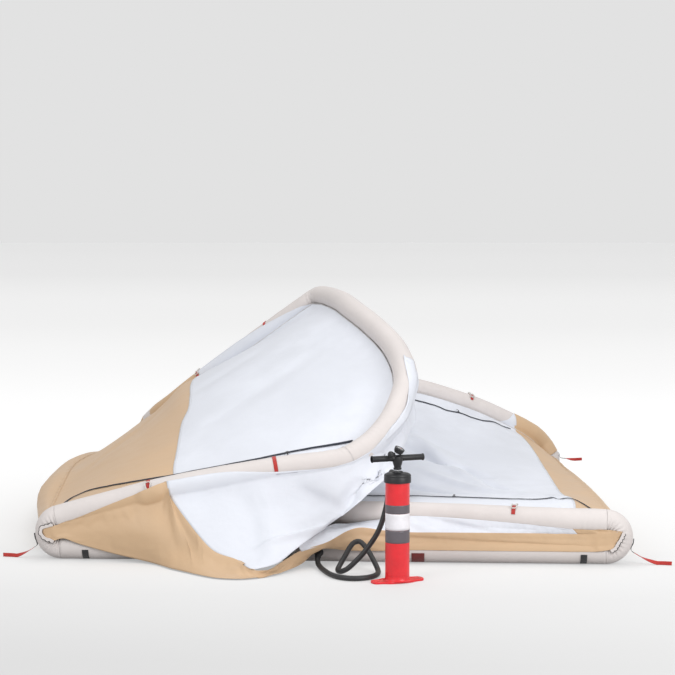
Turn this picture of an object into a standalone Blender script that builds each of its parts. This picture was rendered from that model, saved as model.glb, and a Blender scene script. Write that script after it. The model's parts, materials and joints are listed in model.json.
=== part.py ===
"""Half-inflated air-beam tent with its hand pump.

Metres, +Z up. X runs along the tent's length and Y from its front to its back. The origin is the
middle of the groundsheet's underside. Two straight air beams lie on the ground, and at each end a
long air beam rises from them as an arch, which leans in over the tent while the air is low. Cloth
walls hang between the beams. The pump stands in front, and its hose is plugged into the tent's valve.
"""
import math

import bmesh
import bpy
from mathutils import Matrix, Vector
from mathutils.bvhtree import BVHTree

# Driving sizes of the tent
TENT_LENGTH = 2.80
TENT_DEPTH = 2.70
ARCH_HEIGHT = 1.22
BEAM_DIAMETER = 0.125
BACK_TAPER = 0.13
BEND_GAP = 0.006
UNDER_BEAM_SHARE = 0.3
CLOTH = 0.004
SEAT = 0.0003
SEAM = 0.0006
SEW_CLEARANCE = 0.0015
STITCH_REACH = 0.20

# Driving sizes of the trim
WEBBING_WIDTH = 0.018
WEBBING = 0.0018
STRAP_WIDTH = 0.030
PATCH_WIDTH = 0.060
ZIP_WIDTH = 0.014
ZIP_DEPTH = 0.0024
ZIP_LIFT = 0.0008
SLIDER_LENGTH = 0.024
SLIDER_WIDTH = 0.012
SLIDER_DEPTH = 0.006
GUY_CORD = 0.003
HANK_LENGTH = 0.080
HANK_WIDTH = 0.030
HANK_PITCH = 0.0039
HANK_TAIL = 0.020

# Driving sizes of the pump
FOOT_WIDTH = 0.245
FOOT_DEPTH = 0.100
FOOT_THICKNESS = 0.016
FOOT_RIM = 0.008
FOOT_BOSS_HEIGHT = 0.030
BARREL_DIAMETER = 0.107
BARREL_LENGTH = 0.423
BARREL_WALL = 0.003
CAP_DIAMETER = 0.119
CAP_HEIGHT = 0.036
CAP_SKIRT = 0.014
CAP_DOME = 0.006
ROD_DIAMETER = 0.016
RUNNING_GAP = 0.0006
PISTON_REST = 0.006
PISTON_HEIGHT = 0.020
SEAL_HEIGHT = 0.007
SEAL_DEPTH = 0.004
HANDLE_CLEARANCE = 0.006
HUB_DIAMETER = 0.050
HUB_WAIST_DIAMETER = 0.030
HUB_HEIGHT = 0.078
HANDLE_LIFT = 0.051
HANDLE_WIDTH = 0.247
HANDLE_DIAMETER = 0.025
HANDLE_END_DIAMETER = 0.031
HANDLE_END_BORE = 0.018
HANDLE_END_WALL = 0.004
GAUGE_DIAMETER = 0.046
GAUGE_DEPTH = 0.024
GAUGE_WALL = 0.004
DIAL_DEPTH = 0.0050
LENS_DEPTH = 0.0016
NEEDLE_LENGTH = 0.022
NEEDLE_WIDTH = 0.0024
NEEDLE_DEPTH = 0.0014
KNOB_DIAMETER = 0.030
KNOB_STEM_DIAMETER = 0.012
KNOB_REACH = 0.010
HOSE_DIAMETER = 0.024
HOSE_PORT_LENGTH = 0.034
HOSE_SLEEVE = 0.003
NOZZLE_LENGTH = 0.046
NOZZLE_TIP_LENGTH = 0.012
NOZZLE_TIP_DIAMETER = 0.014
VALVE_DIAMETER = 0.044
VALVE_FLANGE = 0.003
VALVE_BOSS_DIAMETER = 0.026
VALVE_DEPTH = 0.016

# Counts
BEAM_SIDES = 14
LEG_STEPS = 14
CROWN_STEPS = 16
BEND_STEPS = 8
TURNED_SIDES = 24
SMALL_SIDES = 16
BAND_STEPS = 10
STITCH_TRIES = 12
HANK_TURNS = 2
HANK_TURN_POINTS = 16
HANK_SIDES = 6
HOSE_SIDES = 8
HOSE_POINTS = 60

# Colours
CREAM = (0.80, 0.76, 0.72, 1)
TAN = (0.60, 0.45, 0.29, 1)
WHITE = (0.80, 0.83, 0.89, 1)
NAVY = (0.02, 0.03, 0.06, 1)
RED = (0.55, 0.04, 0.03, 1)
PUMP_RED = (0.78, 0.04, 0.05, 1)
BLACK = (0.015, 0.015, 0.017, 1)
GREY = (0.35, 0.35, 0.36, 1)
CORD_WHITE = (0.85, 0.84, 0.80, 1)
CLEAR = (0.9, 0.95, 1.0, 1)

# Sizes worked out from the driving sizes
BEAM_RADIUS = BEAM_DIAMETER / 2
BEND_RADIUS = BEAM_RADIUS + BEND_GAP / 2
HINGE_X = TENT_LENGTH / 2 - BEND_RADIUS - BEAM_RADIUS
HINGE_Z = BEAM_RADIUS + BEND_RADIUS
RIGHT_BACK_X = HINGE_X - BACK_TAPER
FRONT = -TENT_DEPTH / 2
BACK = TENT_DEPTH / 2
RIM = BEAM_RADIUS + SEAM + CLOTH / 2

# Take-off angles of the arches from the ground, in degrees
LEFT_FRONT_RISE = 16
LEFT_BACK_RISE = 80
RIGHT_FRONT_RISE = 2
RIGHT_BACK_RISE = 60

# Middle lines of the arches, as shares of the tent's length, depth and arch height.
# Each is in three runs: the front leg, the crown and the back leg.
LEFT_FRONT_LEG_SHARES = [
    (-0.386, -0.500, 0.204),
    (-0.264, -0.496, 0.276),
    (-0.096, -0.481, 0.344),
    (0.025, -0.448, 0.380),
]
LEFT_CROWN_SHARES = [
    (0.088, -0.389, 0.486),
    (0.117, -0.315, 0.608),
    (0.118, -0.241, 0.688),
    (0.095, -0.122, 0.773),
    (0.053, 0.000, 0.848),
    (0.011, 0.111, 0.904),
    (-0.014, 0.204, 0.932),
    (-0.046, 0.296, 0.948),
    (-0.075, 0.352, 0.949),
]
LEFT_BACK_LEG_SHARES = [
    (-0.186, 0.381, 0.772),
    (-0.294, 0.407, 0.592),
    (-0.346, 0.422, 0.502),
    (-0.400, 0.444, 0.403),
    (-0.462, 0.476, 0.283),
]
RIGHT_FRONT_LEG_SHARES = [
    (0.382, -0.500, 0.162),
    (0.306, -0.489, 0.164),
    (0.198, -0.470, 0.166),
    (0.107, -0.452, 0.164),
    (0.011, -0.419, 0.156),
]
RIGHT_CROWN_SHARES = [
    (-0.061, -0.344, 0.150),
    (-0.104, -0.204, 0.170),
    (-0.111, -0.037, 0.240),
    (-0.086, 0.130, 0.360),
    (-0.029, 0.270, 0.450),
    (0.054, 0.359, 0.502),
]
RIGHT_BACK_LEG_SHARES = [
    (0.134, 0.404, 0.487),
    (0.251, 0.441, 0.400),
    (0.328, 0.463, 0.320),
    (0.380, 0.481, 0.256),
    (0.404, 0.491, 0.212),
]

COLLECTION = bpy.data.collections.new("air_beam_tent")
CUTTERS = bpy.data.collections.new("cutters")


def clear_scene():
    for old in list(bpy.data.objects):
        bpy.data.objects.remove(old)
    bpy.context.scene.collection.children.link(COLLECTION)
    bpy.context.scene.collection.children.link(CUTTERS)


def material(name, colour, roughness=0.6, metallic=0.0):
    made = bpy.data.materials.get(name)
    if made:
        return made
    made = bpy.data.materials.new(name)
    made.use_nodes = True
    shader = made.node_tree.nodes["Principled BSDF"]
    shader.inputs["Base Color"].default_value = colour
    shader.inputs["Roughness"].default_value = roughness
    shader.inputs["Metallic"].default_value = metallic
    made.diffuse_color = colour
    return made


def finish(piece, name, colour, roughness=0.6):
    """Names a piece, files it in the tent's collection and gives it its own material."""
    piece.name = name
    piece.data.name = name
    for home in list(piece.users_collection):
        home.objects.unlink(piece)
    COLLECTION.objects.link(piece)
    piece.data.materials.clear()
    piece.data.materials.append(material(name + "_finish", colour, roughness))
    return piece


def place(share):
    """A point given as shares of the tent's length, depth and arch height."""
    return Vector((share[0] * TENT_LENGTH, share[1] * TENT_DEPTH, share[2] * ARCH_HEIGHT))


def places(shares):
    return [place(share) for share in shares]


def spline_point(points, i, t):
    """A point on the smooth curve through the points, a part t of the way from i to i + 1."""
    last = len(points) - 1
    b = points[i]
    c = points[min(i + 1, last)]
    a = points[i - 1] if i > 0 else b * 2 - c
    d = points[i + 2] if i + 2 <= last else c * 2 - b
    return (
        b * 2
        + (c - a) * t
        + (a * 2 - b * 5 + c * 4 - d) * t * t
        + (b * 3 - a - c * 3 + d) * t * t * t
    ) * 0.5


def smooth(points, per_span=12):
    fine = []
    for i in range(len(points) - 1):
        fine += [spline_point(points, i, k / per_span) for k in range(per_span)]
    return fine + [points[-1].copy()]


def resample(points, steps):
    """The same line with its length cut into equal steps."""
    lengths = [0.0]
    for a, b in zip(points, points[1:]):
        lengths.append(lengths[-1] + (b - a).length)
    out = []
    k = 0
    for step in range(steps + 1):
        target = lengths[-1] * step / steps
        while k < len(points) - 2 and lengths[k + 1] < target:
            k += 1
        run = lengths[k + 1] - lengths[k]
        share = (target - lengths[k]) / run if run else 0.0
        out.append(points[k].lerp(points[k + 1], min(max(share, 0.0), 1.0)))
    return out


def tangent(path, i):
    before = path[max(i - 1, 0)]
    after = path[min(i + 1, len(path) - 1)]
    return (after - before).normalized()


def link(mesh, name, colour, roughness=0.6):
    piece = bpy.data.objects.new(name, mesh)
    COLLECTION.objects.link(piece)
    return finish(piece, name, colour, roughness)


def tube(name, points, diameter, sides, colour, roughness=0.6, tilt=0.0):
    """A round tube along the points, with flat ends. A tilt turns its section."""
    curve = bpy.data.curves.new(name, "CURVE")
    curve.dimensions = "3D"
    curve.bevel_depth = diameter / 2
    curve.bevel_resolution = (sides - 4) // 2
    curve.use_fill_caps = True
    spline = curve.splines.new("POLY")
    spline.points.add(len(points) - 1)
    for spot, point in zip(spline.points, points):
        spot.co = (point.x, point.y, point.z, 1)
        spot.tilt = tilt
    return link(curve, name, colour, roughness)


def surface(name, grid, thickness, colour, roughness=0.7):
    """A cloth sheet through a grid of points, given its thickness on both sides alike."""
    mesh = bpy.data.meshes.new(name)
    columns = len(grid[0])
    points = [point for row in grid for point in row]
    faces = []
    for r in range(len(grid) - 1):
        for c in range(columns - 1):
            corner = r * columns + c
            faces.append((corner, corner + 1, corner + columns + 1, corner + columns))
    mesh.from_pydata(points, [], faces)
    piece = link(mesh, name, colour, roughness)
    mesh.shade_smooth()
    wall = piece.modifiers.new("cloth", "SOLIDIFY")
    wall.thickness = thickness
    wall.offset = 0
    return piece


def sweep(name, frames, section, colour, roughness=0.6, closed=False):
    """A flat section carried along frames, each an origin, a side direction and an up direction."""
    mesh = bpy.data.meshes.new(name)
    bm = bmesh.new()
    rings = []
    for origin, side, up in frames:
        rings.append([bm.verts.new(origin + side * a + up * b) for a, b in section])
    spans = list(zip(rings, rings[1:]))
    if closed:
        spans.append((rings[-1], rings[0]))
    count = len(section)
    for first, second in spans:
        for k in range(count):
            n = (k + 1) % count
            bm.faces.new((first[k], first[n], second[n], second[k]))
    if not closed:
        bm.faces.new(rings[0])
        bm.faces.new(rings[-1])
    bmesh.ops.recalc_face_normals(bm, faces=bm.faces)
    bm.to_mesh(mesh)
    bm.free()
    return link(mesh, name, colour, roughness)


def flat_section(width, depth):
    """A rectangle that stands on its origin."""
    return [(-width / 2, 0.0), (width / 2, 0.0), (width / 2, depth), (-width / 2, depth)]


def round_section(diameter, sides):
    """A regular outline with a corner straight up and one straight down."""
    turns = [math.pi / 2 + 2 * math.pi * k / sides for k in range(sides)]
    return [(diameter / 2 * math.cos(turn), diameter / 2 * math.sin(turn)) for turn in turns]


def turned(name, profile, colour, roughness=0.4, sides=TURNED_SIDES, ring=False):
    """A turned piece. The profile is (radius, height) pairs down its outer side from top to bottom.

    A ring's profile goes down its outer side and back up its bore to where it began.
    """
    mesh = bpy.data.meshes.new(name)
    bm = bmesh.new()
    verts = [bm.verts.new((radius, 0.0, height)) for radius, height in profile]
    for a, b in zip(verts, verts[1:]):
        bm.edges.new((a, b))
    if ring:
        bm.edges.new((verts[-1], verts[0]))
    bm.to_mesh(mesh)
    bm.free()
    piece = link(mesh, name, colour, roughness)
    screw = piece.modifiers.new("turn", "SCREW")
    screw.axis = "Z"
    screw.steps = sides
    screw.render_steps = sides
    screw.use_merge_vertices = True
    screw.merge_threshold = 0.00001
    screw.use_smooth_shade = True
    return piece


def stand(piece, base, direction):
    """Puts a piece's own origin at a base point with its Z axis along a direction."""
    turn = direction.to_track_quat("Z", "Y").to_matrix().to_4x4()
    piece.matrix_world = Matrix.Translation(base) @ turn
    return piece


def cylinder_cutter(name, base, direction, diameter, length):
    bpy.ops.mesh.primitive_cylinder_add(vertices=TURNED_SIDES, radius=diameter / 2, depth=length)
    cutter = bpy.context.object
    stand(cutter, base + direction.normalized() * (length / 2), direction)
    cutter.name = name
    for home in list(cutter.users_collection):
        home.objects.unlink(cutter)
    CUTTERS.objects.link(cutter)
    cutter.hide_render = True
    cutter.display_type = "WIRE"
    return cutter


def cut(piece, cutter):
    hole = piece.modifiers.new("cut", "BOOLEAN")
    hole.operation = "DIFFERENCE"
    hole.object = cutter
    return piece


def bend_spoke(middle, angle):
    """The direction from a bend's middle at an angle up from straight out of the tent."""
    turn = math.radians(angle)
    side = math.copysign(1, middle.x)
    return Vector((side * math.cos(turn), 0.0, math.sin(turn)))


def bend_point(middle, angle):
    """A point on a corner bend's middle line."""
    return middle + bend_spoke(middle, angle) * BEND_RADIUS


def heading(middle, rise):
    """The way an arch leaves its corner bend."""
    turn = math.radians(rise)
    side = math.copysign(1, middle.x)
    return Vector((-side * math.cos(turn), 0.0, math.sin(turn)))


def leg_start(middle, rise):
    """Where an arch's middle line begins, clear of its corner bend by the seat gap."""
    return bend_point(middle, 90 - rise) + heading(middle, rise) * SEAT


def arch_path(front_middle, back_middle, rises, front_shares, crown_shares, back_shares):
    """Stations along an arch's middle line, in even steps in each leg and in the crown."""
    front = [leg_start(front_middle, rises[0])] + places(front_shares)
    crown = places(crown_shares)
    back = places(back_shares) + [leg_start(back_middle, rises[1])]
    knots = front + crown + back
    per_span = 12
    fine = smooth(knots, per_span)
    first = (len(front) - 1) * per_span
    second = (len(front) + len(crown) - 1) * per_span
    path = resample(fine[: first + 1], LEG_STEPS)
    path += resample(fine[first : second + 1], CROWN_STEPS)[1:]
    path += resample(fine[second:], LEG_STEPS)[1:]
    path[1] = path[0] + heading(front_middle, rises[0]) * (path[1] - path[0]).length
    path[-2] = path[-1] + heading(back_middle, rises[1]) * (path[-2] - path[-1]).length
    return path


def rim(path, indices, centre, reach=RIM):
    """Points beside a beam, off its middle line towards the middle of the wall that it carries."""
    out = []
    for i in indices:
        along = tangent(path, i)
        inward = centre - path[i]
        inward -= along * inward.dot(along)
        out.append(path[i] + inward.normalized() * reach)
    return out


def held_row(path, stations, sides):
    """Where cloth is sewn to a beam at some stations, on a side that turns from one to another."""
    row = []
    for k, i in enumerate(stations):
        along = tangent(path, i)
        out = Vector(sides[0]).lerp(Vector(sides[1]), k / (len(stations) - 1))
        out -= along * out.dot(along)
        row.append(path[i] + out.normalized() * RIM)
    return row


def nearest_on(path, point):
    """The point of a beam's middle line that is nearest to another point."""
    best = path[0]
    for a, b in zip(path, path[1:]):
        run = b - a
        share = min(max((point - a).dot(run) / run.dot(run), 0.0), 1.0)
        spot = a + run * share
        if (point - spot).length < (point - best).length:
            best = spot
    return best


def sew(path, grid, row, first=0, last=None):
    """Draws part of one edge of a grid onto a beam, and keeps the rest of the grid outside it."""
    for r in range(len(grid)):
        for c, point in enumerate(grid[r]):
            out = point - nearest_on(path, point)
            edge = r == row and c >= first and (last is None or c <= last)
            reach = RIM + SEW_CLEARANCE + (0.0 if edge else CLOTH * 1.5)
            if edge or out.length < reach:
                grid[r][c] = point - out + out.normalized() * reach
    for cells in grid:
        for a, b in zip(cells, cells[1:]):
            middle = a.lerp(b, 0.5)
            out = middle - nearest_on(path, middle)
            short = RIM + SEW_CLEARANCE - out.length
            if short > 0:
                push = out.normalized() * short
                a += push
                b += push
    return grid


def rows_between(front, back, base, top):
    """A grid of points that fills the space between four edges.

    The front and back edges run from the base to the top, and the base and top edges from the front
    to the back. Each row of the grid crosses from the front edge to the back edge.
    """
    rows = len(front) - 1
    columns = len(base) - 1
    grid = []
    for r in range(rows + 1):
        u = r / rows
        row = []
        for c in range(columns + 1):
            w = c / columns
            ruled = base[c].lerp(top[c], u) + front[r].lerp(back[r], w)
            corners = base[0].lerp(base[-1], w).lerp(top[0].lerp(top[-1], w), u)
            row.append(ruled - corners)
        grid.append(row)
    return grid


def swell(grid, rows, amount, lean):
    """Pushes the inside of a grid's first rows along a direction, most in their middle."""
    columns = len(grid[0]) - 1
    for r in range(rows + 1):
        for c, point in enumerate(grid[r]):
            point += amount * (math.sin(math.pi * r / rows) * math.sin(math.pi * (c / columns) ** lean))
    return grid


def wall_grid(path, base_points):
    """The cloth wall inside an arch."""
    last = len(path) - 1
    front_ids = list(range(0, LEG_STEPS + 1))
    top_ids = list(range(LEG_STEPS, LEG_STEPS + CROWN_STEPS + 1))
    back_ids = list(range(last, LEG_STEPS + CROWN_STEPS - 1, -1))
    centre = sum(path, Vector()) / len(path)
    front = rim(path, front_ids, centre)
    top = rim(path, top_ids, centre)
    back = rim(path, back_ids, centre)
    base_line = smooth([front[0]] + base_points + [back[0]])
    base = resample(base_line, CROWN_STEPS)
    return rows_between(front, back, base, top)


def net_grid(net, rows, columns):
    """A smooth grid through a coarse net of columns, each a list of points."""
    fine_columns = [resample(smooth(column), rows) for column in net]
    grid = []
    for r in range(rows + 1):
        grid.append(resample(smooth([column[r] for column in fine_columns]), columns))
    return grid


def trimmed(grid, first, last, gap_first=0.0, gap_last=0.0):
    """Some rows of a grid, with the first or last one drawn back from a seam."""
    rows = [[point.copy() for point in row] for row in grid[first : last + 1]]
    for k, inner in enumerate(rows[1]):
        rows[0][k] += (inner - rows[0][k]).normalized() * gap_first
    for k, inner in enumerate(rows[-2]):
        rows[-1][k] += (inner - rows[-1][k]).normalized() * gap_last
    return rows


def grid_normal(grid, r, c):
    """The way a grid faces at one of its points, worked out as a smooth mesh does."""
    rows = len(grid) - 1
    columns = len(grid[0]) - 1
    down = grid[min(r + 1, rows)][c] - grid[max(r - 1, 0)][c]
    across = grid[r][min(c + 1, columns)] - grid[r][max(c - 1, 0)]
    normal = across.cross(down).normalized()
    return normal if normal.z > 0 else -normal


# Corner bends: the middle of each turn, which is also on its arch's hinge
FRONT_LEFT = Vector((-HINGE_X, FRONT, HINGE_Z))
BACK_LEFT = Vector((-HINGE_X, BACK, HINGE_Z))
FRONT_RIGHT = Vector((HINGE_X, FRONT, HINGE_Z))
BACK_RIGHT = Vector((RIGHT_BACK_X, BACK, HINGE_Z))

# Cloth nets, as shares of the tent's length, depth and arch height.
# A net is a list of columns, each with its points from the top of the cloth to its foot.
LEFT_BASE_SHARES = [
    (-0.499, -0.389, 0.152),
    (-0.516, -0.278, 0.158),
    (-0.529, -0.167, 0.171),
    (-0.541, -0.056, 0.190),
    (-0.553, 0.090, 0.196),
    (-0.550, 0.250, 0.190),
    (-0.525, 0.385, 0.175),
]
RIGHT_BASE_SHARES = [
    (0.470, -0.352, 0.164),
    (0.462, -0.056, 0.160),
    (0.447, 0.204, 0.150),
    (0.434, 0.389, 0.150),
]
# Each skirt hangs from its wall's foot at some of the wall's columns. Below the seam each point is
# a share of the tent's length outwards and of the arch height upwards.
SKIRT_COLUMNS = [1, 3, 6, 10, 13, 15]
LEFT_SKIRT_SHARES = [
    [(-0.514, 0.100), (-0.513, 0.032), (-0.500, 0.006)],
    [(-0.543, 0.130), (-0.540, 0.060), (-0.510, 0.006)],
    [(-0.580, 0.152), (-0.578, 0.072), (-0.520, 0.006)],
    [(-0.604, 0.130), (-0.598, 0.052), (-0.525, 0.006)],
    [(-0.598, 0.115), (-0.590, 0.036), (-0.515, 0.006)],
    [(-0.535, 0.090), (-0.525, 0.032), (-0.500, 0.006)],
]
RIGHT_SKIRT_SHARES = [
    [(0.486, 0.104), (0.489, 0.056), (0.480, 0.006)],
    [(0.482, 0.112), (0.486, 0.056), (0.474, 0.006)],
    [(0.476, 0.118), (0.480, 0.056), (0.467, 0.006)],
    [(0.464, 0.110), (0.468, 0.056), (0.456, 0.006)],
    [(0.447, 0.096), (0.451, 0.056), (0.441, 0.006)],
    [(0.434, 0.080), (0.436, 0.048), (0.428, 0.006)],
]
SKIRT_ROWS = 6
SKIRT_SHOULDER_SHARE = 0.45
SKIRT_LIFT_SHARE = -0.20
SKIRT_REACH_SHARE = 0.65
# The drape hangs from the left arch between these stations, on the sides of the beam that are named
DRAPE_STATIONS = [5, 8, 11, 14, 16, 17, 19]
DRAPE_SIDES = [(0.0, -0.6, -0.8), (0.2, -0.6, -0.8)]
DRAPE_STEPS = 18
HEM_ROWS = 5
HEM_STEPS = 40
WHITE_DRAPE_SHARES = [
    [(-0.232, -0.556, 0.164), (-0.189, -0.596, 0.080), (-0.149, -0.622, 0.054), (-0.119, -0.648, 0.026)],
    [(-0.129, -0.552, 0.200), (-0.107, -0.589, 0.132), (-0.093, -0.619, 0.084), (-0.080, -0.630, 0.044)],
    [(-0.043, -0.522, 0.232), (-0.050, -0.556, 0.172), (-0.054, -0.578, 0.124), (-0.051, -0.593, 0.085)],
    [(0.018, -0.500, 0.264), (0.007, -0.519, 0.216), (0.000, -0.537, 0.176), (-0.008, -0.544, 0.145)],
    [(0.071, -0.456, 0.344), (0.057, -0.474, 0.296), (0.046, -0.493, 0.248), (0.038, -0.507, 0.214)],
    [(0.120, -0.385, 0.440), (0.107, -0.407, 0.384), (0.096, -0.437, 0.336), (0.088, -0.456, 0.301)],
    [(0.140, -0.308, 0.536), (0.131, -0.330, 0.480), (0.123, -0.356, 0.432), (0.119, -0.381, 0.388)],
]
TAN_HEM_SHARES = [
    [(-0.446, -0.526, 0.120), (-0.446, -0.527, 0.104), (-0.446, -0.527, 0.088)],
    [(-0.416, -0.526, 0.150), (-0.417, -0.528, 0.110), (-0.418, -0.527, 0.066)],
    [(-0.361, -0.522, 0.186), (-0.362, -0.533, 0.120), (-0.364, -0.530, 0.034)],
    [(-0.299, -0.520, 0.208), (-0.298, -0.546, 0.126), (-0.299, -0.546, 0.008)],
    [(-0.266, -0.519, 0.207), (-0.262, -0.562, 0.100), (-0.257, -0.593, 0.006)],
    [(-0.232, -0.556, 0.157), (-0.220, -0.593, 0.070), (-0.212, -0.637, 0.006)],
    [(-0.191, -0.596, 0.074), (-0.184, -0.630, 0.034), (-0.175, -0.667, 0.006)],
    [(-0.151, -0.622, 0.047), (-0.144, -0.650, 0.022), (-0.135, -0.674, 0.006)],
    [(-0.119, -0.646, 0.020), (-0.111, -0.655, 0.012), (-0.104, -0.658, 0.006)],
    [(-0.090, -0.626, 0.026), (-0.087, -0.633, 0.014), (-0.085, -0.640, 0.006)],
    [(-0.068, -0.596, 0.046), (-0.068, -0.606, 0.026), (-0.068, -0.611, 0.008)],
    [(-0.045, -0.574, 0.070), (-0.045, -0.576, 0.044), (-0.045, -0.570, 0.018)],
    [(-0.005, -0.556, 0.094), (-0.007, -0.556, 0.078), (-0.014, -0.552, 0.066)],
    [(0.028, -0.540, 0.131), (0.029, -0.542, 0.090), (0.030, -0.536, 0.056)],
    [(0.052, -0.531, 0.142), (0.054, -0.536, 0.096), (0.057, -0.530, 0.053)],
    [(0.087, -0.525, 0.130), (0.089, -0.531, 0.092), (0.093, -0.528, 0.053)],
]
LEFT_STRIP_SHARES = [
    [(0.040, -0.500, 0.170), (0.046, -0.512, 0.160), (0.052, -0.522, 0.150)],
    [(0.078, -0.494, 0.176), (0.082, -0.506, 0.158), (0.087, -0.518, 0.140)],
]
# The roof hangs from the left arch's crown to the right arch's, which lies lower and inside it
ROOF_LEFT_STATIONS = [19, 21, 24, 26, 28, 30]
ROOF_RIGHT_STATIONS = [17, 20, 23, 26, 28, 30]
ROOF_LEFT_SIDES = [(0.5, -0.1, -0.8), (0.5, 0.3, -0.8)]
ROOF_RIGHT_SIDES = [(0.9, 0.0, 0.4), (0.0, 0.3, 0.9)]
ROOF_ROWS = 9
ROOF_STEPS = 15
ROOF_SHARES = [
    [(0.140, -0.263, 0.528), (0.122, -0.270, 0.416), (0.079, -0.270, 0.330)],
    [(0.136, -0.130, 0.592), (0.123, -0.130, 0.448), (0.079, -0.130, 0.362)],
    [(0.110, 0.019, 0.656), (0.100, 0.019, 0.512), (0.064, 0.019, 0.434)],
    [(0.074, 0.167, 0.730), (0.071, 0.167, 0.602), (0.046, 0.167, 0.540)],
    [(0.030, 0.296, 0.768), (0.038, 0.296, 0.680), (0.034, 0.290, 0.620)],
    [(-0.005, 0.385, 0.780), (0.030, 0.385, 0.690), (0.046, 0.378, 0.620)],
]
# The back wall hangs from both back legs and from the roof's edge between them. Its seam is a row of
# shares of the tent's length, depth and arch height.
BACK_LEFT_STATIONS = [41, 39, 36, 33, 31]
BACK_RIGHT_STATIONS = [32, 34, 37, 39, 41]
BACK_ROWS = 6
BACK_STEPS = 20
BACK_SIDES = [(0.0, 1.0, -0.2), (0.0, 1.0, -0.2)]
SADDLE_SHARES = [
    (0.010, 0.405, 0.735),
]
BACK_SEAM_SHARES = [
    (-0.440, 0.540, 0.180),
    (-0.380, 0.530, 0.250),
    (-0.286, 0.515, 0.340),
    (-0.190, 0.508, 0.420),
    (-0.090, 0.505, 0.450),
    (-0.006, 0.507, 0.400),
    (0.075, 0.510, 0.330),
    (0.160, 0.515, 0.290),
    (0.240, 0.525, 0.255),
    (0.320, 0.535, 0.210),
    (0.385, 0.540, 0.160),
]

# How far the walls swell, as shares of the arch height. A lean over 1 moves the most to the back.
LEFT_WALL_SWELL_SHARES = (-0.025, 0.000, 0.025)
LEFT_POUCH_SHARES = (0.042, 0.000, -0.046)
RIGHT_WALL_SWELL_SHARES = (0.010, 0.000, -0.030)
EVEN = 1.0
POUCH_LEAN = 2.2
LEFT_TAN_ROWS = 6
RIGHT_TAN_ROWS = 3
ZIP_COLUMN = 1

# Angles of the front band on its beam, in degrees up from straight forward
STRIP_STATIONS = [10, 8, 6, 4, 3, 1]
STRIP_FREE_STEPS = 3
HEM_ANGLE = 4
SHOULDER_ANGLE = 38
BAND_TOP_SHARE = 1.18
BAND_PUFF_SHARE = 0.20
FORWARD = (0.0, -1.0, 0.0)


# Where the trim is, as shares of the tent's length, depth and arch height
RUN_END_SHARE = 0.2
TAB_HALF_TURN = 60
HANK_WAIST_SHARE = 0.25
LEFT, RIGHT = "left", "right"
TAB_SHARES = [
    ("left_crown", LEFT, (-0.189, 0.363, 0.804), (-0.5, 0.0, 0.8), None),
    ("left_back", LEFT, (-0.345, 0.407, 0.558), (-0.5, 0.0, 0.8), -10),
    ("left_front", LEFT, (-0.304, -0.507, 0.272), (0.0, -0.7, 0.7), 20),
    ("left_middle", LEFT, (-0.095, -0.481, 0.347), (0.0, -0.5, 0.8), None),
    ("right_back", RIGHT, (0.2525, 0.437, 0.415), (0.2, 0.1, 0.9), 10),
    ("right_front", RIGHT, (0.304, -0.493, 0.196), (0.0, 0.0, 1.0), 0),
]
STRAP_TOP_ANGLE = 9
STRAP_FOOT_ANGLE = 62
STRAP_SHARES = [
    ("strap_front_left", -0.411, STRAP_WIDTH, BLACK),
    ("strap_front_right", 0.4175, STRAP_WIDTH, BLACK),
    ("patch_front", 0.1446, PATCH_WIDTH, RED),
]
PEG_STRAP_STEPS = 12
PEG_FRONT_LEFT_SHARES = [(-0.5143, -0.5000, 0.0246), (-0.5357, -0.4963, 0.0061), (-0.5571, -0.4926, 0.0016)]
PEG_FRONT_RIGHT_SHARES = [(0.5179, -0.5056, 0.0246), (0.5429, -0.5074, 0.0061), (0.5625, -0.5111, 0.0016)]
PEG_BACK_RIGHT_SHARES = [(0.4700, 0.5050, 0.1127), (0.4850, 0.5060, 0.1086), (0.5036, 0.5070, 0.1107)]
VALVE_SHARE = -0.0196
VALVE_ANGLE = -9

# Each cloth and what it is stitched to
STITCHES = [
    ("end_wall_left_tan", "arch_beam_left"),
    ("end_wall_left_white", "arch_beam_left"),
    ("end_wall_right_tan", "arch_beam_right"),
    ("end_wall_right_white", "arch_beam_right"),
    ("end_skirt_left", "end_wall_left_tan"),
    ("end_skirt_right", "end_wall_right_tan"),
    ("roof_white", "arch_beam_left"),
    ("roof_white", "arch_beam_right"),
    ("front_hem_tan", "ground_beam_front"),
    ("front_drape_white", "arch_beam_left"),
    ("front_drape_white", "front_hem_tan"),
    ("front_strip_white", "arch_beam_right"),
    ("front_strip_white", "front_hem_tan"),
    ("back_wall_white", "arch_beam_left"),
    ("back_wall_white", "arch_beam_right"),
    ("back_wall_tan", "back_wall_white"),
    ("peg_strap_front_left", "corner_bend_front_left"),
    ("peg_strap_front_right", "corner_bend_front_right"),
    ("peg_strap_back_right", "corner_bend_back_right"),
]

# Where the pump stands, and how it is turned
PUMP_SHARES = (0.1132, -0.6689, 0.0)
PUMP_TURN = 25
BARREL_BASE = FOOT_BOSS_HEIGHT + SEAT
FOOT_OUTLINE_SHARES = [
    (0.12, -0.50), (0.22, -0.46), (0.30, -0.36), (0.37, -0.31), (0.44, -0.29), (0.48, -0.22),
    (0.50, -0.08), (0.50, 0.08), (0.48, 0.22), (0.44, 0.29), (0.37, 0.31), (0.30, 0.36),
    (0.22, 0.46), (0.12, 0.50),
]
GAUGE_AXIS = (0.45, -0.15, 0.88)
GAUGE_LIFT = 0.010
KNOB_AXIS = (-0.55, -0.83, 0.0)
KNOB_DROP_SHARE = 0.2
KNOB_STEPS = 8
PORT_AXIS = (-0.233, 0.972, 0.0)

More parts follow.
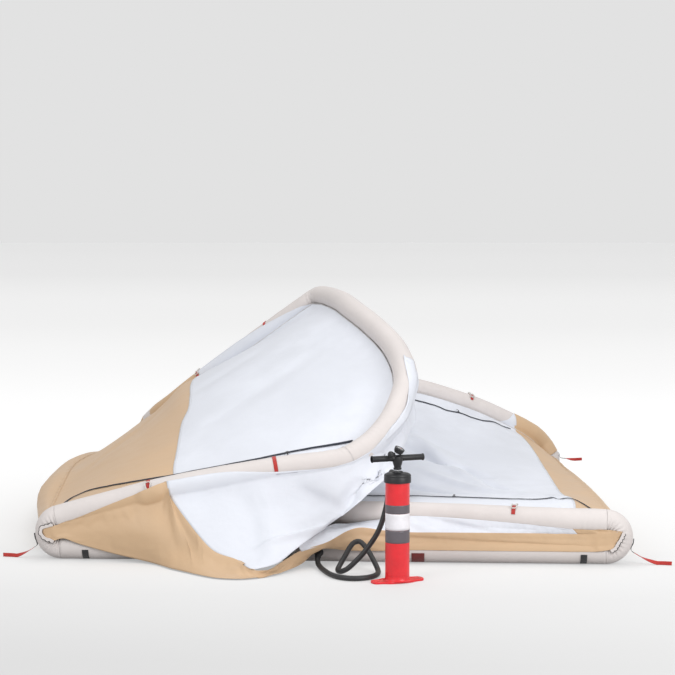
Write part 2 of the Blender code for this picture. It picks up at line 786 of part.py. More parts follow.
# The hose's route, from behind the pump to the tent's valve
HOSE_ROUTE = [
    (0.283, -1.648, 0.452), (0.276, -1.634, 0.395), (0.262, -1.644, 0.300), (0.230, -1.660, 0.200),
    (0.175, -1.672, 0.115), (0.120, -1.680, 0.055), (0.083, -1.678, 0.024), (0.055, -1.658, 0.0128),
    (0.045, -1.622, 0.0140), (0.054, -1.584, 0.030), (0.076, -1.550, 0.066), (0.100, -1.520, 0.104),
    (0.126, -1.505, 0.123), (0.153, -1.514, 0.113), (0.181, -1.540, 0.083), (0.207, -1.578, 0.045),
    (0.225, -1.628, 0.019), (0.228, -1.690, 0.0128), (0.212, -1.755, 0.0128), (0.170, -1.800, 0.0128),
    (0.110, -1.812, 0.0128), (0.055, -1.782, 0.0128), (0.018, -1.727, 0.0128), (-0.008, -1.662, 0.0128),
    (-0.032, -1.592, 0.0140), (-0.050, -1.530, 0.022),
]


def sized(share):
    """A direction given as shares of the arch height."""
    return Vector(share) * ARCH_HEIGHT


def on_front_beam(x, angle, lift):
    """A point beside the front ground beam, at an angle up from straight forward."""
    turn = math.radians(angle)
    reach = BEAM_RADIUS + lift
    return Vector((x, FRONT - reach * math.cos(turn), BEAM_RADIUS + reach * math.sin(turn)))


def on_back_beam(x, angle, lift):
    point = on_front_beam(x, angle, lift)
    return Vector((x, BACK + (FRONT - point.y), point.z))


def ground_beams():
    half_gap = Vector((SEAT, 0.0, 0.0))
    drop = Vector((0.0, 0.0, BEND_RADIUS))
    tube("ground_beam_front", [FRONT_LEFT - drop + half_gap, FRONT_RIGHT - drop - half_gap],
         BEAM_DIAMETER, BEAM_SIDES, CREAM, tilt=math.pi / BEAM_SIDES)
    tube("ground_beam_back", [BACK_LEFT - drop + half_gap, BACK_RIGHT - drop - half_gap],
         BEAM_DIAMETER, BEAM_SIDES, CREAM, tilt=math.pi / BEAM_SIDES)


def corner_bend(name, middle, rise):
    """The puckered sleeve in which a ground beam turns up into an arch."""
    across = Vector((0.0, 1.0, 0.0))
    frames = []
    for k in range(BEND_STEPS + 1):
        angle = -90 + (180 - rise) * k / BEND_STEPS
        frames.append((bend_point(middle, angle), across, bend_spoke(middle, angle)))
    sweep(name, frames, round_section(BEAM_DIAMETER, BEAM_SIDES), CREAM)


def groundsheet():
    bpy.ops.mesh.primitive_cube_add(size=1)
    sheet = bpy.context.object
    inset = BEAM_RADIUS * UNDER_BEAM_SHARE
    width = HINGE_X + RIGHT_BACK_X - 2 * inset
    depth = TENT_DEPTH - 2 * inset
    centre = Vector(((RIGHT_BACK_X - HINGE_X) / 2, 0.0, CLOTH / 2))
    sheet.data.transform(Matrix.Translation(centre) @ Matrix.Diagonal((width, depth, CLOTH, 1)))
    finish(sheet, "groundsheet", GREY, 0.8)


def arches():
    left = arch_path(FRONT_LEFT, BACK_LEFT, (LEFT_FRONT_RISE, LEFT_BACK_RISE),
                     LEFT_FRONT_LEG_SHARES, LEFT_CROWN_SHARES, LEFT_BACK_LEG_SHARES)
    right = arch_path(FRONT_RIGHT, BACK_RIGHT, (RIGHT_FRONT_RISE, RIGHT_BACK_RISE),
                      RIGHT_FRONT_LEG_SHARES, RIGHT_CROWN_SHARES, RIGHT_BACK_LEG_SHARES)
    tube("arch_beam_left", left, BEAM_DIAMETER, BEAM_SIDES, CREAM)
    tube("arch_beam_right", right, BEAM_DIAMETER, BEAM_SIDES, CREAM)
    return left, right


def zip_frames(grid, column, first, last, lift):
    frames = []
    line = [grid[r][column] for r in range(first, last + 1)]
    for k, r in enumerate(range(first, last + 1)):
        up = grid_normal(grid, r, column)
        along = tangent(line, k)
        side = along.cross(up).normalized()
        frames.append((line[k] + up * (CLOTH / 2 + lift), side, side.cross(along).normalized()))
    return frames


def zip_tape(name, grid, column, first, last):
    frames = zip_frames(grid, column, first, last, ZIP_LIFT)
    return sweep(name, frames, flat_section(ZIP_WIDTH, ZIP_DEPTH), NAVY)


def zip_slider(name, grid, column, row):
    """A slider over a zip, half way along the straight run between two stations."""
    frames = zip_frames(grid, column, row, row + 1, ZIP_LIFT + ZIP_DEPTH + ZIP_LIFT)
    along = (frames[1][0] - frames[0][0]).normalized()
    middle = frames[0][0].lerp(frames[1][0], 0.5)
    side = frames[0][1]
    up = side.cross(along).normalized()
    ends = [(middle + along * (SLIDER_LENGTH * share), side, up) for share in (-0.5, -0.25, 0.25, 0.5)]
    section = flat_section(SLIDER_WIDTH, SLIDER_DEPTH)
    piece = sweep(name, ends, section, GREY, 0.3)
    print(name, "runs along", [round(a, 5) for a in along], "in a step of",
          round((frames[1][0] - frames[0][0]).length, 4))
    return piece


def skirt(name, grid, share_columns):
    """The slack cloth below an end wall, folded out and down to the ground."""
    net = []
    for c, shares in zip(SKIRT_COLUMNS, share_columns):
        foot = grid[0][c]
        below = [Vector((x * TENT_LENGTH, foot.y, z * ARCH_HEIGHT)) for x, z in shares]
        shoulder = foot.lerp(below[0], SKIRT_SHOULDER_SHARE)
        shoulder.z = foot.z + (foot.z - below[0].z) * (0.0 if below[0].x > 0 else SKIRT_LIFT_SHARE)
        shoulder.x = foot.x + (below[0].x - foot.x) * SKIRT_REACH_SHARE
        net.append([foot, shoulder] + below)
    first, last = SKIRT_COLUMNS[0], SKIRT_COLUMNS[-1]
    fine = net_grid(net, SKIRT_ROWS, last - first)
    for c in range(last - first + 1):
        foot = grid[0][first + c]
        below = fine[1][c] - foot
        wall = grid[1][first + c] - foot
        away = below - wall * (below.dot(wall) / wall.dot(wall))
        fine[0][c] = foot + (below.normalized() + away.normalized()).normalized() * (CLOTH + SEAM)
    return surface(name, fine, CLOTH, TAN)


def end_walls(left, right):
    grid = wall_grid(left, places(LEFT_BASE_SHARES))
    swell(grid, LEG_STEPS, sized(LEFT_WALL_SWELL_SHARES), EVEN)
    swell(grid, LEFT_TAN_ROWS, sized(LEFT_POUCH_SHARES), POUCH_LEAN)
    skirt("end_skirt_left", grid, LEFT_SKIRT_SHARES)
    surface("end_wall_left_tan", trimmed(grid, 0, LEFT_TAN_ROWS, gap_last=SEAM), CLOTH, TAN)
    surface("end_wall_left_white", trimmed(grid, LEFT_TAN_ROWS, LEG_STEPS, gap_first=SEAM), CLOTH, WHITE)
    zip_tape("zip_left", grid, ZIP_COLUMN, 1, LEG_STEPS - 1)
    zip_slider("zip_slider_left", grid, ZIP_COLUMN, LEG_STEPS - 4)

    grid = wall_grid(right, places(RIGHT_BASE_SHARES))
    swell(grid, LEG_STEPS, sized(RIGHT_WALL_SWELL_SHARES), EVEN)
    skirt("end_skirt_right", grid, RIGHT_SKIRT_SHARES)
    surface("end_wall_right_tan", trimmed(grid, 0, RIGHT_TAN_ROWS, gap_last=SEAM), CLOTH, TAN)
    surface("end_wall_right_white", trimmed(grid, RIGHT_TAN_ROWS, LEG_STEPS, gap_first=SEAM), CLOTH, WHITE)
    zip_tape("zip_right_front", grid, ZIP_COLUMN, 1, LEG_STEPS - 1)
    zip_slider("zip_slider_right_front", grid, ZIP_COLUMN, LEG_STEPS // 2)
    zip_tape("zip_right_back", grid, CROWN_STEPS - ZIP_COLUMN, 2, LEG_STEPS - 1)
    zip_slider("zip_slider_right_back", grid, CROWN_STEPS - ZIP_COLUMN, LEG_STEPS // 2)


def front_cloth(left, right):
    top = held_row(left, DRAPE_STATIONS, DRAPE_SIDES)
    net = [[point] + places(column) for point, column in zip(top, WHITE_DRAPE_SHARES)]
    grid = sew(left, net_grid(net, 8, DRAPE_STEPS), 0)
    surface("front_drape_white", grid, CLOTH, WHITE)

    lift = SEAM + CLOTH / 2
    puff = BEAM_RADIUS * BAND_PUFF_SHARE
    net = [places(column) for column in TAN_HEM_SHARES]
    edge = held_row(right, STRIP_STATIONS, [FORWARD, FORWARD])
    strip = []
    for point in edge:
        top = Vector((point.x, FRONT - BEAM_RADIUS + puff, BEAM_DIAMETER * BAND_TOP_SHARE))
        net.append([top, on_front_beam(point.x, SHOULDER_ANGLE, lift + puff),
                    on_front_beam(point.x, HEM_ANGLE, lift)])
        foot = top + (point - top).normalized() * CLOTH
        strip.append([point, point.lerp(foot, 0.5) + Vector(FORWARD) * CLOTH, foot])
    surface("front_hem_tan", net_grid(net, HEM_ROWS, HEM_STEPS), CLOTH, TAN)
    net = [places(column) for column in LEFT_STRIP_SHARES]
    grid = sew(right, net_grid(net + strip, 4, len(net + strip) * 2), 0, STRIP_FREE_STEPS)
    surface("front_strip_white", grid, CLOTH, WHITE)


def roof_and_back(left, right):
    high = held_row(left, ROOF_LEFT_STATIONS, ROOF_LEFT_SIDES)
    low = held_row(right, ROOF_RIGHT_STATIONS, ROOF_RIGHT_SIDES)
    net = [[a] + places(column) + [b] for a, b, column in zip(high, low, ROOF_SHARES)]
    grid = sew(left, net_grid(net, ROOF_ROWS, ROOF_STEPS), 0)
    grid = sew(right, grid, len(grid) - 1)
    surface("roof_white", grid, CLOTH, WHITE)

    tops = held_row(left, BACK_LEFT_STATIONS, BACK_SIDES)
    tops += places(SADDLE_SHARES)
    tops += held_row(right, BACK_RIGHT_STATIONS, BACK_SIDES)
    white, tan = [], []
    lift = SEAM + CLOTH
    for high, low in zip(tops, places(BACK_SEAM_SHARES)):
        start = low + (low - high).normalized() * CLOTH
        white.append([high, high.lerp(low, 0.5), low])
        tan.append([start, on_back_beam(low.x, SHOULDER_ANGLE * 1.5, lift + CLOTH * 4),
                    on_back_beam(low.x, SHOULDER_ANGLE, lift * 3), on_back_beam(low.x, HEM_ANGLE, lift * 3)])
    grid = sew(left, net_grid(white, BACK_ROWS, BACK_STEPS), 0, 0, BACK_STEPS // 2 - 2)
    grid = sew(right, grid, 0, BACK_STEPS // 2 + 2)
    surface("back_wall_white", grid, CLOTH, WHITE)
    surface("back_wall_tan", net_grid(tan, BACK_ROWS, BACK_STEPS), CLOTH, TAN)


def beam_run(path, point):
    """The spot on a beam's straight runs that is nearest to a point, off the joints between them."""
    mids = [a.lerp(b, 0.5) for a, b in zip(path, path[1:])]
    i = min(range(len(mids)), key=lambda k: (mids[k] - point).length)
    run = path[i + 1] - path[i]
    share = min(max((point - path[i]).dot(run) / run.dot(run), RUN_END_SHARE), 1.0 - RUN_END_SHARE)
    return path[i] + run * share, run.normalized()


def spokes(middle, along, facing, start, end, steps, reach):
    """Frames round a beam from one angle to another, each standing off its middle line by a reach."""
    out = (facing - along * facing.dot(along)).normalized()
    side = along.cross(out)
    frames = []
    for k in range(steps + 1):
        turn = math.radians(start + (end - start) * k / steps)
        spoke = out * math.cos(turn) + side * math.sin(turn)
        frames.append((middle + spoke * reach, along, spoke))
    return frames


def band_reach(start, end):
    """How far a band's inner corners stand off, so that its flats clear the beam."""
    return (BEAM_RADIUS + SEAT) / math.cos(math.radians((end - start) / BAND_STEPS / 2))


def band(name, middle, along, facing, start, end, width, colour):
    """A strip of webbing laid part of the way round a beam."""
    frames = spokes(middle, along, facing, start, end, BAND_STEPS, band_reach(start, end))
    return sweep(name, frames, flat_section(width, WEBBING), colour, 0.8)


def hank(name, middle, along, facing, lean):
    """A short guy line wound in loops, drawn in at the waist, that lies on a tab."""
    out = (facing - along * facing.dot(along)).normalized()
    side = along.cross(out)
    base = band_reach(-TAB_HALF_TURN, TAB_HALF_TURN) + WEBBING + SEAT + GUY_CORD / 2

    def on_beam(u, w, lift):
        turn = u / base + math.radians(lean)
        spoke = out * math.cos(turn) + side * math.sin(turn)
        return middle + along * w + spoke * (base + lift)

    half = HANK_LENGTH / 2
    points = [on_beam(half, -HANK_TAIL * share, 0.0) for share in (1.0, 0.5)]
    for k in range(HANK_TURNS * HANK_TURN_POINTS + 1):
        turn = 2 * math.pi * k / HANK_TURN_POINTS
        waist = HANK_WAIST_SHARE + (1 - HANK_WAIST_SHARE) * math.cos(turn) ** 2
        width = HANK_WIDTH * math.sin(turn) * waist
        points.append(on_beam(half * math.cos(turn), width, HANK_PITCH * k / HANK_TURN_POINTS))
    top = HANK_PITCH * HANK_TURNS
    points += [on_beam(half, HANK_TAIL * share, top) for share in (0.5, 1.0)]
    tube(name, points, GUY_CORD, HANK_SIDES, CORD_WHITE)
    print(name, "least gap to itself", round(own_gap(points, GUY_CORD), 5))


def own_gap(points, diameter):
    """The least gap between a cord's stretches, leaving out those next to each other."""
    fine = []
    for a, b in zip(points, points[1:]):
        fine += [(a.lerp(b, k / 4)) for k in range(4)]
    apart = [0.0]
    for a, b in zip(fine, fine[1:]):
        apart.append(apart[-1] + (b - a).length)
    least = HANK_LENGTH
    for i, a in enumerate(fine):
        for j in range(i + 1, len(fine)):
            if apart[j] - apart[i] > diameter * 3:
                least = min(least, (fine[j] - a).length - diameter)
    return least


def tabs_and_hanks(left, right):
    for name, arch, spot, facing, lean in TAB_SHARES:
        path = left if arch == LEFT else right
        middle, along = beam_run(path, place(spot))
        facing = Vector(facing)
        band("tab_" + name, middle, along, facing, -TAB_HALF_TURN, TAB_HALF_TURN, WEBBING_WIDTH, RED)
        if lean is not None:
            hank("hank_" + name, middle, along, facing, lean)


def straps_and_patch():
    along = Vector((1.0, 0.0, 0.0))
    forward = Vector(FORWARD)
    for name, share, width, colour in STRAP_SHARES:
        middle = Vector((share * TENT_LENGTH, FRONT, BEAM_RADIUS))
        band(name, middle, along, forward, STRAP_TOP_ANGLE, STRAP_FOOT_ANGLE, width, colour)


def peg_strap(name, middle, angles, share_points):
    """A peg webbing from the outer side of a corner bend, along it and then out over the ground."""
    reach = BEND_RADIUS + BEAM_RADIUS + SEAT + WEBBING * 2
    points = [middle + bend_spoke(middle, angle) * reach for angle in angles]
    points += places(share_points)
    points = resample(smooth(points), PEG_STRAP_STEPS)
    across = Vector((0.0, 1.0, 0.0))
    frames = []
    for k, point in enumerate(points):
        along = tangent(points, k)
        side = (across - along * across.dot(along)).normalized()
        up = side.cross(along).normalized()
        frames.append((point - up * (WEBBING / 2), side, up))
    return sweep(name, frames, flat_section(WEBBING_WIDTH, WEBBING), BLACK, 0.8)


def valve():
    """The tent's air valve, welded to the front beam under the hem."""
    turn = math.radians(VALVE_ANGLE)
    out = Vector((0.0, -math.cos(turn), math.sin(turn)))
    seat = Vector((VALVE_SHARE * TENT_LENGTH, FRONT, BEAM_RADIUS)) + out * (BEAM_RADIUS + SEAT)
    bore = (NOZZLE_TIP_DIAMETER / 2) + RUNNING_GAP
    floor = VALVE_DEPTH - NOZZLE_TIP_LENGTH - RUNNING_GAP
    body = turned("valve_body", [
        (0.0, floor),
        (bore, floor),
        (bore, VALVE_DEPTH),
        (VALVE_BOSS_DIAMETER / 2, VALVE_DEPTH),
        (VALVE_BOSS_DIAMETER / 2, VALVE_FLANGE),
        (VALVE_DIAMETER / 2, VALVE_FLANGE),
        (VALVE_DIAMETER / 2, 0.0),
        (0.0, 0.0),
    ], BLACK, sides=SMALL_SIDES)
    stand(body, seat, out)

    tip_radius = NOZZLE_TIP_DIAMETER / 2
    grip = VALVE_DEPTH + SEAT
    end = grip + NOZZLE_LENGTH
    nozzle = turned("hose_nozzle", [
        (0.0, end),
        (HOSE_DIAMETER / 2, end),
        (HOSE_DIAMETER / 2 + HOSE_SLEEVE, end - HOSE_SLEEVE),
        (HOSE_DIAMETER / 2 + HOSE_SLEEVE, grip + HOSE_DIAMETER / 2),
        (VALVE_BOSS_DIAMETER / 2, grip),
        (tip_radius, grip),
        (tip_radius, VALVE_DEPTH - NOZZLE_TIP_LENGTH),
        (0.0, VALVE_DEPTH - NOZZLE_TIP_LENGTH),
    ], BLACK, sides=SMALL_SIDES)
    stand(nozzle, seat, out)
    return seat + out * (end + SEAT), out


PUMP = place(PUMP_SHARES)
PUMP_PLACE = Matrix.Translation(PUMP) @ Matrix.Rotation(math.radians(PUMP_TURN), 4, "Z")


def on_pump(piece, height=0.0):
    """Stands a pump piece at a height above the pump's foot."""
    piece.matrix_world = PUMP_PLACE @ Matrix.Translation((0.0, 0.0, height))
    return piece


def pump_foot():
    mesh = bpy.data.meshes.new("pump_foot")
    bm = bmesh.new()
    right = [(x * FOOT_WIDTH, y * FOOT_DEPTH) for x, y in FOOT_OUTLINE_SHARES]
    outline = right + [(-x, y) for x, y in reversed(right)]
    face = bm.faces.new([bm.verts.new((x, y, 0.0)) for x, y in outline])
    lifted = bmesh.ops.extrude_face_region(bm, geom=[face])
    top = [item for item in lifted["geom"] if isinstance(item, bmesh.types.BMVert)]
    bmesh.ops.translate(bm, verts=top, vec=(0.0, 0.0, FOOT_RIM))
    bmesh.ops.recalc_face_normals(bm, faces=bm.faces)
    bm.to_mesh(mesh)
    bm.free()
    foot = link(mesh, "pump_foot", PUMP_RED, 0.35)
    on_pump(foot)
    core = on_pump(turned("foot_boss_core", [
        (0.0, FOOT_BOSS_HEIGHT),
        (BARREL_DIAMETER / 2, FOOT_BOSS_HEIGHT),
        (BARREL_DIAMETER / 2, FOOT_THICKNESS),
        (BARREL_DIAMETER / 2 + FOOT_RIM, FOOT_RIM / 2),
        (0.0, FOOT_RIM / 2),
    ], PUMP_RED))
    COLLECTION.objects.unlink(core)
    CUTTERS.objects.link(core)
    core.hide_render = True
    core.display_type = "WIRE"
    union = foot.modifiers.new("boss", "BOOLEAN")
    union.operation = "UNION"
    union.object = core
    return foot


def pump_barrel():
    inner = BARREL_DIAMETER / 2 - BARREL_WALL
    outer = BARREL_DIAMETER / 2
    barrel = turned("pump_barrel", [
        (0.0, BARREL_WALL),
        (inner, BARREL_WALL),
        (inner, BARREL_LENGTH),
        (outer, BARREL_LENGTH),
        (outer, 0.0),
        (0.0, 0.0),
    ], PUMP_RED, 0.3)
    on_pump(barrel, BARREL_BASE)

    bore = ROD_DIAMETER / 2 + RUNNING_GAP
    skirt = outer + SEAT
    lip = BARREL_LENGTH - CAP_SKIRT
    under = BARREL_LENGTH + SEAT
    top = BARREL_LENGTH + CAP_HEIGHT
    cap = turned("pump_cap", [
        (bore, top),
        (ROD_DIAMETER, top),
        (CAP_DIAMETER / 2 - CAP_DOME, top - CAP_DOME / 2),
        (CAP_DIAMETER / 2, top - CAP_DOME),
        (CAP_DIAMETER / 2, lip),
        (skirt, lip),
        (skirt, under),
        (bore, under),
    ], BLACK, 0.4, ring=True)
    on_pump(cap, BARREL_BASE)


def pump_plunger():
    floor = BARREL_WALL + PISTON_REST
    radius = BARREL_DIAMETER / 2 - BARREL_WALL - RUNNING_GAP * 2
    groove = radius - SEAL_DEPTH
    low = floor + (PISTON_HEIGHT - SEAL_HEIGHT) / 2
    high = low + SEAL_HEIGHT
    top = floor + PISTON_HEIGHT
    piston = turned("pump_piston", [
        (0.0, top),
        (radius, top),
        (radius, high),
        (groove, high),
        (groove, low),
        (radius, low),
        (radius, floor),
        (0.0, floor),
    ], GREY)
    on_pump(piston, BARREL_BASE)
    seal = turned("piston_seal", [
        (groove + SEAT, high - SEAT),
        (radius + RUNNING_GAP, high - SEAT),
        (radius + RUNNING_GAP, low + SEAT),
        (groove + SEAT, low + SEAT),
    ], BLACK, ring=True)
    on_pump(seal, BARREL_BASE)

    hub_base = BARREL_LENGTH + CAP_HEIGHT + HANDLE_CLEARANCE
    rod = turned("pump_rod", [
        (0.0, hub_base - SEAT),
        (ROD_DIAMETER / 2, hub_base - SEAT),
        (ROD_DIAMETER / 2, top + SEAT),
        (0.0, top + SEAT),
    ], GREY, 0.2, SMALL_SIDES)
    on_pump(rod, BARREL_BASE)

    hub = turned("handle_hub", [
        (0.0, HUB_HEIGHT),
        (HUB_DIAMETER / 2, HUB_HEIGHT),
        (HUB_DIAMETER / 2, HANDLE_LIFT - HANDLE_DIAMETER),
        (HUB_WAIST_DIAMETER / 2, HUB_WAIST_DIAMETER / 4),
        (HUB_WAIST_DIAMETER / 2, 0.0),
        (0.0, 0.0),
    ], BLACK)
    on_pump(hub, BARREL_BASE + hub_base)
    middle = PUMP + Vector((0.0, 0.0, BARREL_BASE + hub_base + HANDLE_LIFT))
    across = PUMP_PLACE.to_3x3() @ Vector((1.0, 0.0, 0.0))
    bar_radius = HANDLE_DIAMETER / 2
    passage = cylinder_cutter("handle_bore", middle - across * HUB_DIAMETER, across,
                              HANDLE_DIAMETER + SEAT * 2, HUB_DIAMETER * 2)
    cut(hub, passage)

    half = HANDLE_WIDTH / 2
    end = HANDLE_END_DIAMETER / 2
    side = [
        (0.0, half - HANDLE_END_BORE),
        (end - HANDLE_END_WALL, half - HANDLE_END_BORE),
        (end - HANDLE_END_WALL, half),
        (end, half),
        (end, half - HANDLE_END_BORE),
        (bar_radius, half - HANDLE_END_BORE * 2),
        (bar_radius, HUB_DIAMETER / 2),
    ]
    bar = turned("handle_bar", side + [(radius, -height) for radius, height in reversed(side)], BLACK,
                 sides=SMALL_SIDES)
    stand(bar, middle, across)
    return middle


def gauge_and_knob(middle):
    tilt = Vector(GAUGE_AXIS).normalized()
    seat = middle + Vector((0.0, 0.0, HANDLE_DIAMETER / 2 + GAUGE_LIFT))
    hub = bpy.data.objects["handle_hub"]
    cut(hub, cylinder_cutter("gauge_seat", seat, tilt, HUB_DIAMETER * 3, HUB_HEIGHT))

    floor = GAUGE_DEPTH - DIAL_DEPTH
    inner = GAUGE_DIAMETER / 2 - GAUGE_WALL
    case = turned("gauge_case", [
        (0.0, floor),
        (inner, floor),
        (inner, GAUGE_DEPTH),
        (GAUGE_DIAMETER / 2, GAUGE_DEPTH),
        (GAUGE_DIAMETER / 2, GAUGE_DEPTH / 3),
        (HUB_DIAMETER / 3, 0.0),
        (0.0, 0.0),
    ], BLACK)
    stand(case, seat + tilt * SEAT, tilt)
    lens = turned("gauge_lens", [
        (0.0, GAUGE_DEPTH),
        (inner - SEAT, GAUGE_DEPTH),
        (inner - SEAT, GAUGE_DEPTH - LENS_DEPTH),
        (0.0, GAUGE_DEPTH - LENS_DEPTH),
    ], CLEAR, 0.05)
    stand(lens, seat + tilt * SEAT, tilt)

    bpy.ops.mesh.primitive_cube_add(size=1)
    needle = bpy.context.object
    shift = Vector((NEEDLE_LENGTH / 4, 0.0, NEEDLE_DEPTH / 2))
    needle.data.transform(Matrix.Translation(shift)
                          @ Matrix.Diagonal((NEEDLE_LENGTH, NEEDLE_WIDTH, NEEDLE_DEPTH, 1)))
    finish(needle, "gauge_needle", RED, 0.4)
    stand(needle, seat + tilt * (floor + SEAT * 2), tilt)

    reach = Vector(KNOB_AXIS).normalized()
    foot = seat - Vector((0.0, 0.0, GAUGE_LIFT)) * KNOB_DROP_SHARE
    ball = KNOB_DIAMETER / 2
    stem = KNOB_STEM_DIAMETER / 2
    start = HUB_DIAMETER / 2 + SEAT
    profile = [(stem, start), (0.0, start)]
    first = math.asin(stem / ball)
    centre = start + KNOB_REACH + ball
    arc = []
    for k in range(KNOB_STEPS + 1):
        turn = math.pi - first - (math.pi - first) * k / KNOB_STEPS
        arc.append((ball * math.sin(turn), centre + ball * math.cos(turn)))
    arc[-1] = (0.0, centre + ball)
    knob = turned("pressure_knob", arc[::-1] + profile, BLACK, sides=SMALL_SIDES)
    stand(knob, foot, reach)


def hose(valve_end, valve_out):
    """The hose port on the pump's cap, and the hose from there to the nozzle in the valve."""
    out = Vector(PORT_AXIS).normalized()
    height = BARREL_BASE + BARREL_LENGTH + CAP_HEIGHT / 2 - CAP_DOME / 2
    seat = PUMP + Vector((0.0, 0.0, height)) + out * (CAP_DIAMETER / 2 + SEAT)
    flange = HOSE_DIAMETER / 2
    port = turned("hose_port", [
        (0.0, HOSE_PORT_LENGTH),
        (flange, HOSE_PORT_LENGTH),
        (flange, HOSE_SLEEVE * 2),
        (flange - HOSE_SLEEVE, 0.0),
        (0.0, 0.0),
    ], BLACK, sides=SMALL_SIDES)
    stand(port, seat, out)
    start = seat + out * (HOSE_PORT_LENGTH + SEAT)
    route = [start, start + out * HOSE_DIAMETER]
    route += [Vector((x, y, z)) for x, y, z in HOSE_ROUTE]
    route += [valve_end + valve_out * HOSE_DIAMETER, valve_end]
    points = resample(smooth(route), HOSE_POINTS)
    for point in points:
        point.z = max(point.z, HOSE_DIAMETER / 2 + SEAT)
    points[1] = points[0] + out * (points[1] - points[0]).length
    points[-2] = points[-1] + valve_out * (points[-2] - points[-1]).length
    tube("pump_hose", points, HOSE_DIAMETER, HOSE_SIDES, BLACK, 0.5)
    length = sum((b - a).length for a, b in zip(points, points[1:]))
    print("pump_hose length", round(length, 4), "lowest", round(min(p.z for p in points), 5),
          "gap to itself", round(own_gap(points, HOSE_DIAMETER), 4))


def skin(piece):
    """A piece's finished points and faces."""
    mesh = piece.evaluated_get(bpy.context.evaluated_depsgraph_get()).to_mesh()
    points = [piece.matrix_world @ vert.co for vert in mesh.vertices]
    return points, [tuple(face.vertices) for face in mesh.polygons]


def fall_off(point, spot):
    """How much of a stitch's pull reaches a point: all of it at the stitch, and none far from it."""
    share = (point - spot).length / STITCH_REACH
    return (1 - share * share) ** 2 if share < 1 else 0.0


def stitch(loose, carrier):
    """Pulls a cloth onto its carrier where they are nearest, until only the seat gap is left."""
    piece = bpy.data.objects[loose]
    points, faces = skin(piece)
    tree = BVHTree.FromPolygons(points, faces)
    goals, goal_faces = skin(bpy.data.objects[carrier])
    goal_tree = BVHTree.FromPolygons(goals, goal_faces)
    pairs = [(point, goal_tree.find_nearest(point)[0]) for point in points]
    pairs += [(tree.find_nearest(goal)[0], goal) for goal in goals]
    spot, goal = min(pairs, key=lambda pair: (pair[1] - pair[0]).length)
    way = (goal - spot).normalized()
    shares = [fall_off(point, spot) for point in points]
    clear, meets = 0.0, (goal - spot).length * 4
    for step in range(STITCH_TRIES):
        pull = (clear + meets) / 2
        moved = [point + way * (pull * share) for point, share in zip(points, shares)]
        if BVHTree.FromPolygons(moved, faces).overlap(goal_tree):
            meets = pull
        else:
            clear = pull
    for vert in piece.data.vertices:
        vert.co += way * ((clear - SEAT) * fall_off(vert.co, spot))
    print("stitch", loose, "to", carrier, "over", round(clear - SEAT, 5), "at",
          [round(a, 3) for a in spot])


clear_scene()
LEFT_PATH, RIGHT_PATH = arches()
ground_beams()
corner_bend("corner_bend_front_left", FRONT_LEFT, LEFT_FRONT_RISE)
corner_bend("corner_bend_back_left", BACK_LEFT, LEFT_BACK_RISE)
corner_bend("corner_bend_front_right", FRONT_RIGHT, RIGHT_FRONT_RISE)
corner_bend("corner_bend_back_right", BACK_RIGHT, RIGHT_BACK_RISE)
groundsheet()
end_walls(LEFT_PATH, RIGHT_PATH)
front_cloth(LEFT_PATH, RIGHT_PATH)
roof_and_back(LEFT_PATH, RIGHT_PATH)
tabs_and_hanks(LEFT_PATH, RIGHT_PATH)
straps_and_patch()
peg_strap("peg_strap_front_left", FRONT_LEFT, (-4, -12, -20, -28), PEG_FRONT_LEFT_SHARES)
peg_strap("peg_strap_front_right", FRONT_RIGHT, (-4, -12, -20, -28), PEG_FRONT_RIGHT_SHARES)
peg_strap("peg_strap_back_right", BACK_RIGHT, (24, 16, 8), PEG_BACK_RIGHT_SHARES)
VALVE_END, VALVE_OUT = valve()
pump_foot()
pump_barrel()
HANDLE_MIDDLE = pump_plunger()
gauge_and_knob(HANDLE_MIDDLE)
hose(VALVE_END, VALVE_OUT)
for LOOSE, CARRIER in STITCHES:
    stitch(LOOSE, CARRIER)
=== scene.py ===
# %% [markdown]
# # A half-inflated air-beam tent
# The tent is caught while it is being pumped up. Two straight air beams lie on the ground, and two long
# ones rise from them as arches that still lean in over the tent. Slack cloth hangs between the beams,
# and a red hand pump stands in front with its hose plugged into the tent's valve. This script dresses
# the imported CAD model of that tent. Everything is in metres and in the CAD model's frame, so a form
# that is worked out here from the same points as in the CAD lands in its place with no fitting.

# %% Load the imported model
import json
import math

import bmesh
import bpy
import numpy as np
from mathutils import Matrix, Vector, noise

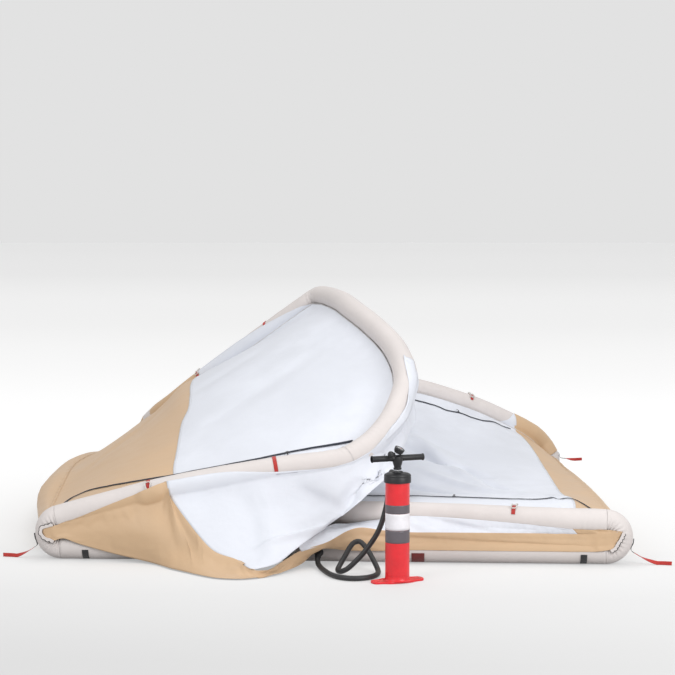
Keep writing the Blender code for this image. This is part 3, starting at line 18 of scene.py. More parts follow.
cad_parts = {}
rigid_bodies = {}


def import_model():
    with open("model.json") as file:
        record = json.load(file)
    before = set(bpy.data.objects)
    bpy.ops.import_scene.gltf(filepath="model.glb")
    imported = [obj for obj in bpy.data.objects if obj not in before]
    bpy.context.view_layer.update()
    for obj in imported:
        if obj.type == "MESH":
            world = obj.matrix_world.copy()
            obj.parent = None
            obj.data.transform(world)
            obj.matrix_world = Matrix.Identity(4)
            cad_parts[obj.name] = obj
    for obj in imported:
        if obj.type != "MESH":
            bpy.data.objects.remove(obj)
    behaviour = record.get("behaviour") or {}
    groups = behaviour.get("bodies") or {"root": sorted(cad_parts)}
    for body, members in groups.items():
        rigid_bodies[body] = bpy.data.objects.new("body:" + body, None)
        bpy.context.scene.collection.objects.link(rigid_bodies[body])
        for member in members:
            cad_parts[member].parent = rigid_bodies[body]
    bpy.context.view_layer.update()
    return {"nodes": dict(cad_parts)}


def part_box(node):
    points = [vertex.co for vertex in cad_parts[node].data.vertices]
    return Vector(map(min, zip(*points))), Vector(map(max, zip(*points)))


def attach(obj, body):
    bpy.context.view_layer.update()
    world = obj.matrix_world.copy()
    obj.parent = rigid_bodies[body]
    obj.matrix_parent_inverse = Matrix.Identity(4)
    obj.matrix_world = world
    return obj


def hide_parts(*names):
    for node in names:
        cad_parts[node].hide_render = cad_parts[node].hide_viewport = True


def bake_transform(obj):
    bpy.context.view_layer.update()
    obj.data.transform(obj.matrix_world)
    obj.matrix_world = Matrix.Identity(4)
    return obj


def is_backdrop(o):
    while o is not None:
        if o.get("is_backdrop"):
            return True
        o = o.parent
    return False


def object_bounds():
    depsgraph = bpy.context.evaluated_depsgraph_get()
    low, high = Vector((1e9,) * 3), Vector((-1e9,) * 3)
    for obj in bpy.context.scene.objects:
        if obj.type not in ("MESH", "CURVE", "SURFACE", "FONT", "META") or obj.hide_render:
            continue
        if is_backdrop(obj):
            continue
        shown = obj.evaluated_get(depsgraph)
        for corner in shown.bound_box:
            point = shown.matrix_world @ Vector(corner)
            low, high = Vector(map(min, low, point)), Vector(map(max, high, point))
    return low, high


for spare in list(bpy.data.objects):
    bpy.data.objects.remove(spare)
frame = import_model()
SCENE = bpy.context.scene

# %% [markdown]
# ## The camera
# The picture was taken from about nine metres away with a long lens, a little above head height and
# turned slightly to the left. A camera was fitted to the floor's horizon, the ground beams and the pump,
# and these are its numbers. It comes first, because everything else is judged through it.

# %% Camera
PICTURE_SIDE = 675.0
HORIZON_ROW = 240.0
FOCAL_PIXELS = 1680.0
CAMERA_TURN = 3.1
HORIZON_DROP = math.atan((PICTURE_SIDE / 2 - HORIZON_ROW) / FOCAL_PIXELS)
lens = bpy.data.cameras.new("long_lens")
lens.sensor_width = 36.0
lens.lens = FOCAL_PIXELS / PICTURE_SIDE * lens.sensor_width
camera = bpy.data.objects.new("camera", lens)
SCENE.collection.objects.link(camera)
camera.location = (0.45, -9.127, 1.5)
camera.rotation_euler = (math.pi / 2 - HORIZON_DROP, 0.0, math.radians(CAMERA_TURN))
SCENE.camera = camera
print("lens", round(lens.lens, 1), "mm, pitched down", round(math.degrees(HORIZON_DROP), 2), "degrees")

# %% [markdown]
# ## Shader maths in Python
# A material is a graph of nodes, and graphs with sums in them are hard to read. The small class below
# wraps one socket, so that a sum of two sockets is written as a sum and adds its Math node by itself.
# Any other node comes from one method that takes its type, its settings and what feeds its sockets.


# %% Sockets that take part in sums
class Wire:
    """One output socket of a material's graph, which can be used in a sum."""

    def __init__(self, finish, socket):
        self.finish = finish
        self.socket = socket

    def __add__(self, other):
        return self.finish.maths("ADD", self, other)

    def __sub__(self, other):
        return self.finish.maths("SUBTRACT", self, other)

    def __rsub__(self, other):
        return self.finish.maths("SUBTRACT", other, self)

    def __mul__(self, other):
        return self.finish.maths("MULTIPLY", self, other)

    def __gt__(self, other):
        return self.finish.maths("GREATER_THAN", self, other)

    __radd__ = __add__
    __rmul__ = __mul__


class Finish:
    """One material: its graph, and the shader that the graph feeds."""

    def __init__(self, name, roughness, **shader_values):
        self.material = bpy.data.materials.new(name)
        self.material.use_nodes = True
        self.tree = self.material.node_tree
        self.shader = self.tree.nodes["Principled BSDF"]
        self.shader.inputs["Roughness"].default_value = roughness
        for key, value in shader_values.items():
            self.shader.inputs[key.replace("_", " ")].default_value = value

    def node(self, kind, settings=None, feeds=None, out=0):
        made = self.tree.nodes.new(kind)
        for key, value in (settings or {}).items():
            setattr(made, key, value)
        for key, value in (feeds or {}).items():
            self.feed(made.inputs[key], value)
        return Wire(self, made.outputs[out])

    def feed(self, socket, value):
        if isinstance(value, Wire):
            self.tree.links.new(value.socket, socket)
        else:
            socket.default_value = value

    def maths(self, operation, *values):
        return self.node("ShaderNodeMath", {"operation": operation}, dict(enumerate(values)))

    def sine(self, value):
        return self.maths("SINE", value)

    def place(self):
        return self.node("ShaderNodeTexCoord", out=3)

    def weave_map(self):
        """The piece's own UV map, which is in metres along and across the cloth."""
        return self.node("ShaderNodeTexCoord", out=2)

    def parts(self, vector):
        made = self.node("ShaderNodeSeparateXYZ", feeds={0: vector})
        return [Wire(self, out) for out in made.socket.node.outputs]

    def noise(self, where, scale, detail=3.0, rough=0.5):
        return self.node("ShaderNodeTexNoise", feeds={
            "Vector": where, "Scale": scale, "Detail": detail, "Roughness": rough})

    def between(self, value, low, high, to_low=0.0, to_high=1.0):
        return self.node("ShaderNodeMapRange", {"clamp": True},
                         {0: value, 1: low, 2: high, 3: to_low, 4: to_high})

    def mix(self, first, second, share):
        return self.node("ShaderNodeMix", {"data_type": "RGBA"}, {0: share, 6: first, 7: second}, out=2)

    def bump(self, height, distance, strength=1.0, under=None):
        feeds = {"Height": height, "Distance": distance, "Strength": strength}
        if under is not None:
            feeds["Normal"] = under
        return self.node("ShaderNodeBump", feeds=feeds)

    def finish(self, colour=None, roughness=None, normal=None):
        for key, value in (("Base Color", colour), ("Roughness", roughness), ("Normal", normal)):
            if value is not None:
                self.feed(self.shader.inputs[key], value)
        return self.material


def shade(colour, amount):
    """A colour made lighter or darker by a factor."""
    return tuple(min(channel * amount, 1.0) for channel in colour[:3]) + (1.0,)


# %% [markdown]
# ## Cloth finishes
# The tent has three polyester cloths: a warm off-white sleeve over each air beam, a tan lower band and a
# cool white panel that keeps the light out. Coated polyester has a fine plain weave, a soft sheen and
# faint rubbed patches where it has been folded. The weave runs on the piece's own UV map, which is in
# metres, so its threads follow the cloth. The rubbed patches and the crumple read Object coordinates.

# %% Cloth
THREAD = 0.0007
SLEEVE_COLOUR = (0.660, 0.612, 0.595, 1.0)
TAN_COLOUR = (0.590, 0.405, 0.245, 1.0)
WHITE_COLOUR = (0.700, 0.722, 0.782, 1.0)
SHEET_COLOUR = (0.105, 0.110, 0.120, 1.0)


def cloth(name, colour, roughness, crumple, thread=THREAD):
    """A coated plain weave with rubbed patches and a fine crumple of the given depth in metres."""
    made = Finish(name, roughness, Sheen_Weight=0.06, Sheen_Roughness=0.5)
    where = made.place()
    u, v, _ = made.parts(made.weave_map())
    turn = 2 * math.pi / thread
    warp = made.sine(u * turn)
    weft = made.sine(v * turn)
    worn = made.noise(where, 3.1, 5.0, 0.62)
    cloudy = made.noise(where, 0.9, 2.0)
    creased = made.noise(where, 22.0, 4.0, 0.55)
    tint = made.mix(shade(colour, 0.93), shade(colour, 1.06), made.between(worn, 0.32, 0.68))
    tint = made.mix(shade(colour, 0.95), tint, made.between(cloudy, 0.30, 0.62))
    threads = made.bump(warp * weft, thread * 0.12, 0.35)
    creases = made.bump(creased, crumple, 0.7, threads)
    made.finish(tint, made.between(worn, 0.3, 0.7, roughness - 0.07, roughness + 0.09), creases)
    return made.material


SLEEVE = cloth("off_white_sleeve", SLEEVE_COLOUR, 0.62, 0.0016)
TAN = cloth("tan_polyester", TAN_COLOUR, 0.50, 0.0022)
WHITE = cloth("white_polyester", WHITE_COLOUR, 0.55, 0.0020)
GROUND = cloth("grey_groundsheet", SHEET_COLOUR, 0.72, 0.0030, THREAD * 2)

# %% [markdown]
# ## Webbing, zips, cord and stitches
# Webbing is woven with heavy ribs across it, so its pattern runs along the piece's own length. Zip tape
# is a fine knitted band. The guy lines are braided, which shows as two sets of crossing spirals.


# %% Narrow weaves
def ribbed(name, colour, rib, roughness=0.75, tip=None, tip_from=0.0):
    """Ribbed webbing. A tip colour starts where the length along the piece passes a value."""
    made = Finish(name, roughness, Sheen_Weight=0.2, Sheen_Roughness=0.5)
    u, v, _ = made.parts(made.weave_map())
    ribs = made.sine(v * (2 * math.pi / rib))
    cross = made.sine(u * (2 * math.pi / rib) + ribs * 0.8)
    worn = made.noise(made.place(), 60.0, 3.0)
    # The colour is lighter on the ribs and darker in the grooves between them, which is painted shade, and it
    # also varies at random with the worn noise.
    tint = made.mix(shade(colour, 0.78), shade(colour, 1.15), made.between(ribs * 0.5 + worn, 0.1, 1.1))
    if tip is not None:
        tint = made.mix(tint, tip, v > tip_from)
    made.finish(tint, None, made.bump(ribs + cross * 0.4, rib * 0.16, 0.8))
    return made.material


RED_TINT = (0.500, 0.030, 0.022, 1.0)
DARK_RED_TINT = (0.165, 0.012, 0.010, 1.0)
BLACK_TINT = (0.016, 0.016, 0.018, 1.0)
NAVY_TINT = (0.016, 0.022, 0.040, 1.0)
RED_WEBBING = ribbed("red_webbing", RED_TINT, 0.0016)
PATCH_WEAVE = ribbed("dark_red_patch", DARK_RED_TINT, 0.0024)
BLACK_WEBBING = ribbed("black_webbing", BLACK_TINT, 0.0018)
PEG_WEBBING = ribbed("peg_webbing", BLACK_TINT, 0.0018, tip=RED_TINT, tip_from=0.075)
ZIP_TAPE = ribbed("zip_tape", NAVY_TINT, 0.0011, 0.8)
PIPING = ribbed("pale_piping", (0.62, 0.60, 0.60, 1.0), 0.0012, 0.7)
THREAD_PALE = ribbed("pale_thread", (0.55, 0.53, 0.50, 1.0), 0.0009)


def braided(name, colour, pitch, turns):
    """Braid, as spirals that cross round a cord whose UV map is turns round and metres along."""
    made = Finish(name, 0.7, Sheen_Weight=0.15)
    round_share, along, _ = made.parts(made.weave_map())
    spiral = made.sine(along * (2 * math.pi / pitch) + round_share * (2 * math.pi * turns))
    other = made.sine(along * (2 * math.pi / pitch) - round_share * (2 * math.pi * turns))
    braid = made.maths("MAXIMUM", spiral, other)
    # The colour is darker between the strands of the braid, which is painted shade.
    tint = made.mix(shade(colour, 0.7), shade(colour, 1.05), made.between(braid, -0.2, 1.0))
    made.finish(tint, None, made.bump(braid, 0.0003, 0.8))
    return made.material


GUY_CORD = braided("pale_guy_cord", (0.80, 0.79, 0.74, 1.0), 0.004, 3)

# %% [markdown]
# ## Plastics, metal, rubber and glass
# The pump is moulded: a glossy red barrel and foot, and black fittings with the fine grain of a
# textured mould. Moulded plastic is never quite smooth, so a faint waviness bends its highlights, and
# handling leaves it a little duller in patches.


# %% Hard finishes
def moulded(name, colour, roughness, grain, grain_depth, metallic=0.0, wave=0.00010, **extra):
    made = Finish(name, roughness, Metallic=metallic, **extra)
    where = made.place()
    fine = made.noise(where, grain, 2.0)
    broad = made.noise(where, 38.0, 2.0)
    rubbed = made.noise(where, 14.0, 4.0, 0.65)
    tint = made.mix(shade(colour, 0.90), shade(colour, 1.07), made.between(rubbed, 0.3, 0.7))
    dull = made.between(rubbed, 0.35, 0.7, roughness - 0.05, roughness + 0.12)
    surface = made.bump(fine, grain_depth, 0.6, made.bump(broad, wave, 0.5))
    made.finish(tint, dull, surface)
    return made.material


RED_PLASTIC = moulded("red_plastic", (0.740, 0.018, 0.026, 1.0), 0.34, 420.0, 0.00004, Coat_Weight=0.15)
BLACK_PLASTIC = moulded("black_plastic", (0.010, 0.010, 0.012, 1.0), 0.46, 900.0, 0.00010)
GREY_PLASTIC = moulded("grey_plastic", (0.30, 0.30, 0.31, 1.0), 0.5, 700.0, 0.00006)
HOSE_RUBBER = moulded("hose_rubber", (0.020, 0.020, 0.021, 1.0), 0.50, 260.0, 0.00012, wave=0.0004)
SEAL_RUBBER = moulded("seal_rubber", (0.02, 0.02, 0.02, 1.0), 0.3, 300.0, 0.00003)
BRIGHT_METAL = moulded("bright_metal", (0.72, 0.73, 0.75, 1.0), 0.24, 800.0, 0.00002, metallic=1.0)
DARK_METAL = moulded("dark_metal", (0.16, 0.16, 0.17, 1.0), 0.38, 500.0, 0.00004, metallic=1.0)
LABEL_GREY = moulded("label_grey", (0.115, 0.100, 0.115, 1.0), 0.36, 500.0, 0.00002)
LABEL_WHITE = moulded("label_white", (0.80, 0.78, 0.82, 1.0), 0.34, 500.0, 0.00002)
DIAL_WHITE = moulded("dial_white", (0.78, 0.78, 0.76, 1.0), 0.5, 600.0, 0.00001)
NEEDLE_RED = moulded("needle_red", (0.62, 0.03, 0.02, 1.0), 0.35, 600.0, 0.00001)
GLASS = Finish("gauge_glass", 0.04, Transmission_Weight=1.0, IOR=1.49)
GLASS.finish((0.97, 0.98, 1.0, 1.0), GLASS.between(GLASS.noise(GLASS.place(), 90.0), 0.3, 0.7, 0.03, 0.09))
print("finishes", len(bpy.data.materials))

# %% [markdown]
# ## Curves and meshes
# Nearly every piece here is either cloth on a grid of points or a section carried along a line. Coarse
# points set the shape, and a smooth curve through them gives as many points as the detail needs. Points
# are rows of numpy arrays, so that a whole cloth can be moved in one line.

# %% Lines and grids
CLOTH = 0.004
SEAT = 0.0003
SEAM = 0.0006
SEW_CLEARANCE = 0.0015
BEAM_DIAMETER = 0.125
BEAM_RADIUS = BEAM_DIAMETER / 2
RIM = BEAM_RADIUS + SEAM + CLOTH / 2


def points(rows):
    return np.array(rows, float)


def unit(vectors):
    return vectors / np.maximum(np.linalg.norm(vectors, axis=-1, keepdims=True), 1e-12)


def through(knots, per_span):
    """The smooth curve through knots, along the first axis of an array of any shape."""
    knots = points(knots)
    ends = np.concatenate([[2 * knots[0] - knots[1]], knots, [2 * knots[-1] - knots[-2]]])
    t = (np.arange(per_span) / per_span).reshape([-1] + [1] * (knots.ndim - 1))
    spans = []
    for i in range(len(knots) - 1):
        a, b, c, d = ends[i:i + 4]
        spans.append(0.5 * (2 * b + (c - a) * t + (2 * a - 5 * b + 4 * c - d) * t ** 2
                            + (3 * b - a - 3 * c + d) * t ** 3))
    return np.concatenate(spans + [knots[-1:]])


def run_of(line):
    """How far along a line each of its points is."""
    return np.concatenate([[0.0], np.cumsum(np.linalg.norm(np.diff(line, axis=0), axis=1))])


def resample(line, steps):
    """The same line with its length cut into equal steps."""
    run = run_of(line)
    goals = np.linspace(0.0, run[-1], steps + 1)
    return np.stack([np.interp(goals, run, line[:, k]) for k in range(3)], axis=1)


def tangents(line):
    return unit(np.concatenate([line[1:2] - line[:1], line[2:] - line[:-2], line[-1:] - line[-2:-1]]))


def finer(grid, along, across):
    """A grid with more rows and columns, on the smooth surface through the old ones."""
    return through(through(grid, along).swapaxes(0, 1), across).swapaxes(0, 1)


def grid_normals(grid):
    down = np.gradient(grid, axis=0)
    side = np.gradient(grid, axis=1)
    return unit(np.cross(side, down))


def nearest_on(line, spots):
    """For each spot, the nearest point of a line."""
    shape = spots.shape
    spots = spots.reshape(-1, 3)
    best = np.full(len(spots), 1e9)
    found = np.zeros_like(spots)
    for a, b in zip(line[:-1], line[1:]):
        run = b - a
        share = np.clip((spots - a) @ run / (run @ run), 0.0, 1.0)[:, None]
        near = a + share * run
        apart = np.linalg.norm(spots - near, axis=1)
        closer = apart < best
        best[closer] = apart[closer]
        found[closer] = near[closer]
    return found.reshape(shape)


def outside(line, spots, reach):
    """Moves the spots that are nearer to a beam's middle line than a reach out to that reach."""
    near = nearest_on(line, spots)
    out = spots - near
    apart = np.linalg.norm(out, axis=-1, keepdims=True)
    return np.where(apart < reach, near + out / np.maximum(apart, 1e-9) * reach, spots)


# %% Meshes from points
def piece(name, verts, faces, finish, uv=None):
    """A mesh object at the origin, smooth, with its UV map in metres where one is given."""
    mesh = bpy.data.meshes.new(name)
    mesh.from_pydata([tuple(v) for v in verts], [], [tuple(int(i) for i in face) for face in faces])
    mesh.materials.append(finish)
    mesh.shade_smooth()
    if uv is not None:
        layer = mesh.uv_layers.new(name="in_metres")
        corners = np.zeros(len(mesh.loops), np.int64)
        mesh.loops.foreach_get("vertex_index", corners)
        layer.data.foreach_set("uv", np.asarray(uv, np.float32)[corners].ravel())
    made = bpy.data.objects.new(name, mesh)
    SCENE.collection.objects.link(made)
    return made


def grid_faces(rows, columns, closed=False):
    faces = []
    span = columns if closed else columns - 1
    for r in range(rows - 1):
        for c in range(span):
            n = (c + 1) % columns
            faces.append((r * columns + c, r * columns + n, (r + 1) * columns + n, (r + 1) * columns + c))
    return faces


def grid_uv(grid):
    """Metres across and along a grid of cloth, measured over its surface."""
    across = np.cumsum(np.linalg.norm(np.diff(grid, axis=1, prepend=grid[:, :1]), axis=2), axis=1)
    along = np.cumsum(np.linalg.norm(np.diff(grid, axis=0, prepend=grid[:1]), axis=2), axis=0)
    return np.stack([across, along], axis=-1).reshape(-1, 2)


def apply_all(made):
    """Turns an object with modifiers into a plain mesh."""
    SCENE.view_layers[0].update()
    deps = bpy.context.evaluated_depsgraph_get()
    mesh = bpy.data.meshes.new_from_object(made.evaluated_get(deps), depsgraph=deps)
    made.modifiers.clear()
    made.data = mesh
    mesh.name = made.name
    return made


def sheet_piece(name, grid, finish, thickness=0.0011):
    """A cloth through a grid, with its real thickness."""
    rows, columns = grid.shape[:2]
    made = piece(name, grid.reshape(-1, 3), grid_faces(rows, columns), finish, grid_uv(grid))
    wall = made.modifiers.new("thickness", "SOLIDIFY")
    wall.thickness = thickness
    wall.offset = 0.0
    return apply_all(made)


def tube_frames(line):
    """Directions square to a line that turn with it and no more than it does."""
    ways = tangents(line)
    side = np.cross(ways[0], (0.0, 0.0, 1.0))
    if np.linalg.norm(side) < 0.1:
        side = np.cross(ways[0], (0.0, 1.0, 0.0))
    sides = [side / np.linalg.norm(side)]
    for way in ways[1:]:
        side = sides[-1] - way * (sides[-1] @ way)
        sides.append(side / np.linalg.norm(side))
    sides = points(sides)
    return ways, sides, np.cross(ways, sides)


def tube_piece(name, line, radius, sides, finish, around=1.0):
    """A closed round tube along a line. Its UV map is turns round and metres along."""
    ways, first, second = tube_frames(line)
    turns = np.linspace(0.0, 2 * math.pi, sides, endpoint=False)
    radius = np.broadcast_to(np.asarray(radius, float), (len(line),))
    rings = (line[:, None] + radius[:, None, None]
             * (first[:, None] * np.cos(turns)[None, :, None]
                + second[:, None] * np.sin(turns)[None, :, None]))
    verts = np.concatenate([rings.reshape(-1, 3), line[:1], line[-1:]])
    faces = [tuple(reversed(f)) for f in grid_faces(len(line), sides, closed=True)]
    start, end = len(verts) - 2, len(verts) - 1
    last = (len(line) - 1) * sides
    for k in range(sides):
        n = (k + 1) % sides
        faces.append((start, n, k))
        faces.append((end, last + k, last + n))
    run = np.repeat(run_of(line), sides)
    share = np.tile(np.linspace(0.0, around, sides, endpoint=False), len(line))
    uv = np.concatenate([np.stack([share, run], 1), [[0.0, 0.0], [0.0, run[-1]]]])
    return facing_out(piece(name, verts, faces, finish, uv))


def facing_out(made):
    bm = bmesh.new()
    bm.from_mesh(made.data)
    bmesh.ops.recalc_face_normals(bm, faces=bm.faces)
    bm.to_mesh(made.data)
    bm.free()
    return made


def dress(made, body, slot, *nodes):
    """Attaches a piece to the body that it moves with, and hides the CAD nodes that it stands for. The slot
    is not used.
    """
    if body:
        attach(made, body)
    if nodes:
        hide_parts(*nodes)
    return made


def bridge(made, first, first_points, second, second_points):
    """Finds how far apart a cloth's points on two bodies lie, and bakes the cloth's place into its mesh.

    The gap is measured along the direction that tells the two sets of points apart best.
    """
    a, b = first_points.reshape(-1, 3), second_points.reshape(-1, 3)
    spread = np.cov(a.T) + np.cov(b.T) + np.eye(3) * 1e-4
    way = unit(np.linalg.solve(spread, b.mean(axis=0) - a.mean(axis=0)))
    start, end = float((a @ way).max()), float((b @ way).min())
    if end - start < 0.01:
        start, end = float((a @ way).mean()), float((b @ way).mean())
    for cloth_made in (made if isinstance(made, list) else [made]):
        tuple(way * start)
        tuple(way * end)
        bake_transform(cloth_made)
        print(cloth_made.name, "turns from", first, "to", second, "over", round(end - start, 3), "m")


def cloth_sheet(made, grid, held, *rests_on):
    """Prints the flat size and area that a cloth's grid measures."""
    width = np.linalg.norm(np.diff(grid, axis=1), axis=2).sum(axis=1).max()
    length = np.linalg.norm(np.diff(grid, axis=0), axis=2).sum(axis=0).max()
    down, side = np.diff(grid, axis=0)[:, :-1], np.diff(grid, axis=1)[:-1]
    area = float(np.linalg.norm(np.cross(down, side), axis=2).sum())
    area = min(area, width * length)
    print("sheet", made.name, round(float(width), 2), "x", round(float(length), 2), "m,",
          round(area, 2), "m2")


def triangles(made):
    return sum(len(face.vertices) - 2 for face in made.data.polygons)

# %% [markdown]
# ## Where the beams run
# The CAD model draws each beam round a middle line, and the same points are used here as shares of the
# tent's length, depth and arch height. Each arch is in three runs: the front leg, the crown and the back
# leg. A U-shaped bend joins each end of an arch to a ground beam, and the arches hinge about the middles
# of those bends.

# %% Middle lines of the beams
TENT_LENGTH = 2.80
TENT_DEPTH = 2.70
ARCH_HEIGHT = 1.22
TENT_SIZE = points((TENT_LENGTH, TENT_DEPTH, ARCH_HEIGHT))
BEND_RADIUS = BEAM_RADIUS + 0.003
HINGE_X = TENT_LENGTH / 2 - BEND_RADIUS - BEAM_RADIUS
HINGE_Z = BEAM_RADIUS + BEND_RADIUS
RIGHT_BACK_X = HINGE_X - 0.13
FRONT = -TENT_DEPTH / 2
BACK = TENT_DEPTH / 2
LEG_STEPS = 14
CROWN_STEPS = 16
LAST = LEG_STEPS * 2 + CROWN_STEPS
LEFT_RISES = (16, 80)
RIGHT_RISES = (2, 60)
FRONT_LEFT = points((-HINGE_X, FRONT, HINGE_Z))
BACK_LEFT = points((-HINGE_X, BACK, HINGE_Z))
FRONT_RIGHT = points((HINGE_X, FRONT, HINGE_Z))
BACK_RIGHT = points((RIGHT_BACK_X, BACK, HINGE_Z))

LEFT_FRONT_LEG_SHARES = [
    (-0.386, -0.500, 0.204), (-0.264, -0.496, 0.276), (-0.096, -0.481, 0.344), (0.025, -0.448, 0.380),
]
LEFT_CROWN_SHARES = [
    (0.088, -0.389, 0.486), (0.117, -0.315, 0.608), (0.118, -0.241, 0.688), (0.095, -0.122, 0.773),
    (0.053, 0.000, 0.848), (0.011, 0.111, 0.904), (-0.014, 0.204, 0.932), (-0.046, 0.296, 0.948),
    (-0.075, 0.352, 0.949),
]
LEFT_BACK_LEG_SHARES = [
    (-0.186, 0.381, 0.772), (-0.294, 0.407, 0.592), (-0.346, 0.422, 0.502), (-0.400, 0.444, 0.403),
    (-0.462, 0.476, 0.283),
]
RIGHT_FRONT_LEG_SHARES = [
    (0.382, -0.500, 0.162), (0.306, -0.489, 0.164), (0.198, -0.470, 0.166), (0.107, -0.452, 0.164),
    (0.011, -0.419, 0.156),
]
RIGHT_CROWN_SHARES = [
    (-0.061, -0.344, 0.150), (-0.104, -0.204, 0.170), (-0.111, -0.037, 0.240), (-0.086, 0.130, 0.360),
    (-0.029, 0.270, 0.450), (0.054, 0.359, 0.502),
]
RIGHT_BACK_LEG_SHARES = [
    (0.134, 0.404, 0.487), (0.251, 0.441, 0.400), (0.328, 0.463, 0.320), (0.380, 0.481, 0.256),
    (0.404, 0.491, 0.212),
]


def places(shares):
    return points(shares) * TENT_SIZE


def spoke(middle, angle):
    """The way from a bend's middle at an angle up from straight out of the tent."""
    turn = math.radians(angle)
    return points((math.copysign(math.cos(turn), middle[0]), 0.0, math.sin(turn)))


def heading(middle, rise):
    """The way an arch leaves its corner bend."""
    turn = math.radians(rise)
    return points((-math.copysign(math.cos(turn), middle[0]), 0.0, math.sin(turn)))


def arch_path(middles, rises, front_shares, crown_shares, back_shares):
    """Stations along an arch's middle line, in even steps in each leg and in the crown."""
    starts = [m + spoke(m, 90 - rise) * BEND_RADIUS + heading(m, rise) * SEAT
              for m, rise in zip(middles, rises)]
    knots = np.concatenate([[starts[0]], places(front_shares), places(crown_shares),
                            places(back_shares), [starts[1]]])
    per_span = 12
    fine = through(knots, per_span)
    first = len(front_shares) * per_span
    second = (len(front_shares) + len(crown_shares)) * per_span
    path = np.concatenate([resample(fine[:first + 1], LEG_STEPS),
                           resample(fine[first:second + 1], CROWN_STEPS)[1:],
                           resample(fine[second:], LEG_STEPS)[1:]])
    for end, beside, middle, rise in ((0, 1, middles[0], rises[0]), (-1, -2, middles[1], rises[1])):
        path[beside] = path[end] + heading(middle, rise) * np.linalg.norm(path[beside] - path[end])
    return path


LEFT_PATH = arch_path((FRONT_LEFT, BACK_LEFT), LEFT_RISES, LEFT_FRONT_LEG_SHARES, LEFT_CROWN_SHARES,
                      LEFT_BACK_LEG_SHARES)
RIGHT_PATH = arch_path((FRONT_RIGHT, BACK_RIGHT), RIGHT_RISES, RIGHT_FRONT_LEG_SHARES, RIGHT_CROWN_SHARES,
                       RIGHT_BACK_LEG_SHARES)
LEFT_RUN = run_of(LEFT_PATH)[-1]
RIGHT_RUN = run_of(RIGHT_PATH)[-1]
print("arches", round(LEFT_RUN, 2), "and", round(RIGHT_RUN, 2), "m along their middles")

# %% [markdown]
# ## The hose and the guy lines
# Cords come before the other pieces, because they are fixed lengths of something flexible and everything
# else has to leave them room. The hose leaves a port at the back of the pump's cap, drops to the floor,
# makes one high loop and one low loop over itself, and ends in a nozzle that is pushed into the tent's
# valve. The picture shows the whole of it. The route repeats the CAD model's points.

# %% The hose's route
HOSE_DIAMETER = 0.024
HOSE_STEPS = 60
PUMP = places((0.1132, -0.6689, 0.0))
PUMP_TURN = 25
BARREL_BASE = 0.0303
BARREL_DIAMETER = 0.107
BARREL_LENGTH = 0.423
CAP_DIAMETER = 0.119
CAP_HEIGHT = 0.036
CAP_DOME = 0.006
HOSE_PORT_LENGTH = 0.034
PORT_OUT = unit(points((-0.233, 0.972, 0.0)))
PORT_SEAT = (PUMP + points((0.0, 0.0, BARREL_BASE + BARREL_LENGTH + CAP_HEIGHT / 2 - CAP_DOME / 2))
             + PORT_OUT * (CAP_DIAMETER / 2 + SEAT))
VALVE_ANGLE = math.radians(-9)
VALVE_OUT = points((0.0, -math.cos(VALVE_ANGLE), math.sin(VALVE_ANGLE)))
VALVE_SEAT = points((-0.0196 * TENT_LENGTH, FRONT, BEAM_RADIUS)) + VALVE_OUT * (BEAM_RADIUS + SEAT)
VALVE_DEPTH = 0.016
NOZZLE_LENGTH = 0.046
HOSE_START = PORT_SEAT + PORT_OUT * (HOSE_PORT_LENGTH + SEAT)
HOSE_END = VALVE_SEAT + VALVE_OUT * (VALVE_DEPTH + SEAT + NOZZLE_LENGTH + SEAT)

HOSE_ROUTE = [
    (0.283, -1.648, 0.452), (0.276, -1.634, 0.395), (0.262, -1.644, 0.300), (0.230, -1.660, 0.200),
    (0.175, -1.672, 0.115), (0.120, -1.680, 0.055), (0.083, -1.678, 0.024), (0.055, -1.658, 0.0128),
    (0.045, -1.622, 0.0140), (0.054, -1.584, 0.030), (0.076, -1.550, 0.066), (0.100, -1.520, 0.104),
    (0.126, -1.505, 0.123), (0.153, -1.514, 0.113), (0.181, -1.540, 0.083), (0.207, -1.578, 0.045),
    (0.225, -1.628, 0.019), (0.228, -1.690, 0.0128), (0.212, -1.755, 0.0128), (0.170, -1.800, 0.0128),
    (0.110, -1.812, 0.0128), (0.055, -1.782, 0.0128), (0.018, -1.727, 0.0128), (-0.008, -1.662, 0.0128),
    (-0.032, -1.592, 0.0140), (-0.050, -1.530, 0.022),
]


route = [HOSE_START, HOSE_START + PORT_OUT * HOSE_DIAMETER] + HOSE_ROUTE
route += [HOSE_END + VALVE_OUT * HOSE_DIAMETER, HOSE_END]
route = resample(through(route, 12), HOSE_STEPS)
route[:, 2] = np.maximum(route[:, 2], HOSE_DIAMETER / 2 + SEAT)
route[1] = route[0] + PORT_OUT * np.linalg.norm(route[1] - route[0])
route[-2] = route[-1] + VALVE_OUT * np.linalg.norm(route[-2] - route[-1])
HOSE_LINE = resample(through(route, 6), HOSE_STEPS * 5)
hose = tube_piece("air_hose", HOSE_LINE, HOSE_DIAMETER / 2, 20, HOSE_RUBBER)
dress(hose, "tent_base", "hose_rubber", "pump_hose")

# %% [markdown]
# ## Hanked guy lines
# Four guy lines are still wound up as they were sold, in short hanks that are drawn in at the waist and
# sewn to the beams through red tabs. A wound line is one unbroken cord, so it is drawn as a single tube
# whose turns lie on each other, bent round the beam that carries it.

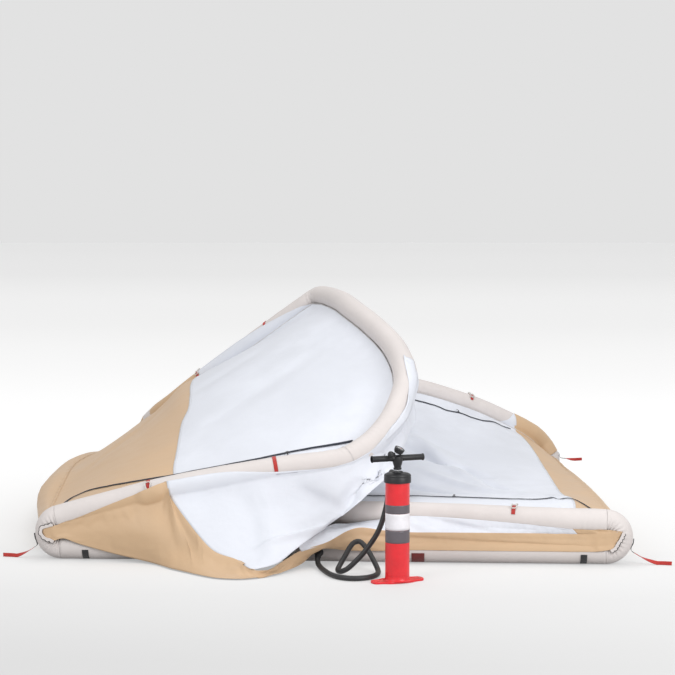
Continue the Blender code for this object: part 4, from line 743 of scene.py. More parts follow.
# %% Tabs, and hanks on them
GUY_CORD_DIAMETER = 0.003
HANK_LENGTH = 0.080
HANK_WIDTH = 0.030
HANK_PITCH = 0.0039
HANK_TAIL = 0.020
HANK_TURNS = 2
HANK_TURN_POINTS = 32
HANK_WAIST_SHARE = 0.25
WEBBING = 0.0018
WEBBING_WIDTH = 0.018
BAND_STEPS = 10
TAB_HALF_TURN = 60
TAB_SHARES = [
    ("left_crown", (-0.189, 0.363, 0.804), (-0.5, 0.0, 0.8), None),
    ("left_back", (-0.345, 0.407, 0.558), (-0.5, 0.0, 0.8), -10),
    ("left_front", (-0.304, -0.507, 0.272), (0.0, -0.7, 0.7), 20),
    ("left_middle", (-0.095, -0.481, 0.347), (0.0, -0.5, 0.8), None),
    ("right_back", (0.2525, 0.437, 0.415), (0.2, 0.1, 0.9), 10),
    ("right_front", (0.304, -0.493, 0.196), (0.0, 0.0, 1.0), 0),
]


def beam_run(path, spot):
    """The spot on a beam's straight runs that is nearest to a point, off the joints between them."""
    mids = (path[:-1] + path[1:]) / 2
    i = int(np.argmin(np.linalg.norm(mids - spot, axis=1)))
    run = path[i + 1] - path[i]
    share = min(max((spot - path[i]) @ run / (run @ run), 0.2), 0.8)
    return path[i] + run * share, unit(run)


def beam_axes(along, facing):
    facing = points(facing)
    out = unit(facing - along * (facing @ along))
    return out, np.cross(along, out)


def band_piece(name, middle, along, facing, start, end, width, finish, lift=0.0):
    """A strip of webbing laid part of the way round a beam."""
    out, side = beam_axes(along, facing)
    reach = (BEAM_RADIUS + SEAT) / math.cos(math.radians((end - start) / BAND_STEPS / 2)) + lift
    rings = []
    for angle in np.radians(np.linspace(start, end, 41)):
        way = out * math.cos(angle) + side * math.sin(angle)
        rings.append([middle + along * width * share + way * (reach + WEBBING * 0.5)
                      for share in np.linspace(-0.5, 0.5, 7)])
    return sheet_piece(name, points(rings), finish, WEBBING * 0.9)


def hank_line(middle, along, facing, lean):
    out, side = beam_axes(along, facing)
    base = ((BEAM_RADIUS + SEAT) / math.cos(math.radians(TAB_HALF_TURN / BAND_STEPS)) + WEBBING + SEAT
            + GUY_CORD_DIAMETER / 2)

    def on_beam(u, w, lift):
        turn = u / base + math.radians(lean)
        return middle + along * w + (out * math.cos(turn) + side * math.sin(turn)) * (base + lift)

    half = HANK_LENGTH / 2
    line = [on_beam(half, -HANK_TAIL * share, 0.0) for share in (1.0, 0.75, 0.5, 0.25)]
    for k in range(HANK_TURNS * HANK_TURN_POINTS + 1):
        turn = 2 * math.pi * k / HANK_TURN_POINTS
        waist = HANK_WAIST_SHARE + (1 - HANK_WAIST_SHARE) * math.cos(turn) ** 2
        line.append(on_beam(half * math.cos(turn), HANK_WIDTH * math.sin(turn) * waist,
                            HANK_PITCH * k / HANK_TURN_POINTS))
    top = HANK_PITCH * HANK_TURNS
    return points(line + [on_beam(half, HANK_TAIL * share, top) for share in (0.25, 0.5, 0.75, 1.0)])


for name, share, facing, lean in TAB_SHARES:
    side_name = name.split("_")[0]
    path = LEFT_PATH if side_name == "left" else RIGHT_PATH
    body = "arch_" + side_name
    middle, along = beam_run(path, places(share))
    tab = band_piece("red_tab_" + name, middle, along, facing, -TAB_HALF_TURN, TAB_HALF_TURN, WEBBING_WIDTH,
                     RED_WEBBING)
    dress(tab, body, "red_webbing", "tab_" + name)
    if lean is not None:
        line = hank_line(middle, along, facing, lean)
        wound = tube_piece("guy_line_" + name, line, GUY_CORD_DIAMETER / 2, 10, GUY_CORD)
        dress(wound, body, "guy_cord", "hank_" + name)

# %% [markdown]
# ## Air-beam sleeves
# An air beam is an inner tube in a woven sleeve. Where a beam is straight the sleeve is tight and nearly
# smooth. Where it bends, the cloth on the inside of the bend is too long, and it puckers in pleats across
# the beam. So each ring of the sleeve is dented by an amount that follows from how sharply the middle line
# turns there, on the side that it turns to.

# %% Sleeves
SLEEVE_SIDES = 56
SLEEVE_STEP = 0.006


def pleats(line, ways, first, second, sides, pitch, depth, seed):
    """How far each point of a sleeve is drawn in, in metres."""
    run = run_of(line)
    bending = np.gradient(ways, axis=0) / np.gradient(run)[:, None]
    sharp = np.linalg.norm(bending, axis=1)
    kernel = np.ones(9) / 9
    sharp = np.convolve(np.pad(sharp, 4, mode="edge"), kernel, mode="valid")
    inward = unit(bending)
    dents = np.zeros((len(line), sides))
    offset = Vector((seed * 7.3, seed * 1.7, 0.0))
    for r in range(len(line)):
        strain = min(sharp[r] * BEAM_RADIUS, 0.95)
        for k in range(sides):
            turn = 2 * math.pi * k / sides
            way = first[r] * math.cos(turn) + second[r] * math.sin(turn)
            lean = float(way @ inward[r])
            spot = Vector(line[r] + way * BEAM_RADIUS)
            loose = noise.noise(spot * 9.0 + offset)
            fine = noise.noise(spot * 34.0 + offset)
            dent = 0.0007 + 0.0011 * loose + 0.0005 * fine
            if lean > -0.7:
                phase = run[r] / pitch + 0.35 * loose + 0.16 * math.sin(turn * 3 + seed)
                wave = 0.5 - 0.5 * math.cos(2 * math.pi * phase)
                dent += depth * math.sqrt(strain) * ((lean + 0.7) / 1.7) ** 1.4 * wave ** 1.5
            dents[r, k] = max(dent, 0.0)
    return dents


def sleeve(name, line, finish, pitch=0.026, depth=0.006, seed=1.0):
    """A puckered round sleeve along a line, in rings a few millimetres apart."""
    ways, first, second = tube_frames(line)
    sides = SLEEVE_SIDES
    dents = pleats(line, ways, first, second, sides, pitch, depth, seed)
    turns = np.linspace(0.0, 2 * math.pi, sides, endpoint=False)
    spread = first[:, None] * np.cos(turns)[None, :, None] + second[:, None] * np.sin(turns)[None, :, None]
    rings = line[:, None] + spread * (BEAM_RADIUS - dents)[:, :, None]
    rings = np.concatenate([rings, rings[:, :1]], axis=1)
    verts = np.concatenate([rings.reshape(-1, 3), line[:1], line[-1:]])
    columns = sides + 1
    faces = [tuple(reversed(f)) for f in grid_faces(len(line), columns)]
    start, end = len(verts) - 2, len(verts) - 1
    last = (len(line) - 1) * columns
    for k in range(sides):
        faces.append((start, k + 1, k))
        faces.append((end, last + k, last + k + 1))
    run = np.repeat(run_of(line), columns)
    girth = np.tile(np.linspace(0.0, math.pi * BEAM_DIAMETER, columns), len(line))
    uv = np.concatenate([np.stack([girth, run], 1), [[0.0, 0.0], [0.0, run[-1]]]])
    made = piece(name, verts, faces, finish, uv)
    bm = bmesh.new()
    bm.from_mesh(made.data)
    bmesh.ops.remove_doubles(bm, verts=bm.verts, dist=0.00001)
    bmesh.ops.recalc_face_normals(bm, faces=bm.faces)
    bm.to_mesh(made.data)
    bm.free()
    return made


def evenly(line, step):
    return resample(line, max(int(round(run_of(line)[-1] / step)), 2))


LEFT_LINE = evenly(through(LEFT_PATH, 8), SLEEVE_STEP)
RIGHT_LINE = evenly(through(RIGHT_PATH, 8), SLEEVE_STEP)
DROP = points((0.0, 0.0, BEND_RADIUS))
HALF_GAP = points((SEAT, 0.0, 0.0))
FRONT_BEAM = points((FRONT_LEFT - DROP + HALF_GAP, FRONT_RIGHT - DROP - HALF_GAP))
BACK_BEAM = points((BACK_LEFT - DROP + HALF_GAP, BACK_RIGHT - DROP - HALF_GAP))
for node, line, body, seed in (
        ("arch_beam_left", LEFT_LINE, "arch_left", 1.0), ("arch_beam_right", RIGHT_LINE, "arch_right", 2.0),
        ("ground_beam_front", evenly(FRONT_BEAM, SLEEVE_STEP * 2), "tent_base", 3.0),
        ("ground_beam_back", evenly(BACK_BEAM, SLEEVE_STEP * 2), "tent_base", 4.0)):
    made = sleeve("sleeve_" + node, line, SLEEVE, seed=seed)
    dress(made, body, "beam_fabric", node)
    print(made.name, triangles(made), "triangles")

# %% [markdown]
# ## Corner bends
# At each corner the sleeve turns back on itself in a tight U. The outside of the turn is stretched
# smooth, and all the spare cloth gathers on the inside, so deep pleats run in from the sides and meet
# there. It is the same sleeve as before, with closer and deeper pleats.

# %% Gathered corners
for node, middle, rise in (("corner_bend_front_left", FRONT_LEFT, LEFT_RISES[0]),
                           ("corner_bend_back_left", BACK_LEFT, LEFT_RISES[1]),
                           ("corner_bend_front_right", FRONT_RIGHT, RIGHT_RISES[0]),
                           ("corner_bend_back_right", BACK_RIGHT, RIGHT_RISES[1])):
    bend = points([middle + spoke(middle, angle) * BEND_RADIUS for angle in np.linspace(-90, 90 - rise, 90)])
    made = sleeve("gathered_" + node, bend, SLEEVE, pitch=0.0155, depth=0.0190,
                  seed=float(middle[0] + middle[1]))
    dress(made, "tent_base", "beam_fabric", node)
print("corner bends done")

# %% [markdown]
# ## Cloth between the beams
# Each cloth starts from a coarse grid that is sewn to its beams along some edges. The two end walls fill
# the inside of the arches. A skirt hangs below each of them, a white drape and a tan band lie along the
# front, and a roof and a back wall hang between the two arches. These are the CAD model's own grids.

# %% Coarse cloth grids
SKIRT_ROWS = 6
SKIRT_SHOULDER_SHARE = 0.45
SKIRT_LIFT_SHARE = -0.20
SKIRT_REACH_SHARE = 0.65

LEFT_BASE_SHARES = [
    (-0.499, -0.389, 0.152), (-0.516, -0.278, 0.158), (-0.529, -0.167, 0.171), (-0.541, -0.056, 0.190),
    (-0.553, 0.090, 0.196), (-0.550, 0.250, 0.190), (-0.525, 0.385, 0.175),
]
RIGHT_BASE_SHARES = [
    (0.470, -0.352, 0.164), (0.462, -0.056, 0.160), (0.447, 0.204, 0.150), (0.434, 0.389, 0.150),
]

SKIRT_COLUMNS = [1, 3, 6, 10, 13, 15]
LEFT_SKIRT_SHARES = [
    [(-0.514, 0.100), (-0.513, 0.032), (-0.500, 0.006)],
    [(-0.543, 0.130), (-0.540, 0.060), (-0.510, 0.006)],
    [(-0.580, 0.152), (-0.578, 0.072), (-0.520, 0.006)],
    [(-0.604, 0.130), (-0.598, 0.052), (-0.525, 0.006)],
    [(-0.598, 0.115), (-0.590, 0.036), (-0.515, 0.006)],
    [(-0.535, 0.090), (-0.525, 0.032), (-0.500, 0.006)],
]
RIGHT_SKIRT_SHARES = [
    [(0.486, 0.104), (0.489, 0.056), (0.480, 0.006)], [(0.482, 0.112), (0.486, 0.056), (0.474, 0.006)],
    [(0.476, 0.118), (0.480, 0.056), (0.467, 0.006)], [(0.464, 0.110), (0.468, 0.056), (0.456, 0.006)],
    [(0.447, 0.096), (0.451, 0.056), (0.441, 0.006)], [(0.434, 0.080), (0.436, 0.048), (0.428, 0.006)],
]

DRAPE_STATIONS = [5, 8, 11, 14, 16, 17, 19]
WHITE_DRAPE_SHARES = [
    [(-0.232, -0.556, 0.164), (-0.189, -0.596, 0.080), (-0.149, -0.622, 0.054), (-0.119, -0.648, 0.026)],
    [(-0.129, -0.552, 0.200), (-0.107, -0.589, 0.132), (-0.093, -0.619, 0.084), (-0.080, -0.630, 0.044)],
    [(-0.043, -0.522, 0.232), (-0.050, -0.556, 0.172), (-0.054, -0.578, 0.124), (-0.051, -0.593, 0.085)],
    [(0.018, -0.500, 0.264), (0.007, -0.519, 0.216), (0.000, -0.537, 0.176), (-0.008, -0.544, 0.145)],
    [(0.071, -0.456, 0.344), (0.057, -0.474, 0.296), (0.046, -0.493, 0.248), (0.038, -0.507, 0.214)],
    [(0.120, -0.385, 0.440), (0.107, -0.407, 0.384), (0.096, -0.437, 0.336), (0.088, -0.456, 0.301)],
    [(0.140, -0.308, 0.536), (0.131, -0.330, 0.480), (0.123, -0.356, 0.432), (0.119, -0.381, 0.388)],
]
TAN_HEM_SHARES = [
    [(-0.446, -0.526, 0.120), (-0.446, -0.527, 0.104), (-0.446, -0.527, 0.088)],
    [(-0.416, -0.526, 0.150), (-0.417, -0.528, 0.110), (-0.418, -0.527, 0.066)],
    [(-0.361, -0.522, 0.186), (-0.362, -0.533, 0.120), (-0.364, -0.530, 0.034)],
    [(-0.299, -0.520, 0.208), (-0.298, -0.546, 0.126), (-0.299, -0.546, 0.008)],
    [(-0.266, -0.519, 0.207), (-0.262, -0.562, 0.100), (-0.257, -0.593, 0.006)],
    [(-0.232, -0.556, 0.157), (-0.220, -0.593, 0.070), (-0.212, -0.637, 0.006)],
    [(-0.191, -0.596, 0.074), (-0.184, -0.630, 0.034), (-0.175, -0.667, 0.006)],
    [(-0.151, -0.622, 0.047), (-0.144, -0.650, 0.022), (-0.135, -0.674, 0.006)],
    [(-0.119, -0.646, 0.020), (-0.111, -0.655, 0.012), (-0.104, -0.658, 0.006)],
    [(-0.090, -0.626, 0.026), (-0.087, -0.633, 0.014), (-0.085, -0.640, 0.006)],
    [(-0.068, -0.596, 0.046), (-0.068, -0.606, 0.026), (-0.068, -0.611, 0.008)],
    [(-0.045, -0.574, 0.070), (-0.045, -0.576, 0.044), (-0.045, -0.570, 0.018)],
    [(-0.005, -0.556, 0.094), (-0.007, -0.556, 0.078), (-0.014, -0.552, 0.066)],
    [(0.028, -0.540, 0.131), (0.029, -0.542, 0.090), (0.030, -0.536, 0.056)],
    [(0.052, -0.531, 0.142), (0.054, -0.536, 0.096), (0.057, -0.530, 0.053)],
    [(0.087, -0.525, 0.130), (0.089, -0.531, 0.092), (0.093, -0.528, 0.053)],
]

ROOF_LEFT_STATIONS = [19, 21, 24, 26, 28, 30]
ROOF_RIGHT_STATIONS = [17, 20, 23, 26, 28, 30]
ROOF_LEFT_SIDES = [(0.5, -0.1, -0.8), (0.5, 0.3, -0.8)]
ROOF_RIGHT_SIDES = [(0.9, 0.0, 0.4), (0.0, 0.3, 0.9)]
ROOF_ROWS = 9
ROOF_STEPS = 15
ROOF_SHARES = [
    [(0.140, -0.263, 0.528), (0.122, -0.270, 0.416), (0.079, -0.270, 0.330)],
    [(0.136, -0.130, 0.592), (0.123, -0.130, 0.448), (0.079, -0.130, 0.362)],
    [(0.110, 0.019, 0.656), (0.100, 0.019, 0.512), (0.064, 0.019, 0.434)],
    [(0.074, 0.167, 0.730), (0.071, 0.167, 0.602), (0.046, 0.167, 0.540)],
    [(0.030, 0.296, 0.768), (0.038, 0.296, 0.680), (0.034, 0.290, 0.620)],
    [(-0.005, 0.385, 0.780), (0.030, 0.385, 0.690), (0.046, 0.378, 0.620)],
]

BACK_LEFT_STATIONS = [41, 39, 36, 33, 31]
BACK_RIGHT_STATIONS = [32, 34, 37, 39, 41]
BACK_ROWS = 6
BACK_STEPS = 20
BACK_SIDES = [(0.0, 1.0, -0.2), (0.0, 1.0, -0.2)]
SADDLE_SHARES = [
    (0.010, 0.405, 0.735),
]
BACK_SEAM_SHARES = [
    (-0.440, 0.540, 0.180), (-0.380, 0.530, 0.250), (-0.286, 0.515, 0.340), (-0.190, 0.508, 0.420),
    (-0.090, 0.505, 0.450), (-0.006, 0.507, 0.400), (0.075, 0.510, 0.330), (0.160, 0.515, 0.290),
    (0.240, 0.525, 0.255), (0.320, 0.535, 0.210), (0.385, 0.540, 0.160),
]


LEFT_WALL_SWELL_SHARES = (-0.025, 0.000, 0.025)
LEFT_POUCH_SHARES = (0.042, 0.000, -0.046)
RIGHT_WALL_SWELL_SHARES = (0.010, 0.000, -0.030)
LEFT_TAN_ROWS = 6
STRIP_STATIONS = [10, 8, 6, 4, 3, 1]
HEM_ANGLE = 4
SHOULDER_ANGLE = 38
BAND_TOP_SHARE = 1.18
BAND_PUFF_SHARE = 0.20
FORWARD = points((0.0, -1.0, 0.0))


def rim(path, stations, centre, reach=RIM):
    """Points beside a beam, off its middle line towards the middle of the wall that it carries."""
    ways = tangents(path)[stations]
    inward = centre - path[stations]
    inward -= ways * np.sum(inward * ways, axis=1, keepdims=True)
    return path[stations] + unit(inward) * reach


def held_row(path, stations, sides):
    """Where cloth is sewn to a beam, on a side that turns from the first station to the last."""
    ways = tangents(path)[stations]
    share = np.linspace(0.0, 1.0, len(stations))[:, None]
    out = points(sides[0]) * (1 - share) + points(sides[1]) * share
    out -= ways * np.sum(out * ways, axis=1, keepdims=True)
    return path[stations] + unit(out) * RIM


def sew(path, grid, row, first=0, last=None):
    """Draws part of one edge of a grid onto a beam, and keeps the rest of the grid outside it."""
    grid = grid.copy()
    edge = np.zeros(grid.shape[:2], bool)
    edge[row, first:None if last is None else last + 1] = True
    near = nearest_on(path, grid)
    out = grid - near
    apart = np.linalg.norm(out, axis=2)
    reach = RIM + SEW_CLEARANCE + np.where(edge, 0.0, CLOTH * 1.5)
    moved = edge | (apart < reach)
    grid[moved] = (near + unit(out) * reach[:, :, None])[moved]
    for c in range(grid.shape[1] - 1):
        middle = (grid[:, c] + grid[:, c + 1]) / 2
        out = middle - nearest_on(path, middle)
        short = np.maximum(RIM + SEW_CLEARANCE - np.linalg.norm(out, axis=1), 0.0)[:, None]
        grid[:, c] += unit(out) * short
        grid[:, c + 1] += unit(out) * short
    return grid


def swell(grid, rows, amount, lean):
    """Pushes the inside of a grid's first rows along a direction, most in their middle."""
    amount = points(amount) * ARCH_HEIGHT
    down = np.sin(np.pi * np.arange(rows + 1) / rows)
    across = np.sin(np.pi * (np.arange(grid.shape[1]) / (grid.shape[1] - 1)) ** lean)
    grid[:rows + 1] += down[:, None, None] * across[None, :, None] * amount
    return grid


def wall_grid(path, base_shares):
    """The cloth wall inside an arch, ruled between its beam on three sides and its foot."""
    centre = path.mean(axis=0)
    front = rim(path, list(range(LEG_STEPS + 1)), centre)
    top = rim(path, list(range(LEG_STEPS, LEG_STEPS + CROWN_STEPS + 1)), centre)
    back = rim(path, list(range(LAST, LEG_STEPS + CROWN_STEPS - 1, -1)), centre)
    base = resample(through(np.concatenate([front[:1], places(base_shares), back[:1]]), 12), CROWN_STEPS)
    u = np.linspace(0.0, 1.0, LEG_STEPS + 1)[:, None, None]
    w = np.linspace(0.0, 1.0, CROWN_STEPS + 1)[None, :, None]
    ruled = base * (1 - u) + top * u + front[:, None] * (1 - w) + back[:, None] * w
    corners = (base[0] * (1 - w) + base[-1] * w) * (1 - u) + (top[0] * (1 - w) + top[-1] * w) * u
    return ruled - corners


def net_grid(net, rows, columns):
    """A smooth grid through a coarse net of columns, each a list of points."""
    fine = np.stack([resample(through(column, 12), rows) for column in net])
    return np.stack([resample(through(fine[:, r], 12), columns) for r in range(rows + 1)])


def skirt_grid(wall, share_columns):
    """The slack cloth below an end wall, folded out and down to the ground."""
    net = []
    for c, shares in zip(SKIRT_COLUMNS, share_columns):
        foot = wall[0, c]
        below = [points((x * TENT_LENGTH, foot[1], z * ARCH_HEIGHT)) for x, z in shares]
        shoulder = foot + (below[0] - foot) * SKIRT_SHOULDER_SHARE
        lift = 0.0 if below[0][0] > 0 else SKIRT_LIFT_SHARE
        shoulder[2] = foot[2] + (foot[2] - below[0][2]) * lift
        shoulder[0] = foot[0] + (below[0][0] - foot[0]) * SKIRT_REACH_SHARE
        net.append(points([foot, shoulder] + below))
    first, last = SKIRT_COLUMNS[0], SKIRT_COLUMNS[-1]
    fine = net_grid(net, SKIRT_ROWS, last - first)
    foot = wall[0, first:last + 1]
    below = fine[1] - foot
    up = wall[1, first:last + 1] - foot
    away = below - up * np.sum(below * up, axis=1, keepdims=True) / np.sum(up * up, axis=1, keepdims=True)
    fine[0] = foot + unit(unit(below) + unit(away)) * (CLOTH + SEAM)
    return fine


def on_front_beam(x, angle, lift):
    """A point beside the front ground beam, at an angle up from straight forward."""
    turn = math.radians(angle)
    reach = BEAM_RADIUS + lift
    return points((x, FRONT - reach * math.cos(turn), BEAM_RADIUS + reach * math.sin(turn)))


def on_back_beam(x, angle, lift):
    point = on_front_beam(x, angle, lift)
    return points((x, BACK + FRONT - point[1], point[2]))


left_wall = wall_grid(LEFT_PATH, LEFT_BASE_SHARES)
left_wall = swell(left_wall, LEG_STEPS, LEFT_WALL_SWELL_SHARES, 1.0)
left_wall = swell(left_wall, LEFT_TAN_ROWS, LEFT_POUCH_SHARES, 2.2)
right_wall = swell(wall_grid(RIGHT_PATH, RIGHT_BASE_SHARES), LEG_STEPS, RIGHT_WALL_SWELL_SHARES, 1.0)
left_skirt = skirt_grid(left_wall, LEFT_SKIRT_SHARES)
right_skirt = skirt_grid(right_wall, RIGHT_SKIRT_SHARES)

lift = SEAM + CLOTH / 2
puff = BEAM_RADIUS * BAND_PUFF_SHARE
hem_net = [places(column) for column in TAN_HEM_SHARES]
for point in held_row(RIGHT_PATH, STRIP_STATIONS, [FORWARD, FORWARD]):
    top = points((point[0], FRONT - BEAM_RADIUS + puff, BEAM_DIAMETER * BAND_TOP_SHARE))
    hem_net.append(points([top, on_front_beam(point[0], SHOULDER_ANGLE, lift + puff),
                           on_front_beam(point[0], HEM_ANGLE, lift)]))

high = held_row(LEFT_PATH, ROOF_LEFT_STATIONS, ROOF_LEFT_SIDES)
low = held_row(RIGHT_PATH, ROOF_RIGHT_STATIONS, ROOF_RIGHT_SIDES)
net = [np.concatenate([[a], places(column), [b]]) for a, b, column in zip(high, low, ROOF_SHARES)]
roof = sew(RIGHT_PATH, sew(LEFT_PATH, net_grid(net, ROOF_ROWS, ROOF_STEPS), 0), ROOF_ROWS)

tops = np.concatenate([held_row(LEFT_PATH, BACK_LEFT_STATIONS, BACK_SIDES), places(SADDLE_SHARES),
                       held_row(RIGHT_PATH, BACK_RIGHT_STATIONS, BACK_SIDES)])
white_net, tan_net = [], []
lift = SEAM + CLOTH
for high, low in zip(tops, places(BACK_SEAM_SHARES)):
    start = low + unit(low - high) * CLOTH
    white_net.append(points([high, (high + low) / 2, low]))
    tan_net.append(points([start, on_back_beam(low[0], SHOULDER_ANGLE * 1.5, lift + CLOTH * 4),
                           on_back_beam(low[0], SHOULDER_ANGLE, lift * 3),
                           on_back_beam(low[0], HEM_ANGLE, lift * 3)]))
back_white = sew(LEFT_PATH, net_grid(white_net, BACK_ROWS, BACK_STEPS), 0, 0, BACK_STEPS // 2 - 2)
back_white = sew(RIGHT_PATH, back_white, 0, BACK_STEPS // 2 + 2)
back_tan = net_grid(tan_net, BACK_ROWS, BACK_STEPS)
print("coarse cloths", left_wall.shape, roof.shape, back_white.shape)

# %% [markdown]
# ## Letting the cloth fall into folds
# Slack cloth has more length than the gap it fills, and it takes that up in folds. Blender's Cloth does
# the same when its rest lengths are grown by a few percent and its sewn edges are pinned. The grown cloth
# buckles as it settles. How far a point may move is capped, so that the folds stay in the room that the
# CAD solid holds. Fine crumples, left from folding the tent into its bag, are added afterwards.

# %% Cloth simulation
SETTLE_FRAMES = 16


def settle(name, grid, held, give, cap, pull=1.0, stiff=0.6):
    """Runs Cloth on a grid with its held points pinned, and returns the grid that it settles in."""
    rows, columns = grid.shape[:2]
    made = piece(name, grid.reshape(-1, 3), grid_faces(rows, columns), WHITE)
    group = made.vertex_groups.new(name="held")
    for index in np.flatnonzero(held.ravel()):
        group.add([int(index)], 1.0, "REPLACE")
    cloth_modifier = made.modifiers.new("cloth", "CLOTH")
    rules = cloth_modifier.settings
    rules.vertex_group_mass = "held"
    rules.quality = 4
    rules.mass = 0.15
    rules.air_damping = 2.0
    rules.tension_stiffness = 20.0
    rules.compression_stiffness = 20.0
    rules.shear_stiffness = 8.0
    rules.bending_stiffness = stiff
    rules.shrink_min = -give
    rules.effector_weights.gravity = pull
    cloth_modifier.collision_settings.use_collision = False
    cloth_modifier.point_cache.frame_start = 1
    cloth_modifier.point_cache.frame_end = SETTLE_FRAMES
    for number in range(1, SETTLE_FRAMES + 1):
        SCENE.frame_set(number)
    mesh = bpy.data.meshes.new_from_object(made.evaluated_get(bpy.context.evaluated_depsgraph_get()))
    settled = np.zeros(len(mesh.vertices) * 3)
    mesh.vertices.foreach_get("co", settled)
    bpy.data.objects.remove(made)
    bpy.data.meshes.remove(mesh)
    SCENE.frame_set(1)
    moved = settled.reshape(grid.shape) - grid
    far = np.linalg.norm(moved, axis=2, keepdims=True)
    print("settled", name, "moves", round(float(far.max()), 4), "capped at", cap)
    return grid + moved * np.tanh(far / cap) * cap / np.maximum(far, 1e-9)


def edges_held(grid, *sides):
    held = np.zeros(grid.shape[:2], bool)
    for side in sides:
        index = {"first_row": (0, slice(None)), "last_row": (-1, slice(None)),
                 "first_column": (slice(None), 0), "last_column": (slice(None), -1)}[side]
        held[index] = True
    return held


def crumple(grid, depth, size, seed, keep=None):
    """Fine creases: sharp where the noise crosses its middle, and none along held edges."""
    normals = grid_normals(grid)
    rows, columns = grid.shape[:2]
    offset = Vector((seed * 3.1, seed * 5.7, seed * 1.3))
    out = grid.copy()
    for r in range(rows):
        for c in range(columns):
            spot = Vector(grid[r, c])
            broad = 1.0 - 2.0 * abs(noise.noise(spot / size + offset))
            small = 1.0 - 2.0 * abs(noise.noise(spot / (size * 0.37) + offset))
            share = 1.0 if keep is None else keep[r, c]
            out[r, c] += normals[r, c] * (depth * (broad * broad * 0.7 + small * 0.3) * share)
    return out


def calm(grid, *sides, over=6):
    """A share that falls from 1 inside a grid to 0 at the named edges."""
    rows, columns = grid.shape[:2]
    r = np.arange(rows)[:, None] * np.ones(columns)[None, :]
    c = np.ones(rows)[:, None] * np.arange(columns)[None, :]
    share = np.ones((rows, columns))
    for side in sides:
        gone = {"first_row": r, "last_row": rows - 1 - r,
                "first_column": c, "last_column": columns - 1 - c}[side]
        share = np.minimum(share, np.clip(gone / over, 0.0, 1.0))
    return share * share * (3 - 2 * share)


def fold(grid, start, end, height, width, sharp=1.0):
    """A ridge between two spots of a grid, each a share down and a share across it.

    A sharpness over 1 makes the side to the right of the line fall away faster than the other.
    """
    rows, columns = grid.shape[:2]
    a = grid[int(start[0] * (rows - 1)), int(start[1] * (columns - 1))]
    b = grid[int(end[0] * (rows - 1)), int(end[1] * (columns - 1))]
    normals = grid_normals(grid)
    mid = normals[int((start[0] + end[0]) / 2 * (rows - 1)), int((start[1] + end[1]) / 2 * (columns - 1))]
    way = b - a
    length = np.linalg.norm(way)
    way = way / length
    side = np.cross(mid, way)
    offset = grid - a
    along = (offset @ way) / length
    across = offset @ side
    taper = np.clip(np.sin(np.pi * np.clip(along, 0.0, 1.0)), 0.0, 1.0) ** 0.6
    reach = np.where(across > 0, width, width / sharp)
    ridge = np.exp(-(across / reach) ** 2)
    return grid + normals * (height * taper * ridge)[:, :, None]

# %% [markdown]
# ## The end walls
# Each end wall is tan near the ground and white above, and it hangs as one cloth. So it settles as one
# grid and is cut at the seam afterwards. The seam is a line over the grid, one row number for each place
# across it. The tan cloth goes on a little way under the white, as in a sewn lap.

# %% Left and right end walls
FINE = 7
LAP = 0.012
walls = {}


def on_grid(grid, rows, columns):
    """Points on a grid at fractional rows and columns, and the ways that the cloth faces there."""
    rows, columns = np.broadcast_arrays(points(rows), points(columns))
    r = np.clip(rows, 0, grid.shape[0] - 1.001)
    c = np.clip(columns, 0, grid.shape[1] - 1.001)
    i, j = r.astype(int), c.astype(int)
    u, w = (r - i)[..., None], (c - j)[..., None]

    def blend(values):
        return ((values[i, j] * (1 - w) + values[i, j + 1] * w) * (1 - u)
                + (values[i + 1, j] * (1 - w) + values[i + 1, j + 1] * w) * u)

    return blend(grid), unit(blend(grid_normals(grid)))


def cut_between(grid, low_rows, high_rows, count):
    """The part of a grid between two lines over it, each a row number for every column."""
    columns = np.arange(grid.shape[1], dtype=float)
    share = np.linspace(0.0, 1.0, count)[:, None]
    return on_grid(grid, low_rows * (1 - share) + high_rows * share, columns)[0]


def seam_rows(grid, knots):
    """A smooth seam over a grid from (column, row) knots in coarse steps."""
    knots = points(knots) * FINE
    line = through(knots, 12)
    return np.interp(np.arange(grid.shape[1]), line[:, 0], line[:, 1])


def under_lap(grid, inward):
    """Tucks the last rows of a grid a little way in, so that they lie under the next cloth."""
    grid = grid.copy()
    normals = grid_normals(grid)
    sign = np.sign(np.sum(normals * inward, axis=2, keepdims=True))
    shares = np.clip(np.arange(grid.shape[0]) - (grid.shape[0] - 6), 0, 4)[:, None, None] / 4
    return grid + normals * sign * shares * 0.0016


def over_back_leg(fine, beam, cover):
    """More columns for a wall, which wrap its cloth over the front of the back leg's beam."""
    edge = fine[:, -1]
    middle = nearest_on(beam, edge)
    ways = tangents(middle)
    out = unit(edge - middle)
    side = np.cross(ways, out)
    side *= np.sign(side @ points((0.0, -0.7, 0.7)))[:, None]
    rows = np.arange(len(edge)) / FINE
    turns = np.radians(np.interp(rows, [row for row, _ in cover], [turn for _, turn in cover]))
    wrapped = [middle + (out * np.cos(turns * k / 9)[:, None] + side * np.sin(turns * k / 9)[:, None])
               * (BEAM_RADIUS + 0.0022) for k in range(1, 10)]
    return np.concatenate([fine, np.stack(wrapped, axis=1)], axis=1)


